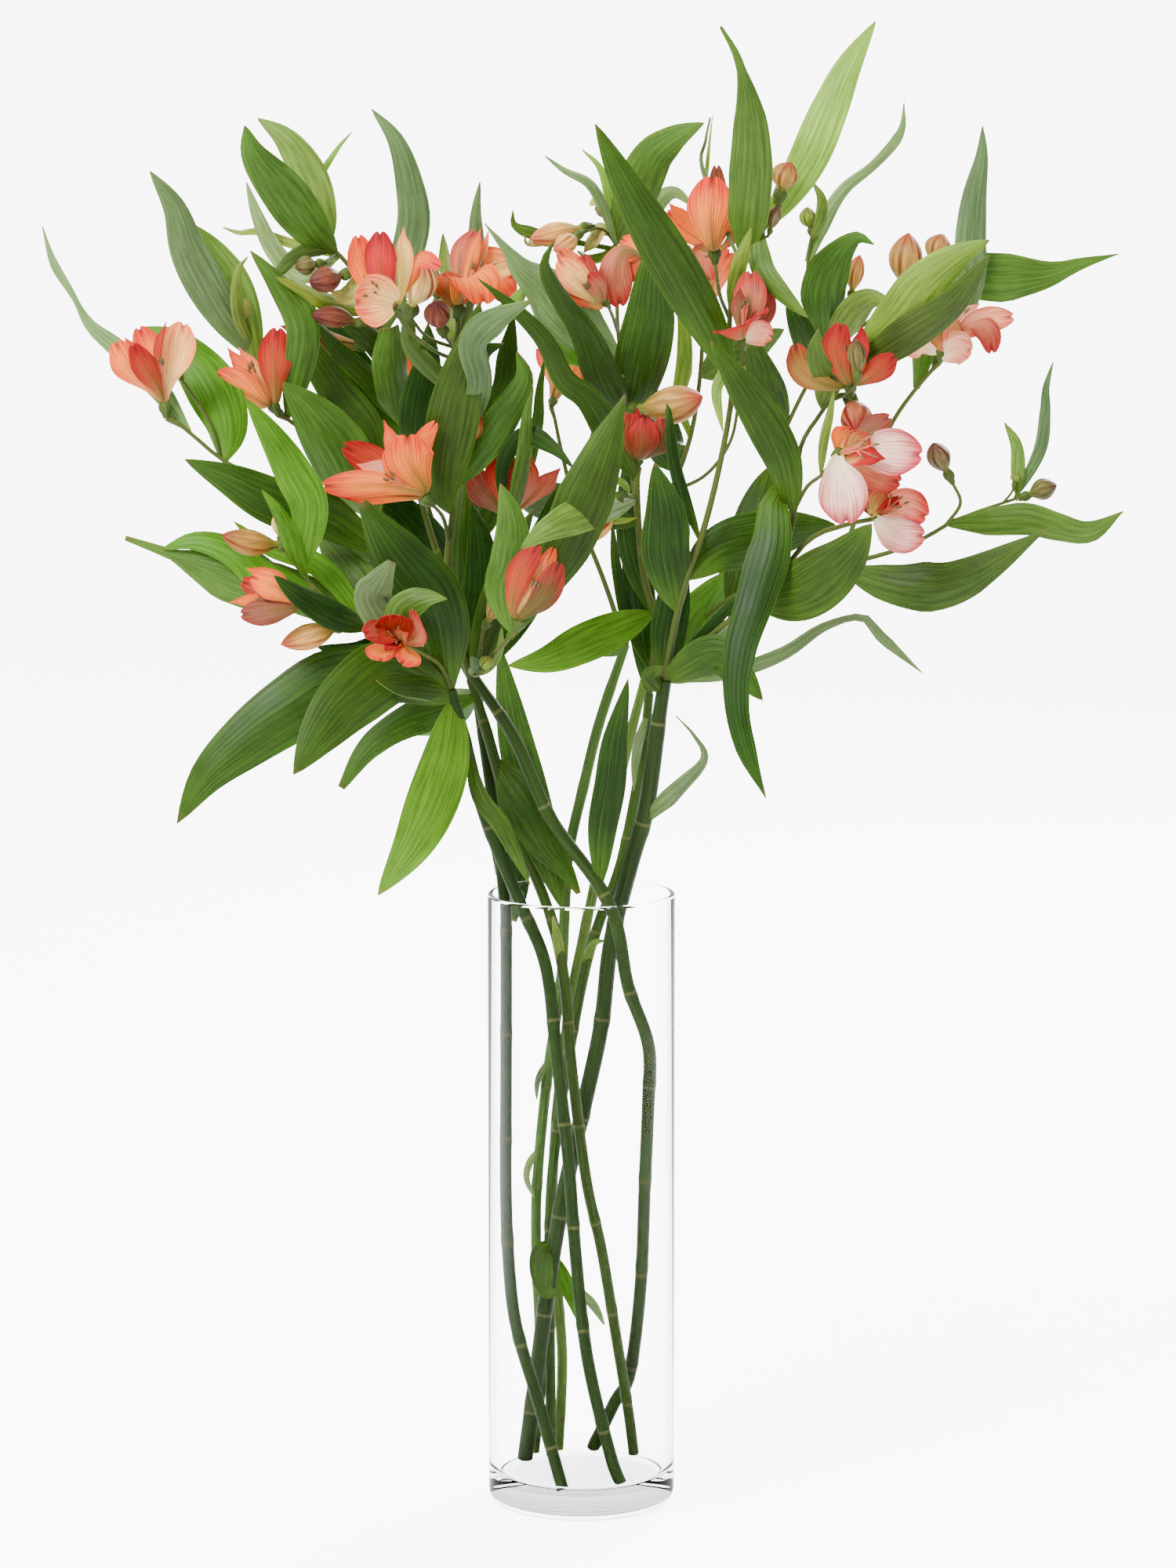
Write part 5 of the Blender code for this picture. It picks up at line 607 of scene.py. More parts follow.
PETALS = {
    "bloom_01": (
        ("outer", 44, 165, "coral", ((190, 492, -5), (163, 464, -12), (147, 434, -13))),
        ("outer", 32, 190, "red", ((200, 492, -8), (183, 465, -15), (168, 438, -16))),
        ("outer", 40, 10, "coral", ((203, 490, 3), (192, 450, 7), (176, 416, 10))),
        ("outer", 50, -20, "pale", ((214, 490, 2), (224, 455, 4), (234, 411, -2))),
        ("inner", 18, -50, "red", ((206, 480, 0), (204, 440, 0), (214, 410, -2))),
        ("inner", 24, 20, "coral", ((200, 490, 4), (178, 458, 4), (158, 430, 2))),
    ),
    "bloom_02": (
        ("outer", 50, 170, "coral", ((338, 516, -6), (306, 497, -10), (275, 476, -8))),
        ("inner", 24, 160, "coral", ((342, 512, -4), (317, 480, -6), (289, 443, -6))),
        ("inner", 24, 20, "pale", ((344, 512, 3), (326, 480, 6), (304, 443, 8))),
        ("outer", 44, 175, "red", ((352, 512, -2), (350, 470, -4), (354, 417, -2))),
        ("inner", 22, 10, "red", ((350, 512, 4), (338, 478, 9), (330, 448, 10))),
        ("outer", 40, -10, "coral", ((346, 512, 5), (330, 490, 12), (312, 470, 16))),
    ),
    "bloom_04": (
        ("outer", 66, -10, "pale", ((500, 386, -8), (478, 383, -16), (452, 386, -22))),
        ("outer", 40, 170, "crimson", ((500, 380, -4), (486, 345, -8), (485, 294, -4))),
        ("outer", 38, 195, "orange", ((496, 382, 2), (466, 345, 2), (456, 299, 4))),
        ("inner", 24, 10, "cream", ((508, 385, 3), (515, 340, 6), (514, 289, 8))),
        ("outer", 30, 150, "coral", ((512, 380, 6), (532, 332, 8), (563, 342, 0))),
        ("inner", 24, -30, "cream", ((508, 385, 4), (526, 350, 12), (540, 330, 16))),
    ),
    "bloom_05": (
        ("outer", 62, -15, "orange", ((586, 380, -8), (598, 352, -15), (612, 364, -25), (618, 390, -27))),
        ("outer", 40, 200, "amber", ((580, 388, -2), (576, 368, -6), (564, 348, -4))),
        ("outer", 30, 160, "rose", ((586, 375, 2), (588, 325, 2), (607, 294, 2))),
        ("inner", 18, 170, "coral", ((592, 370, 0), (603, 325, -2), (613, 290, 0))),
        ("inner", 16, 150, "pale", ((596, 370, 2), (613, 325, 4), (623, 292, 4))),
        ("outer", 42, 5, "pale", ((592, 375, 3), (622, 336, 8), (655, 338, 4))),
        ("inner", 24, 20, "cream", ((592, 378, 0), (635, 345, 0), (673, 340, -6))),
        ("outer", 42, -10, "coral", ((592, 382, 2), (630, 360, 8), (653, 385, 2))),
    ),
    "bloom_06": (
        ("outer", 34, 10, "red", ((765, 391, -3), (735, 373, -6), (704, 350, -6))),
        ("outer", 34, 20, "pale", ((758, 382, 6), (735, 345, 8), (712, 318, 6))),
        ("outer", 38, 185, "pale", ((762, 384, -4), (737, 358, -10), (712, 331, -8))),
        ("inner", 18, 160, "coral", ((765, 384, 0), (745, 355, -4), (735, 324, -2))),
        ("outer", 26, 170, "rose", ((768, 384, 4), (753, 355, 4), (744, 324, 6))),
        ("outer", 30, 185, "rose", ((770, 384, -2), (762, 366, -7), (748, 350, -8))),
        ("inner", 18, 20, "cream", ((762, 388, 2), (742, 368, 3), (722, 350, 4))),
    ),
    "bloom_07": (
        ("outer", 44, 175, "rose", ((812, 322, -2), (794, 322, -6), (785, 350, -8), (791, 392, -4))),
        ("outer", 30, 190, "red", ((820, 335, -2), (812, 345, -4), (802, 356, -4))),
        ("inner", 24, 10, "coral", ((818, 330, 4), (800, 340, 8), (786, 352, 10))),
        ("outer", 30, 20, "coral", ((820, 325, 5), (806, 312, 10), (792, 304, 12))),
    ),
    "bloom_08": (
        ("outer", 60, 178, "coral", ((910, 318, -6), (906, 280, -12), (908, 224, -11))),
        ("outer", 30, 196, "orange", ((914, 316, -3), (924, 280, -6), (926, 244, -4))),
        ("inner", 22, 15, "orange", ((904, 312, 0), (880, 290, 0), (852, 258, -4))),
        ("inner", 20, -20, "coral", ((915, 315, 5), (930, 280, 10), (939, 248, 10))),
        ("inner", 18, 20, "rose", ((917, 318, 0), (934, 302, 2), (943, 278, 2))),
        ("outer", 32, 10, "rose", ((906, 320, 4), (893, 322, 6), (905, 360, 2))),
        ("outer", 26, 180, "tipped", ((914, 310, 8), (915, 260, 12), (914, 209, 12))),
        ("outer", 22, 20, "coral", ((902, 318, 6), (876, 298, 8), (850, 268, 6))),
    ),
    "bloom_09": (
        ("outer", 36, -10, "blush", ((1190, 448, 0), (1175, 438, -2), (1147, 444, -6))),
        ("outer", 36, 15, "blushed", ((1210, 440, 2), (1245, 412, 4), (1294, 404, -2))),
        ("outer", 44, 5, "blush", ((1207, 453, -4), (1222, 444, -9), (1240, 448, -12))),
        ("outer", 38, -25, "rose", ((1215, 432, 2), (1245, 414, 0), (1262, 428, -6), (1266, 452, -6))),
        ("inner", 24, 10, "blush", ((1207, 435, 6), (1224, 410, 10), (1250, 386, 12))),
        ("inner", 30, 0, "dashed", ((1203, 446, 0), (1210, 428, -2), (1223, 404, -2))),
        ("inner", 22, 10, "dashed", ((1199, 446, 0), (1196, 432, -2), (1190, 421, -4))),
    ),
    "bloom_10": (
        ("outer", 38, 180, "red", ((1081, 488, -5), (1066, 452, -9), (1074, 411, -8))),
        ("outer", 38, 165, "striped", ((1066, 494, -2), (1028, 478, -4), (1014, 437, -4))),
        ("outer", 34, 200, "red", ((1096, 488, -2), (1118, 474, -3), (1142, 453, -2))),
        ("inner", 26, 10, "crimson", ((1078, 488, 2), (1060, 450, 4), (1062, 414, 6))),
        ("inner", 26, -10, "crimson", ((1085, 488, 4), (1096, 450, 9), (1100, 414, 10))),
        ("inner", 24, 170, "amber", ((1086, 488, -4), (1092, 462, -8), (1088, 436, -8))),
    ),
    "bloom_11": (
        ("outer", 42, 175, "rose", ((948, 428, 2), (956, 385, 3), (958, 345, 6))),
        ("outer", 38, 10, "dusky", ((948, 428, 5), (968, 400, 8), (981, 368, 10))),
        ("outer", 76, 10, "crimson", ((946, 430, -5), (946, 412, -13), (947, 414, -22))),
        ("inner", 22, 170, "dusky", ((944, 425, 0), (942, 398, -2), (944, 366, -2))),
        ("outer", 34, 30, "blushed", ((955, 432, -4), (972, 424, -10), (985, 430, -14))),
        ("inner", 20, 0, "red", ((950, 425, 2), (955, 395, 4), (966, 362, 6))),
    ),
    "bloom_12": (
        ("outer", 66, 185, "orange", ((541, 622, -5), (522, 590, -12), (519, 553, -12))),
        ("outer", 26, 165, "orange", ((541, 618, 0), (538, 570, -2), (557, 537, -4))),
        ("inner", 24, 175, "coral", ((538, 618, -2), (508, 582, -8), (489, 535, -8))),
        ("outer", 40, 10, "red", ((532, 622, 2), (482, 592, 4), (437, 568, 0))),
        ("inner", 30, 0, "blush", ((532, 626, 0), (492, 604, -2), (455, 592, -4))),
        ("outer", 36, 175, "coral", ((536, 628, -4), (480, 618, -10), (409, 620, -12))),
        ("inner", 22, 190, "coral", ((538, 634, -2), (485, 632, -6), (430, 633, -8))),
    ),
    "bloom_13": (
        ("inner", 20, 185, "orange", ((376, 763, 2), (348, 738, 4), (313, 724, 6))),
        ("outer", 38, 180, "coral", ((377, 765, -4), (350, 748, -10), (320, 735, -10))),
        ("outer", 32, 10, "rose", ((375, 770, 4), (340, 755, 6), (307, 741, 4))),
        ("inner", 18, 190, "orange", ((374, 773, 0), (330, 766, -6), (292, 768, -8))),
        ("outer", 34, 190, "dusky", ((376, 776, -4), (345, 780, -10), (306, 784, -9))),
        ("inner", 22, 0, "coral", ((372, 772, 4), (335, 768, 4), (303, 770, 4))),
    ),
    "bloom_14": (
        ("outer", 48, 0, "red", ((508, 812, -8), (503, 797, -16), (503, 785, -25))),
        ("outer", 34, -60, "rose", ((520, 818, -6), (534, 808, -16), (527, 779, -28))),
        ("outer", 36, 0, "coral", ((517, 826, -6), (522, 834, -18), (512, 846, -30))),
        ("outer", 42, 0, "coral", ((506, 826, -6), (488, 832, -18), (486, 842, -30))),
        ("outer", 34, 20, "rose", ((502, 816, -8), (482, 806, -18), (463, 808, -26))),
        ("inner", 26, 10, "red", ((506, 818, -10), (494, 812, -20), (480, 823, -32))),
        ("inner", 24, 0, "dashed", ((512, 818, -10), (514, 812, -20), (522, 806, -28))),
        ("inner", 26, 0, "crimson", ((508, 822, -10), (498, 822, -22), (490, 832, -32))),
    ),
    "bloom_15": (
        ("outer", 46, 165, "dusky", ((641, 652, -4), (619, 628, -9), (606, 600, -8))),
        ("outer", 40, 180, "red", ((648, 650, -6), (638, 612, -13), (643, 573, -12))),
        ("outer", 40, 190, "rose", ((656, 648, -5), (669, 612, -12), (661, 581, -11))),
        ("inner", 26, 200, "rose", ((662, 650, 0), (688, 626, -2), (716, 597, -4))),
        ("inner", 24, 10, "crimson", ((656, 648, 4), (674, 612, 8), (677, 578, 10))),
        ("inner", 26, 10, "red", ((646, 648, 4), (636, 618, 8), (622, 594, 10))),
    ),
    "bloom_16": (
        ("outer", 34, 172, "red", ((653, 782, -5), (661, 735, -10), (688, 693, -10))),
        ("outer", 26, 20, "coral", ((664, 782, 2), (690, 735, 3), (707, 698, 0))),
        ("outer", 36, 188, "bronze", ((664, 788, -5), (692, 764, -12), (714, 716, -12))),
        ("inner", 18, 175, "pale", ((660, 782, -6), (680, 740, -9), (700, 706, -10))),
        ("inner", 22, 10, "crimson", ((662, 782, 4), (674, 740, 6), (690, 704, 6))),
        ("inner", 18, 20, "dusky", ((668, 780, 4), (690, 738, 8), (704, 704, 8))),
    ),
    "bloom_17": (
        ("outer", 38, 175, "garnet", ((806, 580, -5), (797, 560, -10), (804, 526, -9))),
        ("outer", 36, 185, "bronze", ((826, 580, -5), (842, 562, -10), (846, 532, -9))),
        ("outer", 40, 180, "garnet", ((816, 583, -7), (820, 562, -13), (823, 533, -11))),
        ("inner", 24, 170, "crimson", ((812, 580, -2), (806, 555, -4), (814, 520, -4))),
        ("inner", 22, 10, "red", ((822, 578, 2), (838, 552, 4), (851, 530, 4))),
        ("outer", 30, 10, "dusky", ((816, 580, 4), (816, 556, 8), (824, 528, 8))),
    ),
    "bloom_18": (
        ("outer", 62, 0, "white", ((1068, 592, -6), (1075, 626, -16), (1080, 669, -20))),
        ("outer", 60, -10, "white", ((1082, 584, 0), (1122, 577, -6), (1177, 580, -14))),
        ("inner", 26, 20, "crimson", ((1084, 588, -4), (1106, 580, -12), (1131, 585, -20))),
        ("inner", 36, 0, "dashed", ((1078, 578, 0), (1093, 566, -4), (1110, 552, -8))),
        ("outer", 36, 10, "orange", ((1070, 576, 3), (1076, 560, 4), (1086, 547, 0))),
        ("outer", 34, 160, "dusky", ((1080, 574, 5), (1105, 552, 8), (1137, 531, 6))),
        ("outer", 40, 20, "rose", ((1084, 590, 0), (1112, 604, 2), (1150, 616, 0))),
    ),
    "bloom_19": (
        ("outer", 50, -10, "blushed", ((1122, 658, -4), (1150, 646, -10), (1183, 660, -16))),
        ("outer", 48, 10, "white", ((1120, 664, -6), (1142, 680, -14), (1180, 684, -20))),
        ("outer", 60, 10, "dusky", ((1112, 650, 3), (1116, 628, 6), (1124, 604, 6))),
        ("inner", 32, 0, "dashed", ((1114, 654, 0), (1119, 640, -4), (1128, 622, -6))),
        ("inner", 24, 30, "crimson", ((1117, 654, -2), (1134, 644, -8), (1146, 631, -12))),
        ("inner", 22, 10, "dusky", ((1112, 654, 1), (1106, 641, -2), (1100, 628, -4))),
    ),
}
print("petals noted one by one:", sum(len(petals) for petals in PETALS.values()))

# %% [markdown]
# ## Middle lines of stems and rays
#
# Every ray starts on its parent's middle line, so the paths are worked out in order, parents first. A stem
# ends just above the thick glass floor. The vase's numbers are needed for that, so they come here.

# %% Work out the middle lines
VASE_RADIUS = 0.050
VASE_HEIGHT = 0.333
VASE_WALL = 0.0030
VASE_FLOOR = 0.016
GAP = 0.0003
PATH_STEPS = 90


def seat_on(name, across, down):
    """The place on a stem's or ray's middle line that shows nearest to a pixel."""
    def miss(place):
        seen = pixel_of(place)
        return (seen[0] - across) ** 2 + (seen[1] - down) ** 2
    return min(PATHS[name], key=miss)


def middle_line(name):
    if name in STEMS:
        points = [at(*place) for place in STEMS[name].path]
        points[-1].z = VASE_FLOOR + GAP
    else:
        root, *places = RAYS[name].path
        points = [seat_on(RAYS[name].parent, *root)] + [at(*place) for place in places]
    return smooth_path(points, PATH_STEPS)


PATHS = {}
for stalk in list(STEMS) + list(RAYS):
    PATHS[stalk] = middle_line(stalk)
print("middle lines:", len(STEMS), "stems and", len(RAYS), "rays")

# %% [markdown]
# ## Colours of the plant
#
# A bunch is never one green. Young leaves glow yellow-green where light comes through them, old ones are
# dark and bluish, and the undersides are dull. The bright yellow-green tones are partly the young leaves'
# own colour and partly painted glow, the shade tone is partly the darkest leaves' own colour and partly
# painted shade deep in the bunch, and the grey and silver tones are partly painted sheen. Each leaf is given
# one of these tones, and its finish then adds veins and mottling. A petal runs from its base over its body
# to its tip, and two flowers are nearly white. The numbers look strong, because a bright studio washes
# colours out.

# %% Name the colours
LEAF_TONES = {
    # shade is partly the darkest leaves' own colour and partly painted shade deep in the bunch
    "shade": (0.0075, 0.0250, 0.0016),
    "dark": (0.0195, 0.0440, 0.0036),
    "olive": (0.033, 0.053, 0.008),
    "mid": (0.046, 0.095, 0.012),
    # light, lime, yellow and pale are partly the leaves' own colour and partly painted glow of light coming
    # through
    "light": (0.108, 0.170, 0.026),
    "lime": (0.052, 0.138, 0.005),
    "yellow": (0.126, 0.182, 0.019),
    "pale": (0.165, 0.290, 0.032),
    # grey and silver are partly the leaves' own grey-green and partly painted sheen
    "grey": (0.075, 0.120, 0.045),
    "silver": (0.146, 0.230, 0.078),
    "withered": (0.320, 0.270, 0.065),
}
UNDERSIDE = (0.075, 0.125, 0.034)
YOUNG_FOOT = (0.070, 0.145, 0.009)
WITHERED = (0.110, 0.070, 0.020)
STEM_TONES = {"a": (0.012, 0.027, 0.003), "b": (0.012, 0.029, 0.003), "c": (0.026, 0.050, 0.006),
              "d": (0.058, 0.118, 0.022), "e": (0.090, 0.152, 0.025), "f": (0.030, 0.060, 0.008),
              "g": (0.015, 0.031, 0.005), "h": (0.017, 0.036, 0.005)}
RAY_TONE = (0.065, 0.080, 0.014)
VEIN_GLOW = (0.060, 0.085, 0.012)
SCAR_TONE = (0.110, 0.105, 0.035)
OVARY_TONE = (0.050, 0.078, 0.014)

# Base, body and tip of a petal
PETAL_LOOKS = {
    "coral": ((0.80, 0.42, 0.10), (0.97, 0.235, 0.030), (0.66, 0.055, 0.022)),
    "orange": ((0.66, 0.36, 0.04), (0.86, 0.190, 0.016), (0.72, 0.080, 0.016)),
    "amber": ((0.16, 0.11, 0.02), (0.21, 0.100, 0.022), (0.40, 0.070, 0.018)),
    "red": ((0.42, 0.24, 0.05), (0.37, 0.050, 0.017), (0.28, 0.010, 0.010)),
    "crimson": ((0.60, 0.34, 0.16), (0.45, 0.020, 0.020), (0.24, 0.005, 0.009)),
    "rose": ((0.50, 0.32, 0.12), (0.45, 0.150, 0.078), (0.36, 0.032, 0.024)),
    # dusky is painted shade: a darkened salmon-rose for petals that lie in shadow
    "dusky": ((0.26, 0.20, 0.07), (0.19, 0.080, 0.040), (0.19, 0.034, 0.022)),
    "garnet": ((0.07, 0.075, 0.014), (0.190, 0.035, 0.012), (0.30, 0.012, 0.010)),
    "bronze": ((0.05, 0.07, 0.012), (0.090, 0.062, 0.016), (0.26, 0.030, 0.020)),
    "pale": ((0.95, 0.72, 0.26), (0.97, 0.500, 0.150), (0.92, 0.200, 0.075)),
    "blush": ((0.95, 0.80, 0.50), (0.90, 0.480, 0.300), (0.88, 0.300, 0.190)),
    "blushed": ((0.95, 0.80, 0.55), (0.96, 0.450, 0.270), (0.48, 0.038, 0.030)),
    "cream": ((0.86, 0.74, 0.16), (0.97, 0.740, 0.180), (0.78, 0.110, 0.045)),
    "striped": ((0.16, 0.19, 0.03), (0.32, 0.190, 0.036), (0.33, 0.030, 0.018)),
    "white": ((0.86, 0.86, 0.50), (0.88, 0.590, 0.470), (0.40, 0.014, 0.050)),
    "dashed": ((0.60, 0.48, 0.08), (0.40, 0.200, 0.052), (0.40, 0.030, 0.020)),
    "tipped": ((0.12, 0.15, 0.03), (0.16, 0.130, 0.045), (0.13, 0.080, 0.036)),
}
STRIPED_THROAT = (0.92, 0.66, 0.12)
THROAT_OLIVE = (0.115, 0.095, 0.016)
DARK_POINT = (0.045, 0.005, 0.008)
RIB_OLIVE = (0.130, 0.070, 0.016)
DASH_MAROON = (0.10, 0.010, 0.014)
FILAMENT_PINK = (0.62, 0.16, 0.09)
ANTHER_TONE = (0.13, 0.085, 0.040)
# Factors that redden a petal's streaks, and deepen its veins and a bud's stripes
FLUSH_FACTOR = (0.84, 0.34, 0.36)
VEIN_FACTOR = (0.58, 0.26, 0.26)
STRIPE_FACTOR = (0.36, 0.10, 0.12)
BUD_LOOKS = {
    "olive": ((0.070, 0.105, 0.016), (0.105, 0.095, 0.026), (0.085, 0.030, 0.014)),
    "green": ((0.090, 0.160, 0.012), (0.150, 0.230, 0.024), (0.130, 0.130, 0.024)),
    "cream": ((0.330, 0.340, 0.060), (0.840, 0.560, 0.180), (0.520, 0.040, 0.030)),
    "rose": ((0.120, 0.150, 0.016), (0.300, 0.150, 0.026), (0.200, 0.020, 0.010)),
    "peach": ((0.200, 0.210, 0.022), (0.640, 0.330, 0.078), (0.520, 0.070, 0.036)),
    "barred": ((0.140, 0.170, 0.020), (0.400, 0.220, 0.050), (0.360, 0.040, 0.028)),
    "ember": ((0.220, 0.160, 0.040), (0.340, 0.090, 0.036), (0.240, 0.018, 0.018)),
    "dusky": ((0.100, 0.120, 0.024), (0.130, 0.095, 0.040), (0.120, 0.036, 0.024)),
    "wine": ((0.085, 0.080, 0.014), (0.140, 0.042, 0.022), (0.062, 0.010, 0.010)),
}
print("tones:", len(LEAF_TONES), "for leaves,", len(PETAL_LOOKS), "for petals,", len(BUD_LOOKS), "for buds")

# %% [markdown]
# ## Wiring nodes
#
# A finish is a small net of nodes, and most of its links do plain sums. A few helpers each add one node,
# link what feeds it, and give back its output, so that a finish can be read like a sum.

# %% Wire up nodes
def new_group(name, inputs, outputs):
    """A node group with number sockets, and its group input and output nodes."""
    group = bpy.data.node_groups.new(name, "ShaderNodeTree")
    for title, kind, value in inputs:
        socket = group.interface.new_socket(title, in_out="INPUT", socket_type="NodeSocket" + kind)
        if value is not None:
            socket.default_value = value
    for title in outputs:
        group.interface.new_socket(title, in_out="OUTPUT", socket_type="NodeSocketFloat")
    return group, group.nodes.new("NodeGroupInput"), group.nodes.new("NodeGroupOutput")


def sums(tree, operation, first, second=None):
    """A Math node fed by sockets or numbers; gives its output."""
    node = tree.nodes.new("ShaderNodeMath")
    node.operation = operation
    for socket, value in zip(node.inputs, (first, second)):
        if isinstance(value, bpy.types.NodeSocket):
            tree.links.new(value, socket)
        elif value is not None:
            socket.default_value = value
    return node.outputs[0]


def times(tree, first, second):
    return sums(tree, "MULTIPLY", first, second)


def split(tree, vector):
    """The X, Y and Z outputs of a vector."""
    node = tree.nodes.new("ShaderNodeSeparateXYZ")
    tree.links.new(vector, node.inputs[0])
    return node.outputs


def noise(tree, vector, scale, detail=2.0):
    node = tree.nodes.new("ShaderNodeTexNoise")
    node.inputs["Scale"].default_value = scale
    node.inputs["Detail"].default_value = detail
    tree.links.new(vector, node.inputs["Vector"])
    return node.outputs["Fac"]


def ranged(tree, value, low, high, to_low, to_high):
    """A Map Range node with smooth ends."""
    node = tree.nodes.new("ShaderNodeMapRange")
    node.interpolation_type = "SMOOTHSTEP"
    for title, amount in (("From Min", low), ("From Max", high), ("To Min", to_low), ("To Max", to_high)):
        node.inputs[title].default_value = amount
    tree.links.new(value, node.inputs["Value"])
    return node.outputs["Result"]


print("node helpers: sums, products, splits, noise and ranges")

# %% [markdown]
# ## Shared effects as node groups
#
# Leaves, petals, buds and stems are all lined lengthwise, so one group draws parallel lines from the
# surface's own UV map and is used in every finish with its own count and width. A second group stretches
# noise along the surface for the soft streaks in petals. Both give out only masks, which each finish then
# turns into colour, roughness and relief. UV coordinates are used because the lines have to follow each
# blade as it bends.

# %% Build the node groups
def make_line_group():
    group, source, target = new_group("parallel_lines", (
        ("Surface", "Vector", None), ("Count", "Float", 12.0), ("Width", "Float", 0.2),
        ("Wander", "Float", 0.1)), ("Line", "Ridge"))
    pick = group.nodes.new("ShaderNodeTexWhiteNoise")
    pick.noise_dimensions = "1D"
    drift = sums(group, "SUBTRACT", noise(group, source.outputs["Surface"], 2.5), 0.5)
    drift = times(group, drift, source.outputs["Wander"])
    across = split(group, source.outputs["Surface"])["X"]
    place = times(group, sums(group, "ADD", across, drift), source.outputs["Count"])
    away = sums(group, "ABSOLUTE", sums(group, "SUBTRACT", sums(group, "FRACT", place), 0.5))
    away = times(group, away, 2.0)
    depth = sums(group, "SUBTRACT", source.outputs["Width"], away)
    line = sums(group, "DIVIDE", depth, source.outputs["Width"])
    line = ranged(group, line, 0.0, 0.7, 0.0, 1.0)
    group.links.new(sums(group, "FLOOR", place), pick.inputs["W"])
    line = times(group, line, ranged(group, pick.outputs["Value"], 0.0, 1.0, 0.25, 1.0))
    group.links.new(line, target.inputs["Line"])
    group.links.new(times(group, away, away), target.inputs["Ridge"])
    return group


def make_streak_group():
    group, source, target = new_group("streaks", (
        ("Surface", "Vector", None), ("Count", "Float", 14.0), ("Length", "Float", 1.5)), ("Streak",))
    parts = split(group, source.outputs["Surface"])
    joined = group.nodes.new("ShaderNodeCombineXYZ")
    group.links.new(times(group, parts["X"], source.outputs["Count"]), joined.inputs["X"])
    group.links.new(times(group, parts["Y"], source.outputs["Length"]), joined.inputs["Y"])
    streak = ranged(group, noise(group, joined.outputs[0], 2.0, 3.0), 0.3, 0.7, 0.0, 1.0)
    group.links.new(streak, target.inputs["Streak"])
    return group


LINES = make_line_group()
STREAKS = make_streak_group()
print("groups:", LINES.name, "and", STREAKS.name)

# %% [markdown]
# ## A workbench for finishes
#
# All the living finishes start the same way: the piece's own colour attribute, its UV map, and a gentle
# mottle from Object coordinates. The helper sets these up once. Each finish then adds what is its own.

# %% Start a finish
Bench = namedtuple("Bench", "material tree shader tone surface mottle")
GLOSS = 0.10


def start_finish(name, roughness, mottle_scale):
    material = bpy.data.materials.new(name)
    material.use_nodes = True
    tree = material.node_tree
    shader = tree.nodes["Principled BSDF"]
    shader.inputs["Roughness"].default_value = roughness
    shader.inputs["Specular IOR Level"].default_value = GLOSS
    tone = tree.nodes.new("ShaderNodeAttribute")
    tone.attribute_name = "tone"
    surface = tree.nodes.new("ShaderNodeUVMap")
    surface.uv_map = "surface"
    place = tree.nodes.new("ShaderNodeTexCoord")
    return Bench(material, tree, shader, tone.outputs["Color"], surface.outputs["UV"],
                 noise(tree, place.outputs["Object"], mottle_scale, 3.0))


def placed_group(bench, group, **values):
    node = bench.tree.nodes.new("ShaderNodeGroup")
    node.node_tree = group
    for title, value in values.items():
        node.inputs[title].default_value = value
    bench.tree.links.new(bench.surface, node.inputs["Surface"])
    return node


print("finishes start from the attribute tone and the UV map surface")

# %% [markdown]
# ## Colour, glow and relief
#
# On a real blade a vein is a little paler, a streak a little darker, and light soaks through where the
# tissue is thin. So a mask mixes two colours or darkens one, a soft glow lies under the skin, and a bump
# made from the same mask ends the finish. Bump is enough for veins, which stand out by less than a hair.

# %% Tint and close a finish
SOAK_DEPTH = 0.002


def mixed(bench, kind, share, first, second):
    """A colour mix; share, first and second may be sockets, numbers or colours."""
    node = bench.tree.nodes.new("ShaderNodeMix")
    node.data_type = "RGBA"
    node.blend_type = kind
    for title, value in ((0, share), (6, first), (7, second)):
        if isinstance(value, bpy.types.NodeSocket):
            bench.tree.links.new(value, node.inputs[title])
        elif isinstance(value, tuple):
            node.inputs[title].default_value = (*value, 1.0)
        else:
            node.inputs[title].default_value = value
    return node.outputs[2]


def grey_of(bench, value, low, high):
    """A brightness factor from a mask, as a colour to multiply with."""
    scaled = ranged(bench.tree, value, 0.0, 1.0, low, high)
    joined = bench.tree.nodes.new("ShaderNodeCombineColor")
    for socket in joined.inputs[:3]:
        bench.tree.links.new(scaled, socket)
    return joined.outputs[0]


def shaded(bench, colour, mask, low, high):
    """The colour made darker or brighter by a mask."""
    return mixed(bench, "MULTIPLY", 1.0, colour, grey_of(bench, mask, low, high))


def glow_through(bench, weight, reach):
    """Let light soak through a thin blade, further in the colours of its reach."""
    bench.shader.inputs["Subsurface Weight"].default_value = weight
    bench.shader.inputs["Subsurface Radius"].default_value = reach
    bench.shader.inputs["Subsurface Scale"].default_value = SOAK_DEPTH


def end_finish(bench, colour, height=None, relief=0.0002, strength=0.4):
    bench.tree.links.new(colour, bench.shader.inputs["Base Color"])
    if height is not None:
        bump = bench.tree.nodes.new("ShaderNodeBump")
        bump.inputs["Strength"].default_value = strength
        bump.inputs["Distance"].default_value = relief
        bench.tree.links.new(height, bump.inputs["Height"])
        bench.tree.links.new(bump.outputs["Normal"], bench.shader.inputs["Normal"])
    return bench.material


print("light soaks", SOAK_DEPTH / MM, "mm deep")

# %% [markdown]
# ## Leaf and stem finishes
#
# An alstroemeria leaf has a dozen or so veins that run side by side from base to tip. A few are pale and
# clear and many finer ones lie between. The blade is satin: smooth wax with slight ridges. The stem is
# smoother, with faint lengthwise streaks and a pale ring wherever a leaf has fallen.

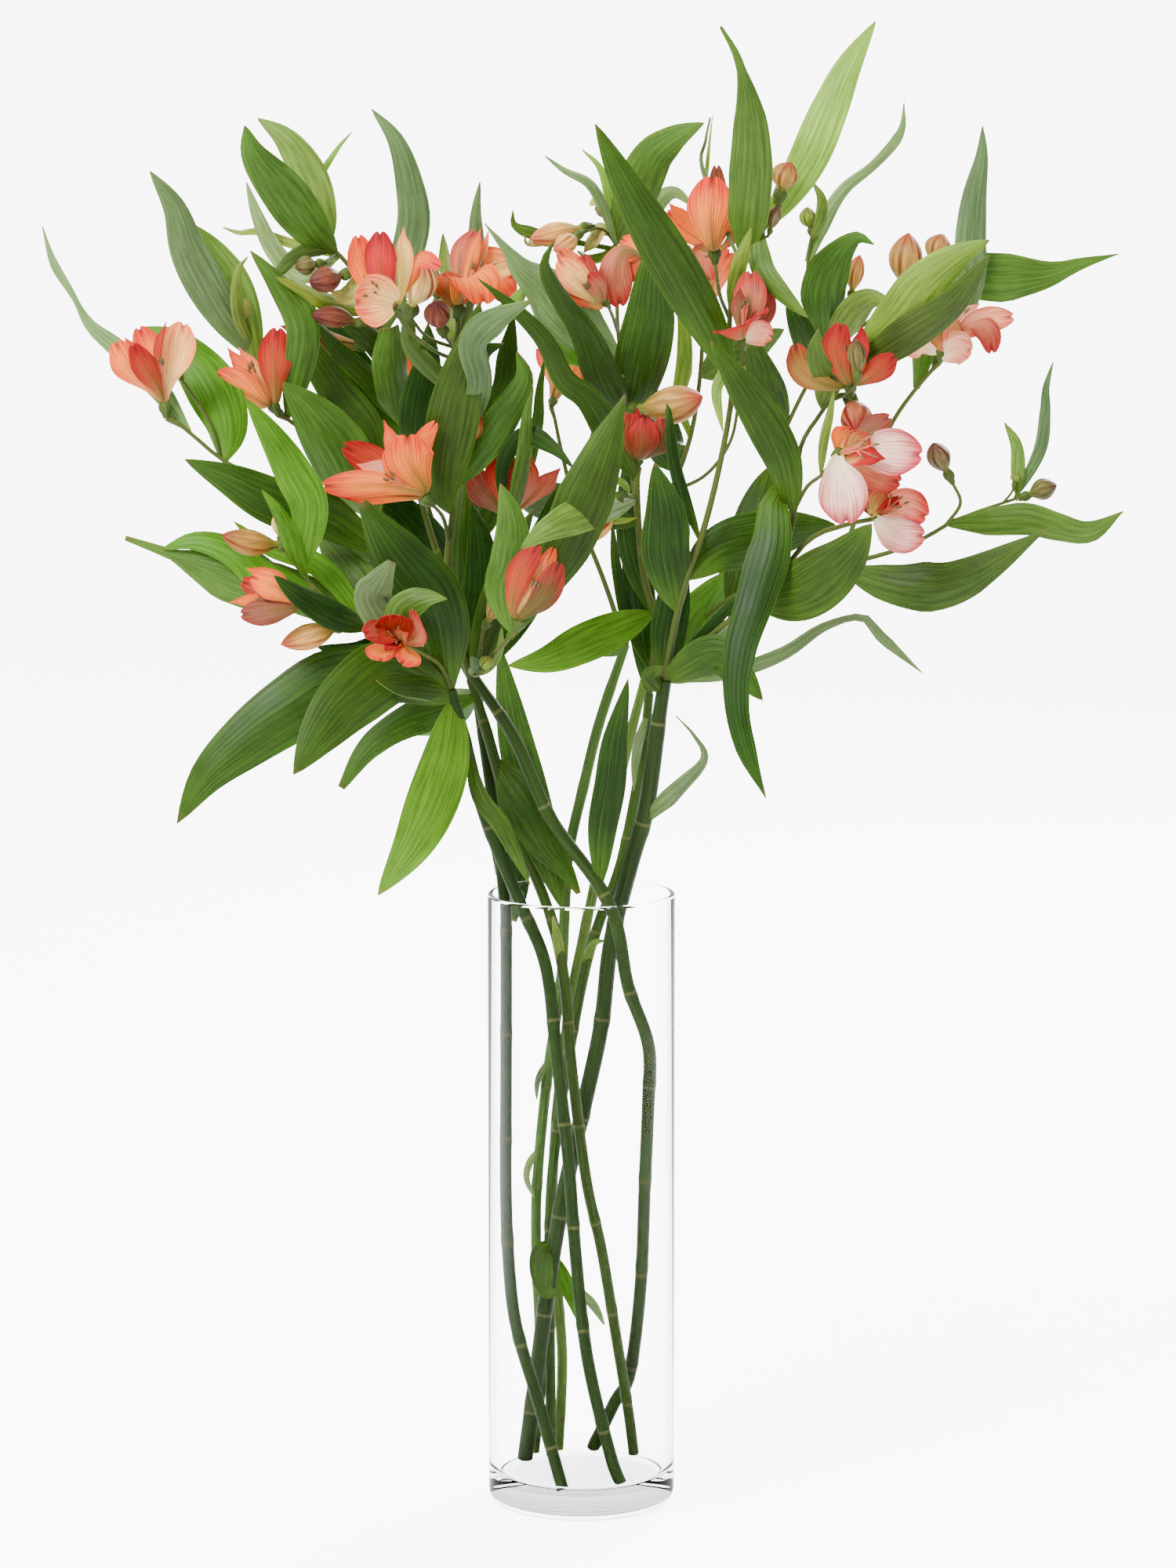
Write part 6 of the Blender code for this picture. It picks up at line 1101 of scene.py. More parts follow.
# %% Make the leaf and stem finishes
def make_leaf_finish():
    bench = start_finish("leaf_blade", 0.38, 60.0)
    tree = bench.tree
    bold = placed_group(bench, LINES, Count=1.0, Width=0.13, Wander=0.20)
    fine = placed_group(bench, LINES, Count=5.0, Width=0.55, Wander=0.08)
    # Broad lighter and darker patches along the blade: partly uneven tone of the blade and partly painted
    # sheen
    sheen_patch = placed_group(bench, STREAKS, Count=0.9, Length=1.6)
    colour = shaded(bench, bench.tone, bench.mottle, 0.74, 1.28)
    colour = shaded(bench, colour, sheen_patch.outputs["Streak"], 0.76, 1.26)
    colour = shaded(bench, colour, fine.outputs["Line"], 1.06, 0.78)
    paler = mixed(bench, "ADD", 1.0, colour, VEIN_GLOW)
    colour = mixed(bench, "MIX", times(tree, bold.outputs["Line"], 0.62), colour, paler)
    tree.links.new(ranged(tree, bench.mottle, 0.3, 0.7, 0.32, 0.46), bench.shader.inputs["Roughness"])
    height = sums(tree, "ADD", bold.outputs["Ridge"], times(tree, fine.outputs["Ridge"], 0.3))
    glow_through(bench, 0.15, (0.6, 1.0, 0.2))
    return end_finish(bench, colour, height, relief=0.0004, strength=0.35)


def make_stem_finish():
    bench = start_finish("stem_skin", 0.40, 90.0)
    tree = bench.tree
    streak = placed_group(bench, STREAKS, Count=6.0, Length=0.6)
    colour = shaded(bench, bench.tone, streak.outputs["Streak"], 0.75, 1.30)
    along = sums(tree, "FRACT", split(tree, bench.surface)["Y"])
    away = sums(tree, "ABSOLUTE", sums(tree, "SUBTRACT", along, 0.5))
    ring = ranged(tree, away, 0.010, 0.022, 1.0, 0.0)
    colour = mixed(bench, "MIX", times(tree, ring, 0.5), colour, SCAR_TONE)
    height = sums(tree, "ADD", ring, times(tree, streak.outputs["Streak"], 0.3))
    return end_finish(bench, colour, height, relief=0.0003, strength=0.5)


LEAF_BLADE = make_leaf_finish()
STEM_SKIN = make_stem_finish()
print("finishes:", LEAF_BLADE.name, STEM_SKIN.name)

# %% [markdown]
# ## Petal, bud and stamen finishes
#
# Petals are soft and matt, streaked lengthwise, and the inner ones carry short maroon dashes that lead
# insects to the throat. The dashes are parallel lines broken up by noise. A bud shows the closed petals'
# stripes. Filaments are smooth and pink, and the anthers at their ends are dull.

# %% Make the flower finishes
def make_petal_finish(name, dashed=False, ribbed=False):
    bench = start_finish(name, 0.46, 70.0)
    tree = bench.tree
    along = split(tree, bench.surface)["Y"]
    streak = placed_group(bench, STREAKS, Count=9.0, Length=0.8)
    flush = placed_group(bench, STREAKS, Count=3.2, Length=1.4)
    vein = placed_group(bench, LINES, Count=15.0, Width=0.38, Wander=0.09)
    colour = shaded(bench, bench.tone, bench.mottle, 0.90, 1.08)
    colour = shaded(bench, colour, streak.outputs["Streak"], 0.78, 1.14)
    redder = mixed(bench, "MULTIPLY", 1.0, colour, FLUSH_FACTOR)
    share = times(tree, flush.outputs["Streak"], ranged(tree, along, 0.30, 0.95, 0.05, 0.75))
    colour = mixed(bench, "MIX", share, colour, redder)
    deeper = mixed(bench, "MULTIPLY", 1.0, colour, VEIN_FACTOR)
    colour = mixed(bench, "MIX", times(tree, vein.outputs["Line"], 0.85), colour, deeper)
    if ribbed:
        rib = placed_group(bench, LINES, Count=7.0, Width=0.34, Wander=0.06)
        share = times(tree, rib.outputs["Line"], ranged(tree, along, 0.20, 0.78, 0.90, 0.0))
        colour = mixed(bench, "MIX", share, colour, RIB_OLIVE)
    if dashed:
        dash = placed_group(bench, LINES, Count=6.0, Width=0.34, Wander=0.10)
        broken = placed_group(bench, STREAKS, Count=7.0, Length=7.0)
        reach = times(tree, ranged(tree, along, 0.22, 0.34, 0.0, 1.0),
                      ranged(tree, along, 0.72, 0.86, 1.0, 0.0))
        mark = times(tree, dash.outputs["Line"],
                     ranged(tree, broken.outputs["Streak"], 0.45, 0.60, 0.0, 1.0))
        colour = mixed(bench, "MIX", times(tree, mark, reach), colour, DASH_MAROON)
    glow_through(bench, 0.35, (1.0, 0.35, 0.25))
    crinkle = sums(tree, "ADD", vein.outputs["Ridge"], times(tree, bench.mottle, 3.0))
    return end_finish(bench, colour, crinkle, relief=0.0004, strength=0.35)


def make_bud_finish():
    bench = start_finish("bud_skin", 0.40, 120.0)
    stripe = placed_group(bench, LINES, Count=10.0, Width=0.70, Wander=0.05)
    streak = placed_group(bench, STREAKS, Count=12.0, Length=1.6)
    colour = shaded(bench, bench.tone, streak.outputs["Streak"], 0.78, 1.25)
    deeper = mixed(bench, "MULTIPLY", 1.0, colour, STRIPE_FACTOR)
    colour = mixed(bench, "MIX", stripe.outputs["Line"], colour, deeper)
    return end_finish(bench, colour, stripe.outputs["Ridge"], relief=0.0003, strength=0.5)


def make_filament_finish():
    bench = start_finish("filament", 0.45, 300.0)
    colour = shaded(bench, bench.tone, bench.mottle, 0.85, 1.15)
    return end_finish(bench, colour, bench.mottle, relief=0.0001, strength=0.3)


PETAL_OUTSIDE = make_petal_finish("petal_outside", ribbed=True)
PETAL_INSIDE = make_petal_finish("petal_inside")
PETAL_DASHED = make_petal_finish("petal_dashed", dashed=True)
BUD_SKIN = make_bud_finish()
FILAMENT = make_filament_finish()
FINISHES = [LEAF_BLADE, STEM_SKIN, PETAL_OUTSIDE, PETAL_INSIDE, PETAL_DASHED, BUD_SKIN, FILAMENT]
print("finishes:", [finish.name for finish in FINISHES[2:]])

# %% [markdown]
# ## Laying a grid on a surface
#
# A leaf, a petal and a bud can all begin as one flat grid. Its points are laid on a surface given as a rule
# of two numbers: u across and v along, each from 0 to 1. The grid brings its UV map with it, so the veins
# follow for free.

# %% Lay a grid
def start_piece():
    piece = bmesh.new()
    piece.loops.layers.uv.new("surface")
    piece.verts.layers.float_color.new("tone")
    return piece


def lay_grid(piece, shape, across, along, tone, finish, stretch=(1.0, 1.0)):
    """A grid laid on shape(u, v) and toned by tone(u, v). Its UV map is stretched from its middle line."""
    grid = bmesh.ops.create_grid(piece, x_segments=across, y_segments=along, size=0.5, calc_uvs=True)
    made = grid["verts"]
    faces = list(dict.fromkeys(face for vert in made for face in vert.link_faces))
    tones = piece.verts.layers.float_color["tone"]
    surface = piece.loops.layers.uv["surface"]
    for vert in made:
        u, v = vert.co.x + 0.5, vert.co.y + 0.5
        vert[tones] = (*tone(u, v), 1.0)
        vert.co = shape(u, v)
    for face in faces:
        face.material_index = FINISHES.index(finish)
        face.smooth = True
        for loop in face.loops:
            u, v = loop[surface].uv
            loop[surface].uv = ((u - 0.5) * stretch[0], v * stretch[1])
    return made, faces


print("a grid keeps its tone in a vertex attribute and its lines in a UV map")

# %% [markdown]
# ## Blades and tubes
#
# A copy of the grid, laid behind it and bridged along the rim, gives a blade its thickness, with a finish
# of its own on each face. A grid rolled round a path, with its seam and its ends merged, makes a closed
# tube for a stem, a bud or a filament.

# %% Make blades and tubes
SEAM = 1e-7


def lay_blade(piece, shape, across, along, outer, inner, wall, stretch=(1.0, 1.0)):
    """A closed blade. Outer is the (tone rule, finish) of the grid's own face, inner that of the other."""
    made, faces = lay_grid(piece, shape, across, along, outer[0], outer[1], stretch)
    for face in faces:
        face.normal_update()
    for vert in made:
        vert.normal_update()
    tones = piece.verts.layers.float_color["tone"]
    surface = piece.loops.layers.uv["surface"]
    copied = bmesh.ops.duplicate(piece, geom=made + faces)
    for vert in made:
        copied["vert_map"][vert].co = vert.co - vert.normal * wall
    linings = [part for part in copied["geom"] if isinstance(part, bmesh.types.BMFace)]
    for lining in linings:
        lining.material_index = FINISHES.index(inner[1])
        for loop in lining.loops:
            u, v = loop[surface].uv
            loop.vert[tones] = (*inner[0](u / stretch[0] + 0.5, v / stretch[1]), 1.0)
    bmesh.ops.reverse_faces(piece, faces=linings)
    rims = {edge for face in faces + linings for edge in face.edges if edge.is_boundary}
    for face in bmesh.ops.bridge_loops(piece, edges=list(rims))["faces"]:
        face.material_index = FINISHES.index(outer[1])
        face.smooth = True


def lay_tube(piece, path, radii, sides, tone, finish, stretch=(1.0, 1.0), ribs=(0, 0.0)):
    """A closed round tube along a path; ribs are their number and how far they stand out, as a share."""
    aims = directions(path)
    side = aims[0].orthogonal().normalized()
    frames = []
    for aim in aims:
        side = (side - aim * side.dot(aim)).normalized()
        frames.append((side, aim.cross(side)))
    last = len(path) - 1

    def shape(u, v):
        ring = round(v * (last + 2)) - 1
        i = min(max(ring, 0), last)
        radius = radii[i] if ring == i else 0.0
        turn = 2 * math.pi * u
        radius *= 1 + ribs[1] * math.cos(ribs[0] * turn)
        first, second = frames[i]
        return path[i] + (first * math.cos(turn) + second * math.sin(turn)) * radius

    made, faces = lay_grid(piece, shape, sides, last + 2, tone, finish, stretch)
    bmesh.ops.remove_doubles(piece, verts=made, dist=SEAM)


def plain(colour):
    """A tone rule that is one colour all over."""
    return lambda u, v: colour


print("seams closer than", SEAM, "m are merged")

# %% [markdown]
# ## From shapes to a named piece
#
# Everything that grew together is laid into one mesh, which then stands in for its solid of the frame. It
# gets all the finishes of the plant, and each face picks its own by number.

# %% Turn shapes into a piece
SHARP_FROM = 60


def mesh_of(name, shape):
    """A mesh with the shape's faces; the shape itself is let go."""
    mesh = bpy.data.meshes.new(name)
    shape.to_mesh(mesh)
    shape.free()
    return mesh


def finish_piece(name, piece, node, slot):
    """Turn the laid surfaces into one named piece that replaces its solid."""
    bmesh.ops.recalc_face_normals(piece, faces=piece.faces)
    mesh = mesh_of(name, piece)
    for finish in FINISHES:
        mesh.materials.append(finish)
    mesh.set_sharp_from_angle(angle=math.radians(SHARP_FROM))
    made = placed(name, mesh)
    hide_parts(node)
    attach(made, "root")
    return made


print("edges sharper than", SHARP_FROM, "degrees stay sharp")

# %% [markdown]
# ## How deep and how wide a leaf is
#
# Each leaf is noted from its tip to its base, with its width in pixels and how far it rolls. Its frame
# solid may stand a few millimetres nearer or further than the note says, because it was moved to clear its
# neighbours. The solid's tip is a sharp point, so the leaf looks for the depth at which its own tip meets
# it.

# %% Measure a leaf
PICTURE_SCALE = 0.418
DEPTH_STEP = 7
DEPTH_TRIES = 12


def stem_of(stalk):
    """The cut stem that a ray, or the ray it forks from, grows on."""
    return stalk if stalk in STEMS else stem_of(RAYS[stalk].parent)


def settled_depth(leaf):
    """The depth in mm at which the leaf's tip meets its frame solid, and how far off it still is."""
    cloud = CLOUDS[stem_of(leaf.ray)]
    tries = [leaf.depth + k * DEPTH_STEP for k in range(-DEPTH_TRIES, DEPTH_TRIES + 1)]
    return min((cloud.find(at(*leaf.spine[0], depth))[2], depth) for depth in tries)[::-1]


def leaf_half(leaf, t):
    """Half of a leaf's width at fraction t from base to tip, in metres."""
    if isinstance(leaf.width, tuple):
        pixels = at_fraction(list(reversed(leaf.width)), t)
    else:
        pixels = leaf.width * max(0.10 * (1 - t), math.sin(math.pi * t ** 0.85) ** 0.8)
    return max(pixels * PICTURE_SCALE / 2, 0.5 * (1 - t) + 0.12) * MM


print("the first leaf is", round(2000 * max(leaf_half(LEAVES[0], k / 10) for k in range(11))), "mm wide")

# %% [markdown]
# ## Leaves
#
# A leaf's blade sags along its midrib, its margins wave a little, and its tip is drawn out to a fine point.
# It is pale at its foot, bright at its margin and often withered at the very tip, and its back is duller
# than its front.

# %% Shape a leaf
LEAF_WALL = 0.0005
LEAF_ACROSS = 8
LEAF_ALONG = 26
LEAF_KEEL = 0.24
LEAF_FOLD = 1.5
LEAF_WAVE = 0.10
DEPTH_CURVE = 0.8
UNDERSIDE_SHARE = 0.55
WARMTH_SPREAD = 0.25
VEIN_SPACING = 3.8


def lay_leaf(piece, leaf, number):
    depth, miss = settled_depth(leaf) if number < len(LEAVES) else (leaf.depth, 0.0)
    pixels = list(reversed(leaf.spine))
    base = seat_on(leaf.ray, *pixels[0])
    runs = [0.0]
    for p, q in zip(pixels, pixels[1:]):
        runs.append(runs[-1] + math.hypot(q[0] - p[0], q[1] - p[1]))
    points = [base]
    start = base.y / MM
    for pixel, run in zip(pixels[1:], runs[1:]):
        points.append(at(pixel[0], pixel[1], start + (depth - start) * (run / runs[-1]) ** DEPTH_CURVE))
    path = smooth_path(points, LEAF_ALONG)
    aims = directions(path)
    chance = random.Random(number)
    phase, waves = chance.random(), 1.2 + chance.random()
    keel = LEAF_KEEL * (0.5 + chance.random())
    frames = []
    for i, place in enumerate(path):
        t = i / LEAF_ALONG
        roll = math.radians(leaf.roll[1] + (leaf.roll[0] - leaf.roll[1]) * t)
        across = Matrix.Rotation(roll, 3, aims[i]) @ aims[i].cross((place - EYE).normalized()).normalized()
        frames.append((across, across.cross(aims[i]).normalized(), leaf_half(leaf, t) / math.cos(roll)))

    def shape(u, v):
        i = round(v * LEAF_ALONG)
        across, normal, half = frames[i]
        edge = 2 * u - 1
        wave = math.sin(2 * math.pi * (v * waves + phase + 0.2 * math.copysign(1, edge))) * edge * edge
        lift = LEAF_WAVE * wave * ease(0.05, 0.3, v) - keel * (1 - abs(edge) ** LEAF_FOLD)
        return path[i] + across * (half * edge) + normal * (half * lift + LEAF_WALL / 2)

    front = LEAF_TONES[leaf.tone]
    back = blend(front, UNDERSIDE, UNDERSIDE_SHARE)
    warm = 1 + WARMTH_SPREAD * (chance.random() - 0.5)
    front = (front[0] * warm, front[1], front[2])

    def tone(colour):
        bright = blend(tuple(1.5 * part for part in colour), YOUNG_FOOT, 0.3)

        def rule(u, v):
            edge = abs(2 * u - 1)
            made = blend(YOUNG_FOOT, colour, ease(0.0, 0.35, v) * 0.4 + 0.6)
            made = blend(made, bright, 0.35 * ease(0.70, 1.0, edge) + 0.45 * ease(0.65, 1.0, v))
            return blend(made, WITHERED, ease(0.96, 1.0, v) * 0.7)
        return rule

    veins = 2 * max(1, round(max(half for _, _, half in frames) / (VEIN_SPACING * MM))) + 1
    lay_blade(piece, shape, LEAF_ACROSS, LEAF_ALONG, (tone(back), LEAF_BLADE), (tone(front), LEAF_BLADE),
              LEAF_WALL, (veins, 1.0))
    return miss


print("a leaf has", 2 * LEAF_ACROSS * LEAF_ALONG + 2 * (LEAF_ACROSS + LEAF_ALONG), "faces")

# %% [markdown]
# ## Stems, rays and ovaries
#
# A stem is a smooth tube that swells slightly at each old leaf scar. Under every flower and bud the ray
# ends in an ovary, a small green top with six ribs. Stem, rays, leaves and ovaries grew as one plant, so
# they are one piece for each cut stem.

# %% Grow the leafy stems
STEM_SIDES = 14
RAY_SIDES = 8
RAY_ALONG = 22
OVARY_SIDES = 24
OVARY_RIBS = (6, 0.07)
SCAR_SPACING = 0.055
OVARY_SHARE = 0.30
OVARY_LEAST = 0.003
OVARY_MOST = 0.007
OVARY_OF_WIDTH = 0.45
NECK_LENGTH = 0.002
NECK_SHARE = 0.13
OVARY_PROFILE = ((-0.30, 0.13), (0.0, 0.16), (0.3, 0.23), (0.6, 0.245), (0.85, 0.21), (1.0, 0.15))


def head_frame(ray, base, aim):
    """Where a flower or bud sits: its base, and the direction that it looks in."""
    foot = at(base[0], base[1], PATHS[ray][-1].y / MM)
    return foot, (at(*aim) - foot).normalized()


def ovary_length(width):
    return min(max(width * OVARY_OF_WIDTH, OVARY_LEAST), OVARY_MOST)


def length_of(path):
    return sum((q - p).length for p, q in zip(path, path[1:]))


def lay_stem(piece, name):
    path = PATHS[name]
    half = STEMS[name].thick / 2 * MM
    scars = length_of(path) / SCAR_SPACING

    def radius(i):
        away = abs((i / PATH_STEPS * scars) % 1 - 0.5)
        return half * (0.84 + 0.16 * ease(0, 0.1, i / PATH_STEPS)) * (1 + 0.10 * ease(0.09, 0.0, away))

    radii = [radius(i) for i in range(PATH_STEPS + 1)]
    lay_tube(piece, path, radii, STEM_SIDES, plain(STEM_TONES[name]), STEM_SKIN, (3.0, scars))


def lay_ray(piece, name):
    ray = RAYS[name]
    path = smooth_path([PATHS[name][k] for k in range(0, PATH_STEPS + 1, 6)], RAY_ALONG)
    thick, thin = (size / 2 * MM for size in ray.thick)
    radii = [thick + (thin - thick) * i / RAY_ALONG for i in range(RAY_ALONG + 1)]
    start = blend(STEM_TONES[stem_of(name)], RAY_TONE, 0.5)
    if name in HEADS:
        foot, axis, width = HEADS[name]
        path = path[:-1] + [foot - axis * NECK_LENGTH]
        radii[-1] = max(width * NECK_SHARE, thin)
    lay_tube(piece, path, radii, RAY_SIDES, lambda u, v: blend(start, RAY_TONE, v), STEM_SKIN, (2.0, 0.8))
    if name in HEADS:
        length = ovary_length(width)
        places = [foot + axis * length * along for along, _ in OVARY_PROFILE]
        radii = [width * share for _, share in OVARY_PROFILE]
        lay_tube(piece, places, radii, OVARY_SIDES, plain(OVARY_TONE), STEM_SKIN, (3.0, 0.3), OVARY_RIBS)


HEADS = {}
for bloom in BLOOMS.values():
    HEADS[bloom.ray] = (*head_frame(bloom.ray, bloom.base, bloom.aim), bloom.size * OVARY_SHARE * MM)
for bud in BUDS.values():
    HEADS[bud.ray] = (*head_frame(bud.ray, bud.base, bud.tip), bud.width * MM)

print("heads:", len(HEADS), "rays carry a flower or a bud")

# %% [markdown]
# ## Buds
#
# A closed bud is a spindle of three petals folded round each other: fullest just above its middle, with
# three soft seams, greenish where it leaves the ovary and reddest at its tip. The small buds belong to their
# leafy stem. The large ones, which each have a solid in the frame, are pieces of their own.

# %% Shape the buds
BUD_SIDES = 24
BUD_ALONG = 14
BUD_SEAMS = (3, 0.05)
BUD_SINK = 0.0005
BUD_BEND = 0.10
SMALL_BUDS = [name for name, bud in BUDS.items() if name not in frame["nodes"]]


def lay_bud(piece, name):
    bud = BUDS[name]
    foot, axis, width = HEADS[bud.ray]
    foot = foot + axis * (ovary_length(width) - BUD_SINK)
    length = (at(*bud.tip) - foot).length
    side = axis.orthogonal().normalized()
    chance = random.Random(name)
    bend = side * (chance.random() - 0.5) + axis.cross(side) * (chance.random() - 0.5)
    bend *= length * BUD_BEND
    path = []
    radii = []
    for i in range(BUD_ALONG + 1):
        t = i / BUD_ALONG
        path.append(foot + axis * length * t + bend * math.sin(math.pi * t))
        full = max(0.34 * (1 - t), math.sin(math.pi * t ** 1.05) ** 0.72)
        radii.append(width / 2 * max(full, 0.05))
    base, body, tip = BUD_LOOKS[bud.look]

    def tone(u, v):
        colour = blend(base, body, ease(0.02, 0.45, v))
        return blend(colour, tip, ease(0.62, 0.98, v))

    lay_tube(piece, path, radii, BUD_SIDES, tone, BUD_SKIN, ribs=BUD_SEAMS)


def frame_slot(node):
    """The material slot that the frame's record gives a node."""
    return next(part["material_slot"] for part in frame["record"]["subparts"] if part["node"] == node)


print("small buds:", len(SMALL_BUDS))

# %% [markdown]
# ## Bring stems, leaves and buds together
#
# Each leafy stem gathers its rays, its leaves and its small buds into one piece. The corners of the frame's
# own stems are sorted first, so that a leaf's tip can be looked up among them.

# %% Build the leafy stems and the large buds
CLOUDS = {}
for name in STEMS:
    corners = frame["nodes"]["leafy_stem_" + name].data.vertices
    CLOUDS[name] = KDTree(len(corners))
    for number, corner in enumerate(corners):
        CLOUDS[name].insert(corner.co, number)
    CLOUDS[name].balance()

worst = 0.0
for name in STEMS:
    plant = start_piece()
    lay_stem(plant, name)
    for ray in RAYS:
        if stem_of(ray) == name:
            lay_ray(plant, ray)
    for number, leaf in enumerate(LEAVES + LESSER_LEAVES):
        if stem_of(leaf.ray) == name:
            worst = max(worst, lay_leaf(plant, leaf, number))
    for bud in SMALL_BUDS:
        if stem_of(BUDS[bud].ray) == name:
            lay_bud(plant, bud)
    made = finish_piece("stem_" + name + "_with_leaves", plant, "leafy_stem_" + name, "leaf_green")
    print(made.name, len(made.data.polygons), "faces")
print("leaf tips meet their solids within", round(worst / MM, 3), "mm")

for name in BUDS:
    if name not in SMALL_BUDS:
        closed = start_piece()
        lay_bud(closed, name)
        finish_piece("petals_of_" + name, closed, name, frame_slot(name))
print("buds:", len(BUDS) - len(SMALL_BUDS), "large and", len(SMALL_BUDS), "small")

# %% [markdown]
# ## The outline and colours of a petal
#
# An alstroemeria flower is a funnel of six petals in two rings. The three outer ones are broad, rounded and
# notched, with a small dark point. The three inner ones are narrower and pointed, yellow at the throat with
# maroon dashes.

# %% Draw a petal's outline and tone
RINGS = {"outer": (0.13, 0.24, 0.34, 0.48, 0.66, 0.84, 0.95, 1.0, 0.97, 0.82),
         "inner": (0.18, 0.30, 0.40, 0.53, 0.70, 0.88, 1.0, 0.96, 0.72, 0.22)}


def crown(ring, edge):
    """How far up its length a petal reaches, from its middle to its margin."""
    if ring == "outer":
        return 1 - 0.18 * abs(edge) ** 2.2 - 0.05 * math.exp(-(edge / 0.12) ** 2)
    return 1 - 0.10 * abs(edge) ** 1.4


def petal_tone(ring, look, outside, blush):
    base, body, tip = PETAL_LOOKS[look]
    if outside:
        base = blend(base, THROAT_OLIVE, 0.7)
    elif ring == "inner":
        base = blend(base, STRIPED_THROAT, 0.6)

    def rule(u, v):
        edge = abs(2 * u - 1)
        colour = blend(base, body, ease(0.12, 0.50 + 0.15 * (1 - edge), v + 0.12 * edge))
        colour = blend(colour, tip, ease(0.70, 1.05, v + blush + 0.08 * edge * edge))
        colour = blend(colour, tip, 0.65 * ease(0.72, 1.0, edge) * ease(0.3, 0.7, v))
        if outside:
            colour = blend(colour, THROAT_OLIVE, 0.55 * ease(0.24, 0.05, edge) * ease(0.9, 0.45, v))
        if ring == "outer":
            colour = blend(colour, DARK_POINT, 0.9 * ease(0.18, 0.04, edge) * ease(0.90, 0.97, v))
        return colour
    return rule


for ring, widths in RINGS.items():
    print(ring, "petals are widest at", round(widths.index(1.0) / (len(widths) - 1), 2), "of their length")

# %% [markdown]
# ## Petals
#
# A noted petal follows its own middle line, and its sides are carried back from the tip, so that it can
# fold over without twisting. All petals cup inwards low down, where they nest in each other, and ruffle
# towards the tip.

# %% Shape one petal
PETAL_WALL = 0.0004
PETAL_ACROSS = 12
PETAL_ALONG = 16
PETAL_NEST = 0.0006
PETAL_CUP = 0.50
PETAL_WAVE = 0.15


def carried_sides(aims, side):
    """The direction across a petal at each place, carried back from its tip."""
    sides = []
    for aim in reversed(aims):
        side = (side - aim * side.dot(aim)).normalized()
        sides.append(side)
    return sides[::-1]


def lay_petal(piece, path, side, width, ring, look, chance):
    aims = directions(path)
    sides = carried_sides(aims, side)
    phase = chance.random()
    nest = PETAL_NEST if ring == "outer" else -PETAL_NEST

    def shape(u, v):
        edge = 2 * u - 1
        t = v * crown(ring, edge)
        aim = at_fraction(aims, t).normalized()
        across = at_fraction(sides, t).normalized()
        half = at_fraction(RINGS[ring], v) * width / 2
        cup = PETAL_CUP * (1 - 0.9 * ease(0.15, 0.85, t)) * edge * edge
        turn = 2 * math.pi * (t * 1.7 + phase + 0.3 * math.copysign(1, edge))
        wave = PETAL_WAVE * math.sin(turn) * abs(edge) ** 3 * ease(0.4, 0.9, t)
        rib = 0.05 * math.exp(-(edge / 0.16) ** 2)
        lift = half * (wave + rib - cup) + nest
        return at_fraction(path, t) + across * (half * edge) + across.cross(aim) * lift

    blush = chance.uniform(-0.08, 0.10)
    lining = PETAL_DASHED if ring == "inner" else PETAL_INSIDE
    lay_blade(piece, shape, PETAL_ACROSS, PETAL_ALONG, (petal_tone(ring, look, True, blush), PETAL_OUTSIDE),
              (petal_tone(ring, look, False, blush), lining), PETAL_WALL)


def lay_noted_petal(piece, foot, petal, chance):
    """A petal along its noted middle line, turned about it."""
    depth = foot.y / MM
    path = smooth_path([foot] + [at(u, v, depth + behind) for u, v, behind in petal.path], PETAL_ALONG)
    aim = directions(path)[-1]
    side = aim.cross((path[-1] - EYE).normalized()).normalized()
    side = Matrix.Rotation(math.radians(petal.turn), 3, aim) @ side
    lay_petal(piece, path, side, petal.width * PICTURE_SCALE * MM, petal.ring, petal.look, chance)


print("a petal has", 2 * PETAL_ACROSS * PETAL_ALONG + 2 * (PETAL_ACROSS + PETAL_ALONG), "faces")

# %% [markdown]
# ## Arches and stamens
#
# A petal that wasn't noted rises up the funnel of the throat and then arches outwards, further in an open
# flower. Six stamens curve out of the throat, each a thin filament with a short anther at its end, and the
# style stands among them.

# %% Shape the arches and the stamens
THROAT_FOOT = 0.05
THROAT_RADIUS = 0.115
THROAT_HEIGHT = 0.24
FIRST_LEAN = 10
LAST_LEAN = 1.35
STAMENS = 6
FILAMENT_RADIUS = 0.00040
ANTHER_STEP = 0.0010
ANTHER_RADII = (0.0003, 0.0007, 0.0008, 0.0006, 0.0003)
OPEN_WIDE = 55


def petal_path(foot, axis, out, size, opening):
    """Middle line of a petal: up the funnel, then over in an arch."""
    place = foot + out * THROAT_FOOT * size
    path = [place]
    slope = math.degrees(math.atan2(THROAT_RADIUS - THROAT_FOOT, THROAT_HEIGHT))
    for k in range(PETAL_ALONG):
        t = (k + 0.5) / PETAL_ALONG
        free = max(0.0, (t - THROAT_HEIGHT) / (1 - THROAT_HEIGHT))
        lean = slope if t < THROAT_HEIGHT else FIRST_LEAN + (opening * LAST_LEAN - FIRST_LEAN) * free
        lean = math.radians(lean)
        place = place + (axis * math.cos(lean) + out * math.sin(lean)) * (size / PETAL_ALONG)
        path.append(place)
    return path


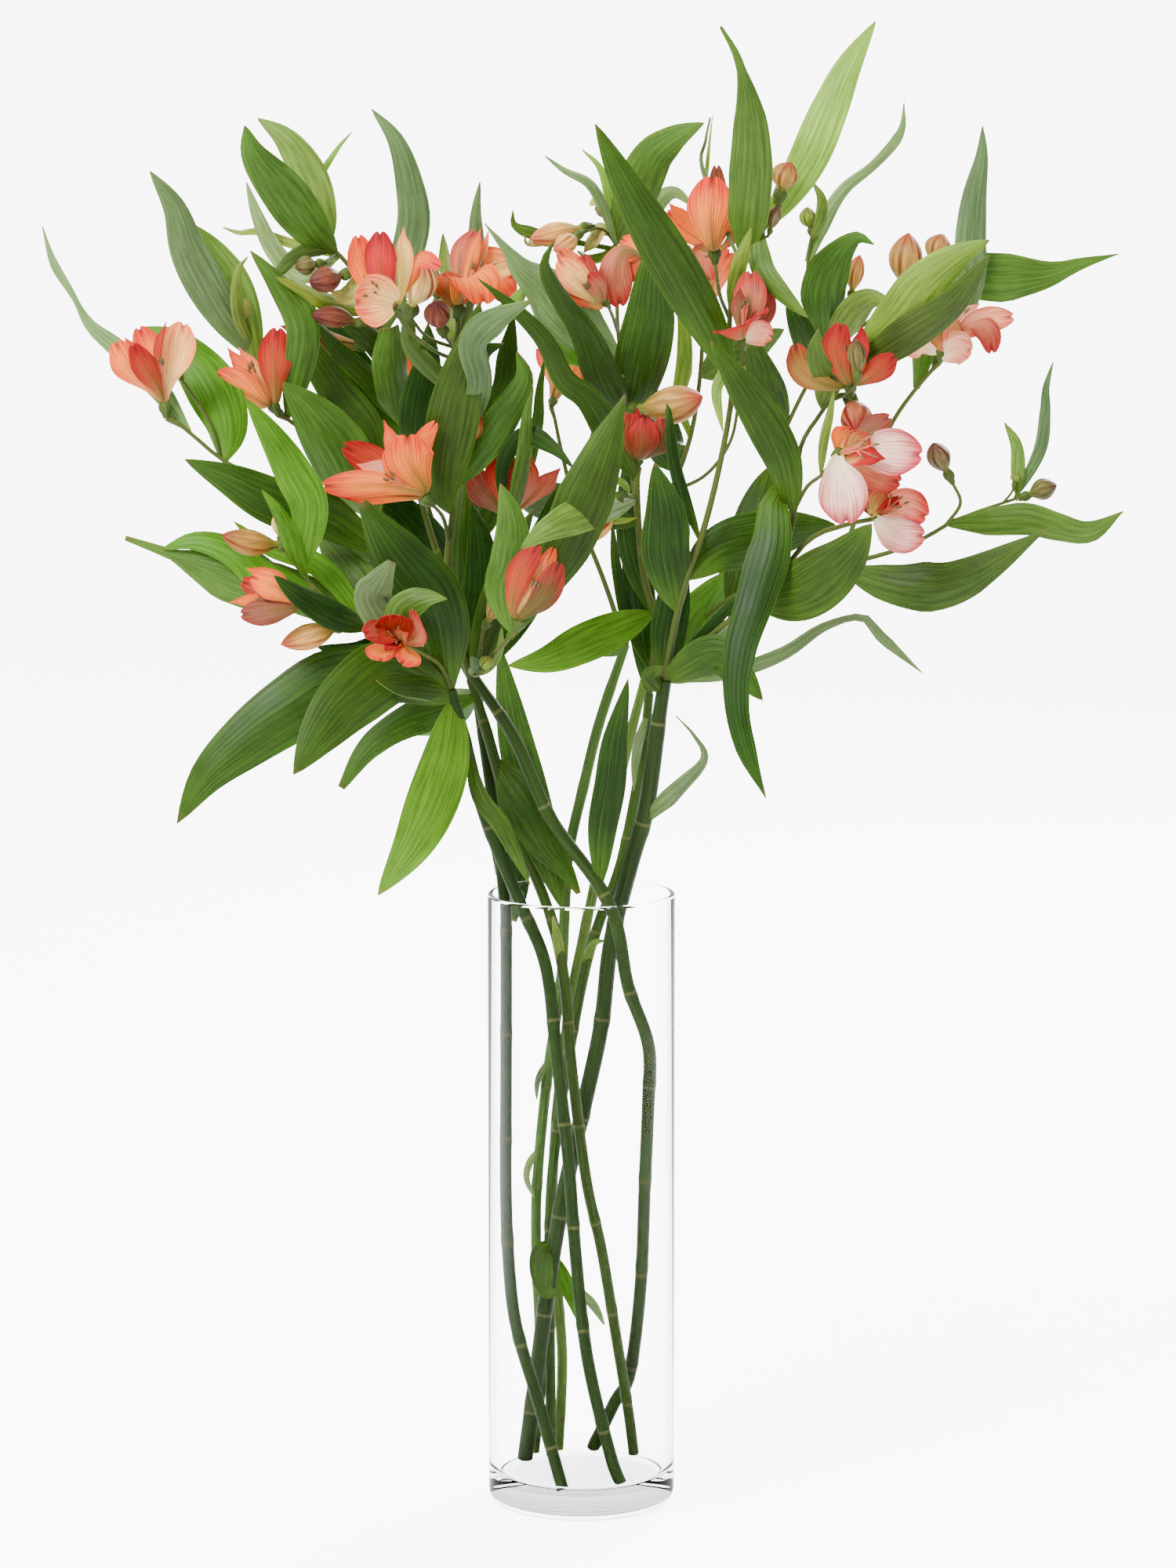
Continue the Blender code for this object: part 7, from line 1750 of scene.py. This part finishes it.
def lay_stamens(piece, foot, axis, side, size, opening, chance):
    """Six curved filaments with their anthers, and the style among them."""
    for k in range(STAMENS + 1):
        turn = math.radians(60 * k + 20)
        out = Matrix.Rotation(turn, 3, axis) @ side
        reach = size * (0.58 if opening > OPEN_WIDE else 0.44) * chance.uniform(0.88, 1.05)
        spread = math.radians(opening * 0.25) * chance.uniform(0.3, 1.0) * (1 if k < STAMENS else 0.2)
        tip = foot + axis * reach * math.cos(spread) + out * reach * math.sin(spread)
        bent = foot + axis * reach * 0.6 + out * reach * 0.05
        path = smooth_path([foot + out * 0.0012, bent, tip], 8)
        lay_tube(piece, path, [FILAMENT_RADIUS] * len(path), 5, plain(FILAMENT_PINK), FILAMENT)
        if k < STAMENS:
            aim = (path[-1] - path[-2]).normalized()
            grain = [path[-1] + aim * ANTHER_STEP * i for i in range(len(ANTHER_RADII))]
            lay_tube(piece, grain, ANTHER_RADII, 6, plain(ANTHER_TONE), FILAMENT)


print("each flower has", STAMENS, "stamens and a style")

# %% [markdown]
# ## Whole flowers
#
# Every flower gets its petals, then its stamens and the style. Where its petals weren't noted one by one,
# three outer and three inner ones take turns round it, each a little different.

# %% Shape the flowers
PETALS_SINK = 0.0006
INNER_OPENING = 0.72
OUTER_WIDTH = 0.53
INNER_WIDTH = 0.32


def lay_flower(piece, name):
    bloom = BLOOMS[name]
    size = bloom.size * MM
    foot, axis, width = HEADS[bloom.ray]
    foot = foot + axis * (ovary_length(width) - PETALS_SINK)
    side = axis.orthogonal().normalized()
    chance = random.Random(name)
    for row in PETALS.get(name, ()):
        lay_noted_petal(piece, foot, Petal(*row), chance)
    if name not in PETALS:
        for k in range(6):
            ring = ("outer", "inner")[k % 2]
            opening = bloom.open * (1.0, INNER_OPENING)[k % 2] + chance.uniform(-4, 4)
            out = Matrix.Rotation(math.radians(bloom.spin + 60 * k + chance.uniform(-4, 4)), 3, axis) @ side
            path = petal_path(foot, axis, out, size * chance.uniform(0.96, 1.03), opening)
            width = size * (OUTER_WIDTH, INNER_WIDTH)[k % 2]
            lay_petal(piece, path, axis.cross(out), width, ring, bloom.look, chance)
    lay_stamens(piece, foot, axis, side, size, bloom.open, chance)


for name in BLOOMS:
    flower = start_piece()
    lay_flower(flower, name)
    made = finish_piece("petals_of_" + name, flower, name, frame_slot(name))
    print(made.name, len(made.data.polygons), "faces")

# %% [markdown]
# ## The vase
#
# The vase is one thick blown cylinder, turned here from its half profile: a rounded heel, a straight wall,
# a fire-polished rim, and a heavy floor. Spinning the profile and merging the seam gives a closed wall with
# an inside and an outside, which is what clear glass needs.

# %% Turn the vase
VASE_SIDES = 96
HEEL_RADIUS = 0.007
HEEL_STEPS = 8
GLASS_SEAM = 1e-6


def arc(centre, radius, first, last, steps):
    """Points on a circle in the profile's plane, between two angles in degrees."""
    points = []
    for k in range(steps + 1):
        turn = math.radians(first + (last - first) * k / steps)
        points.append((centre[0] + radius * math.cos(turn), centre[1] + radius * math.sin(turn)))
    return points


def make_vase():
    inner = VASE_RADIUS - VASE_WALL
    lip = VASE_WALL / 2
    profile = [(0.0, 0.0)]
    profile += arc((VASE_RADIUS - HEEL_RADIUS, HEEL_RADIUS), HEEL_RADIUS, -90, 0, HEEL_STEPS)
    profile += arc((VASE_RADIUS - lip, VASE_HEIGHT - lip), lip, 0, 180, HEEL_STEPS)
    profile += arc((inner - HEEL_RADIUS, VASE_FLOOR + HEEL_RADIUS), HEEL_RADIUS, 0, -90, HEEL_STEPS)
    profile.append((0.0, VASE_FLOOR))
    glass = bmesh.new()
    corners = [glass.verts.new((radius, 0.0, height)) for radius, height in profile]
    lines = [glass.edges.new(pair) for pair in zip(corners, corners[1:])]
    bmesh.ops.spin(glass, geom=corners + lines, cent=(0, 0, 0), axis=(0, 0, 1), dvec=(0, 0, 0),
                   angle=2 * math.pi, steps=VASE_SIDES, use_merge=True, use_duplicate=False)
    bmesh.ops.remove_doubles(glass, verts=glass.verts, dist=GLASS_SEAM)
    bmesh.ops.recalc_face_normals(glass, faces=glass.faces)
    mesh = mesh_of("glass_vase", glass)
    mesh.shade_smooth()
    made = placed("glass_vase", mesh)
    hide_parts("vase")
    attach(made, "root")
    return made


vase = make_vase()
print("vase:", len(vase.data.polygons), "faces,", VASE_HEIGHT / MM, "mm tall")

# %% [markdown]
# ## Glass
#
# The thin wall bends light only a little, so that the stems show green right up to its sides. The foot and
# the rim bend it as real glass does, and catch the light. Blown glass is never quite even, so a very faint
# ripple runs over both.

# %% Make the glass
WALL_TINT = (0.985, 0.990, 0.994)
WALL_BEND = 1.12
FOOT_TINT = (0.950, 0.952, 0.985)
FOOT_BEND = 1.45
GLASS_SHEEN = (0.08, 0.08, 0.08, 1.0)
RIPPLE_SCALE = 14.0
RIPPLE_STRENGTH = 0.05
RIPPLE_DEPTH = 0.0008
FOOT_TOP = VASE_FLOOR + 0.003
RIM_BOTTOM = VASE_HEIGHT - 0.0025


def make_glass_finish(name, bend, colour):
    """Clear glass: `bend` is how strongly it bends light, `colour` what each surface lets through."""
    finish = bpy.data.materials.new(name)
    finish.use_nodes = True
    tree = finish.node_tree
    shader = tree.nodes["Principled BSDF"]
    shader.inputs["Base Color"].default_value = (*colour, 1.0)
    shader.inputs["Metallic"].default_value = 0.0
    shader.inputs["Transmission Weight"].default_value = 1.0
    shader.inputs["IOR"].default_value = bend
    shader.inputs["Specular Tint"].default_value = GLASS_SHEEN
    shader.inputs["Roughness"].default_value = 0.0
    place = tree.nodes.new("ShaderNodeTexCoord")
    ripple = noise(tree, place.outputs["Object"], RIPPLE_SCALE, 1.0)
    bump = tree.nodes.new("ShaderNodeBump")
    bump.inputs["Strength"].default_value = RIPPLE_STRENGTH
    bump.inputs["Distance"].default_value = RIPPLE_DEPTH
    tree.links.new(ripple, bump.inputs["Height"])
    tree.links.new(bump.outputs["Normal"], shader.inputs["Normal"])
    return finish


vase.data.materials.append(make_glass_finish("clear_glass", WALL_BEND, WALL_TINT))
vase.data.materials.append(make_glass_finish("foot_glass", FOOT_BEND, FOOT_TINT))
for face in vase.data.polygons:
    face.material_index = int(face.center.z < FOOT_TOP or face.center.z > RIM_BOTTOM)
print("glass:", sum(face.material_index for face in vase.data.polygons), "faces in the foot and the rim")

# %% [markdown]
# ## Floor
#
# The bunch stands on a plain white floor, a disc so wide that its edge reads as the horizon. Where the eye
# sees the floor or the sky itself, they shine brighter than they light, so the ground stays as white as
# paper and the plant keeps its depth.

# %% Lay the floor
FLOOR_RADIUS = 60.0
PAPER_GLOW = 6.8
EDGE_SHARE = 0.6
PAPER_WHITE = (0.90, 0.90, 0.90, 1.0)
WHITE = (1.0, 1.0, 1.0, 1.0)


def seen_itself(tree):
    """1 where the eye sees a thing itself or through glass, less in a glass edge, 0 for its own light."""
    path = tree.nodes.new("ShaderNodeLightPath")
    looked = sums(tree, "MAXIMUM", path.outputs["Is Camera Ray"], path.outputs["Is Transmission Ray"])
    bounces = sums(tree, "ADD", path.outputs["Diffuse Depth"], path.outputs["Glossy Depth"])
    direct = times(tree, looked, sums(tree, "LESS_THAN", bounces, 0.5))
    undimmed = sums(tree, "LESS_THAN", path.outputs["Diffuse Depth"], 0.5)
    clear = times(tree, path.outputs["Is Singular Ray"], undimmed)
    one_wall = sums(tree, "COMPARE", path.outputs["Transmission Depth"], 2.0)
    edge = times(tree, times(tree, clear, one_wall), EDGE_SHARE)
    return sums(tree, "MAXIMUM", direct, edge)


def make_floor():
    disc = bmesh.new()
    bmesh.ops.create_circle(disc, cap_ends=True, radius=FLOOR_RADIUS, segments=96)
    floor = placed("floor", mesh_of("floor", disc))
    paint = bpy.data.materials.new("white_floor")
    paint.use_nodes = True
    tree = paint.node_tree
    shader = tree.nodes["Principled BSDF"]
    shader.inputs["Base Color"].default_value = PAPER_WHITE
    shader.inputs["Roughness"].default_value = 0.9
    shader.inputs["Emission Color"].default_value = WHITE
    tree.links.new(times(tree, seen_itself(tree), PAPER_GLOW), shader.inputs["Emission Strength"])
    floor.data.materials.append(paint)


make_floor()
print("floor:", FLOOR_RADIUS * 2, "m across")

# %% [markdown]
# ## Light
#
# Soft, even light suits leaves and petals, as in a catalogue picture. A white sky fills the shadows, a
# large panel from the upper left gives the leaves their sheen, and a second one behind lets the tips and
# thin petals glow.

# %% Hang the lights
SKY_LIGHT = 1.4
PANEL_SIZE = (1.6, 1.2)
PANEL_GOAL = Vector((0, 0, 0.5))
# Name, place in metres and power in watts
PANELS = (("key_panel", (-1.6, -1.8, 2.4), 220), ("back_panel", (1.2, 2.0, 1.8), 150))


def hang_panel(name, place, power):
    panel = bpy.data.lights.new(name, "AREA")
    panel.shape = "RECTANGLE"
    panel.size, panel.size_y = PANEL_SIZE
    panel.energy = power
    lamp = placed(name, panel)
    aim = PANEL_GOAL - Vector(place)
    lamp.matrix_world = Matrix.Translation(place) @ aim.to_track_quat("-Z", "Y").to_matrix().to_4x4()


def make_sky():
    sky = bpy.data.worlds.new("white_sky")
    sky.use_nodes = True
    tree = sky.node_tree
    shine = sums(tree, "ADD", times(tree, seen_itself(tree), PAPER_GLOW), SKY_LIGHT)
    tree.nodes["Background"].inputs["Color"].default_value = WHITE
    tree.links.new(shine, tree.nodes["Background"].inputs["Strength"])
    bpy.context.scene.world = sky


for title, place, power in PANELS:
    hang_panel(title, place, power)
make_sky()
print("lights: a white sky and", len(PANELS), "panels")
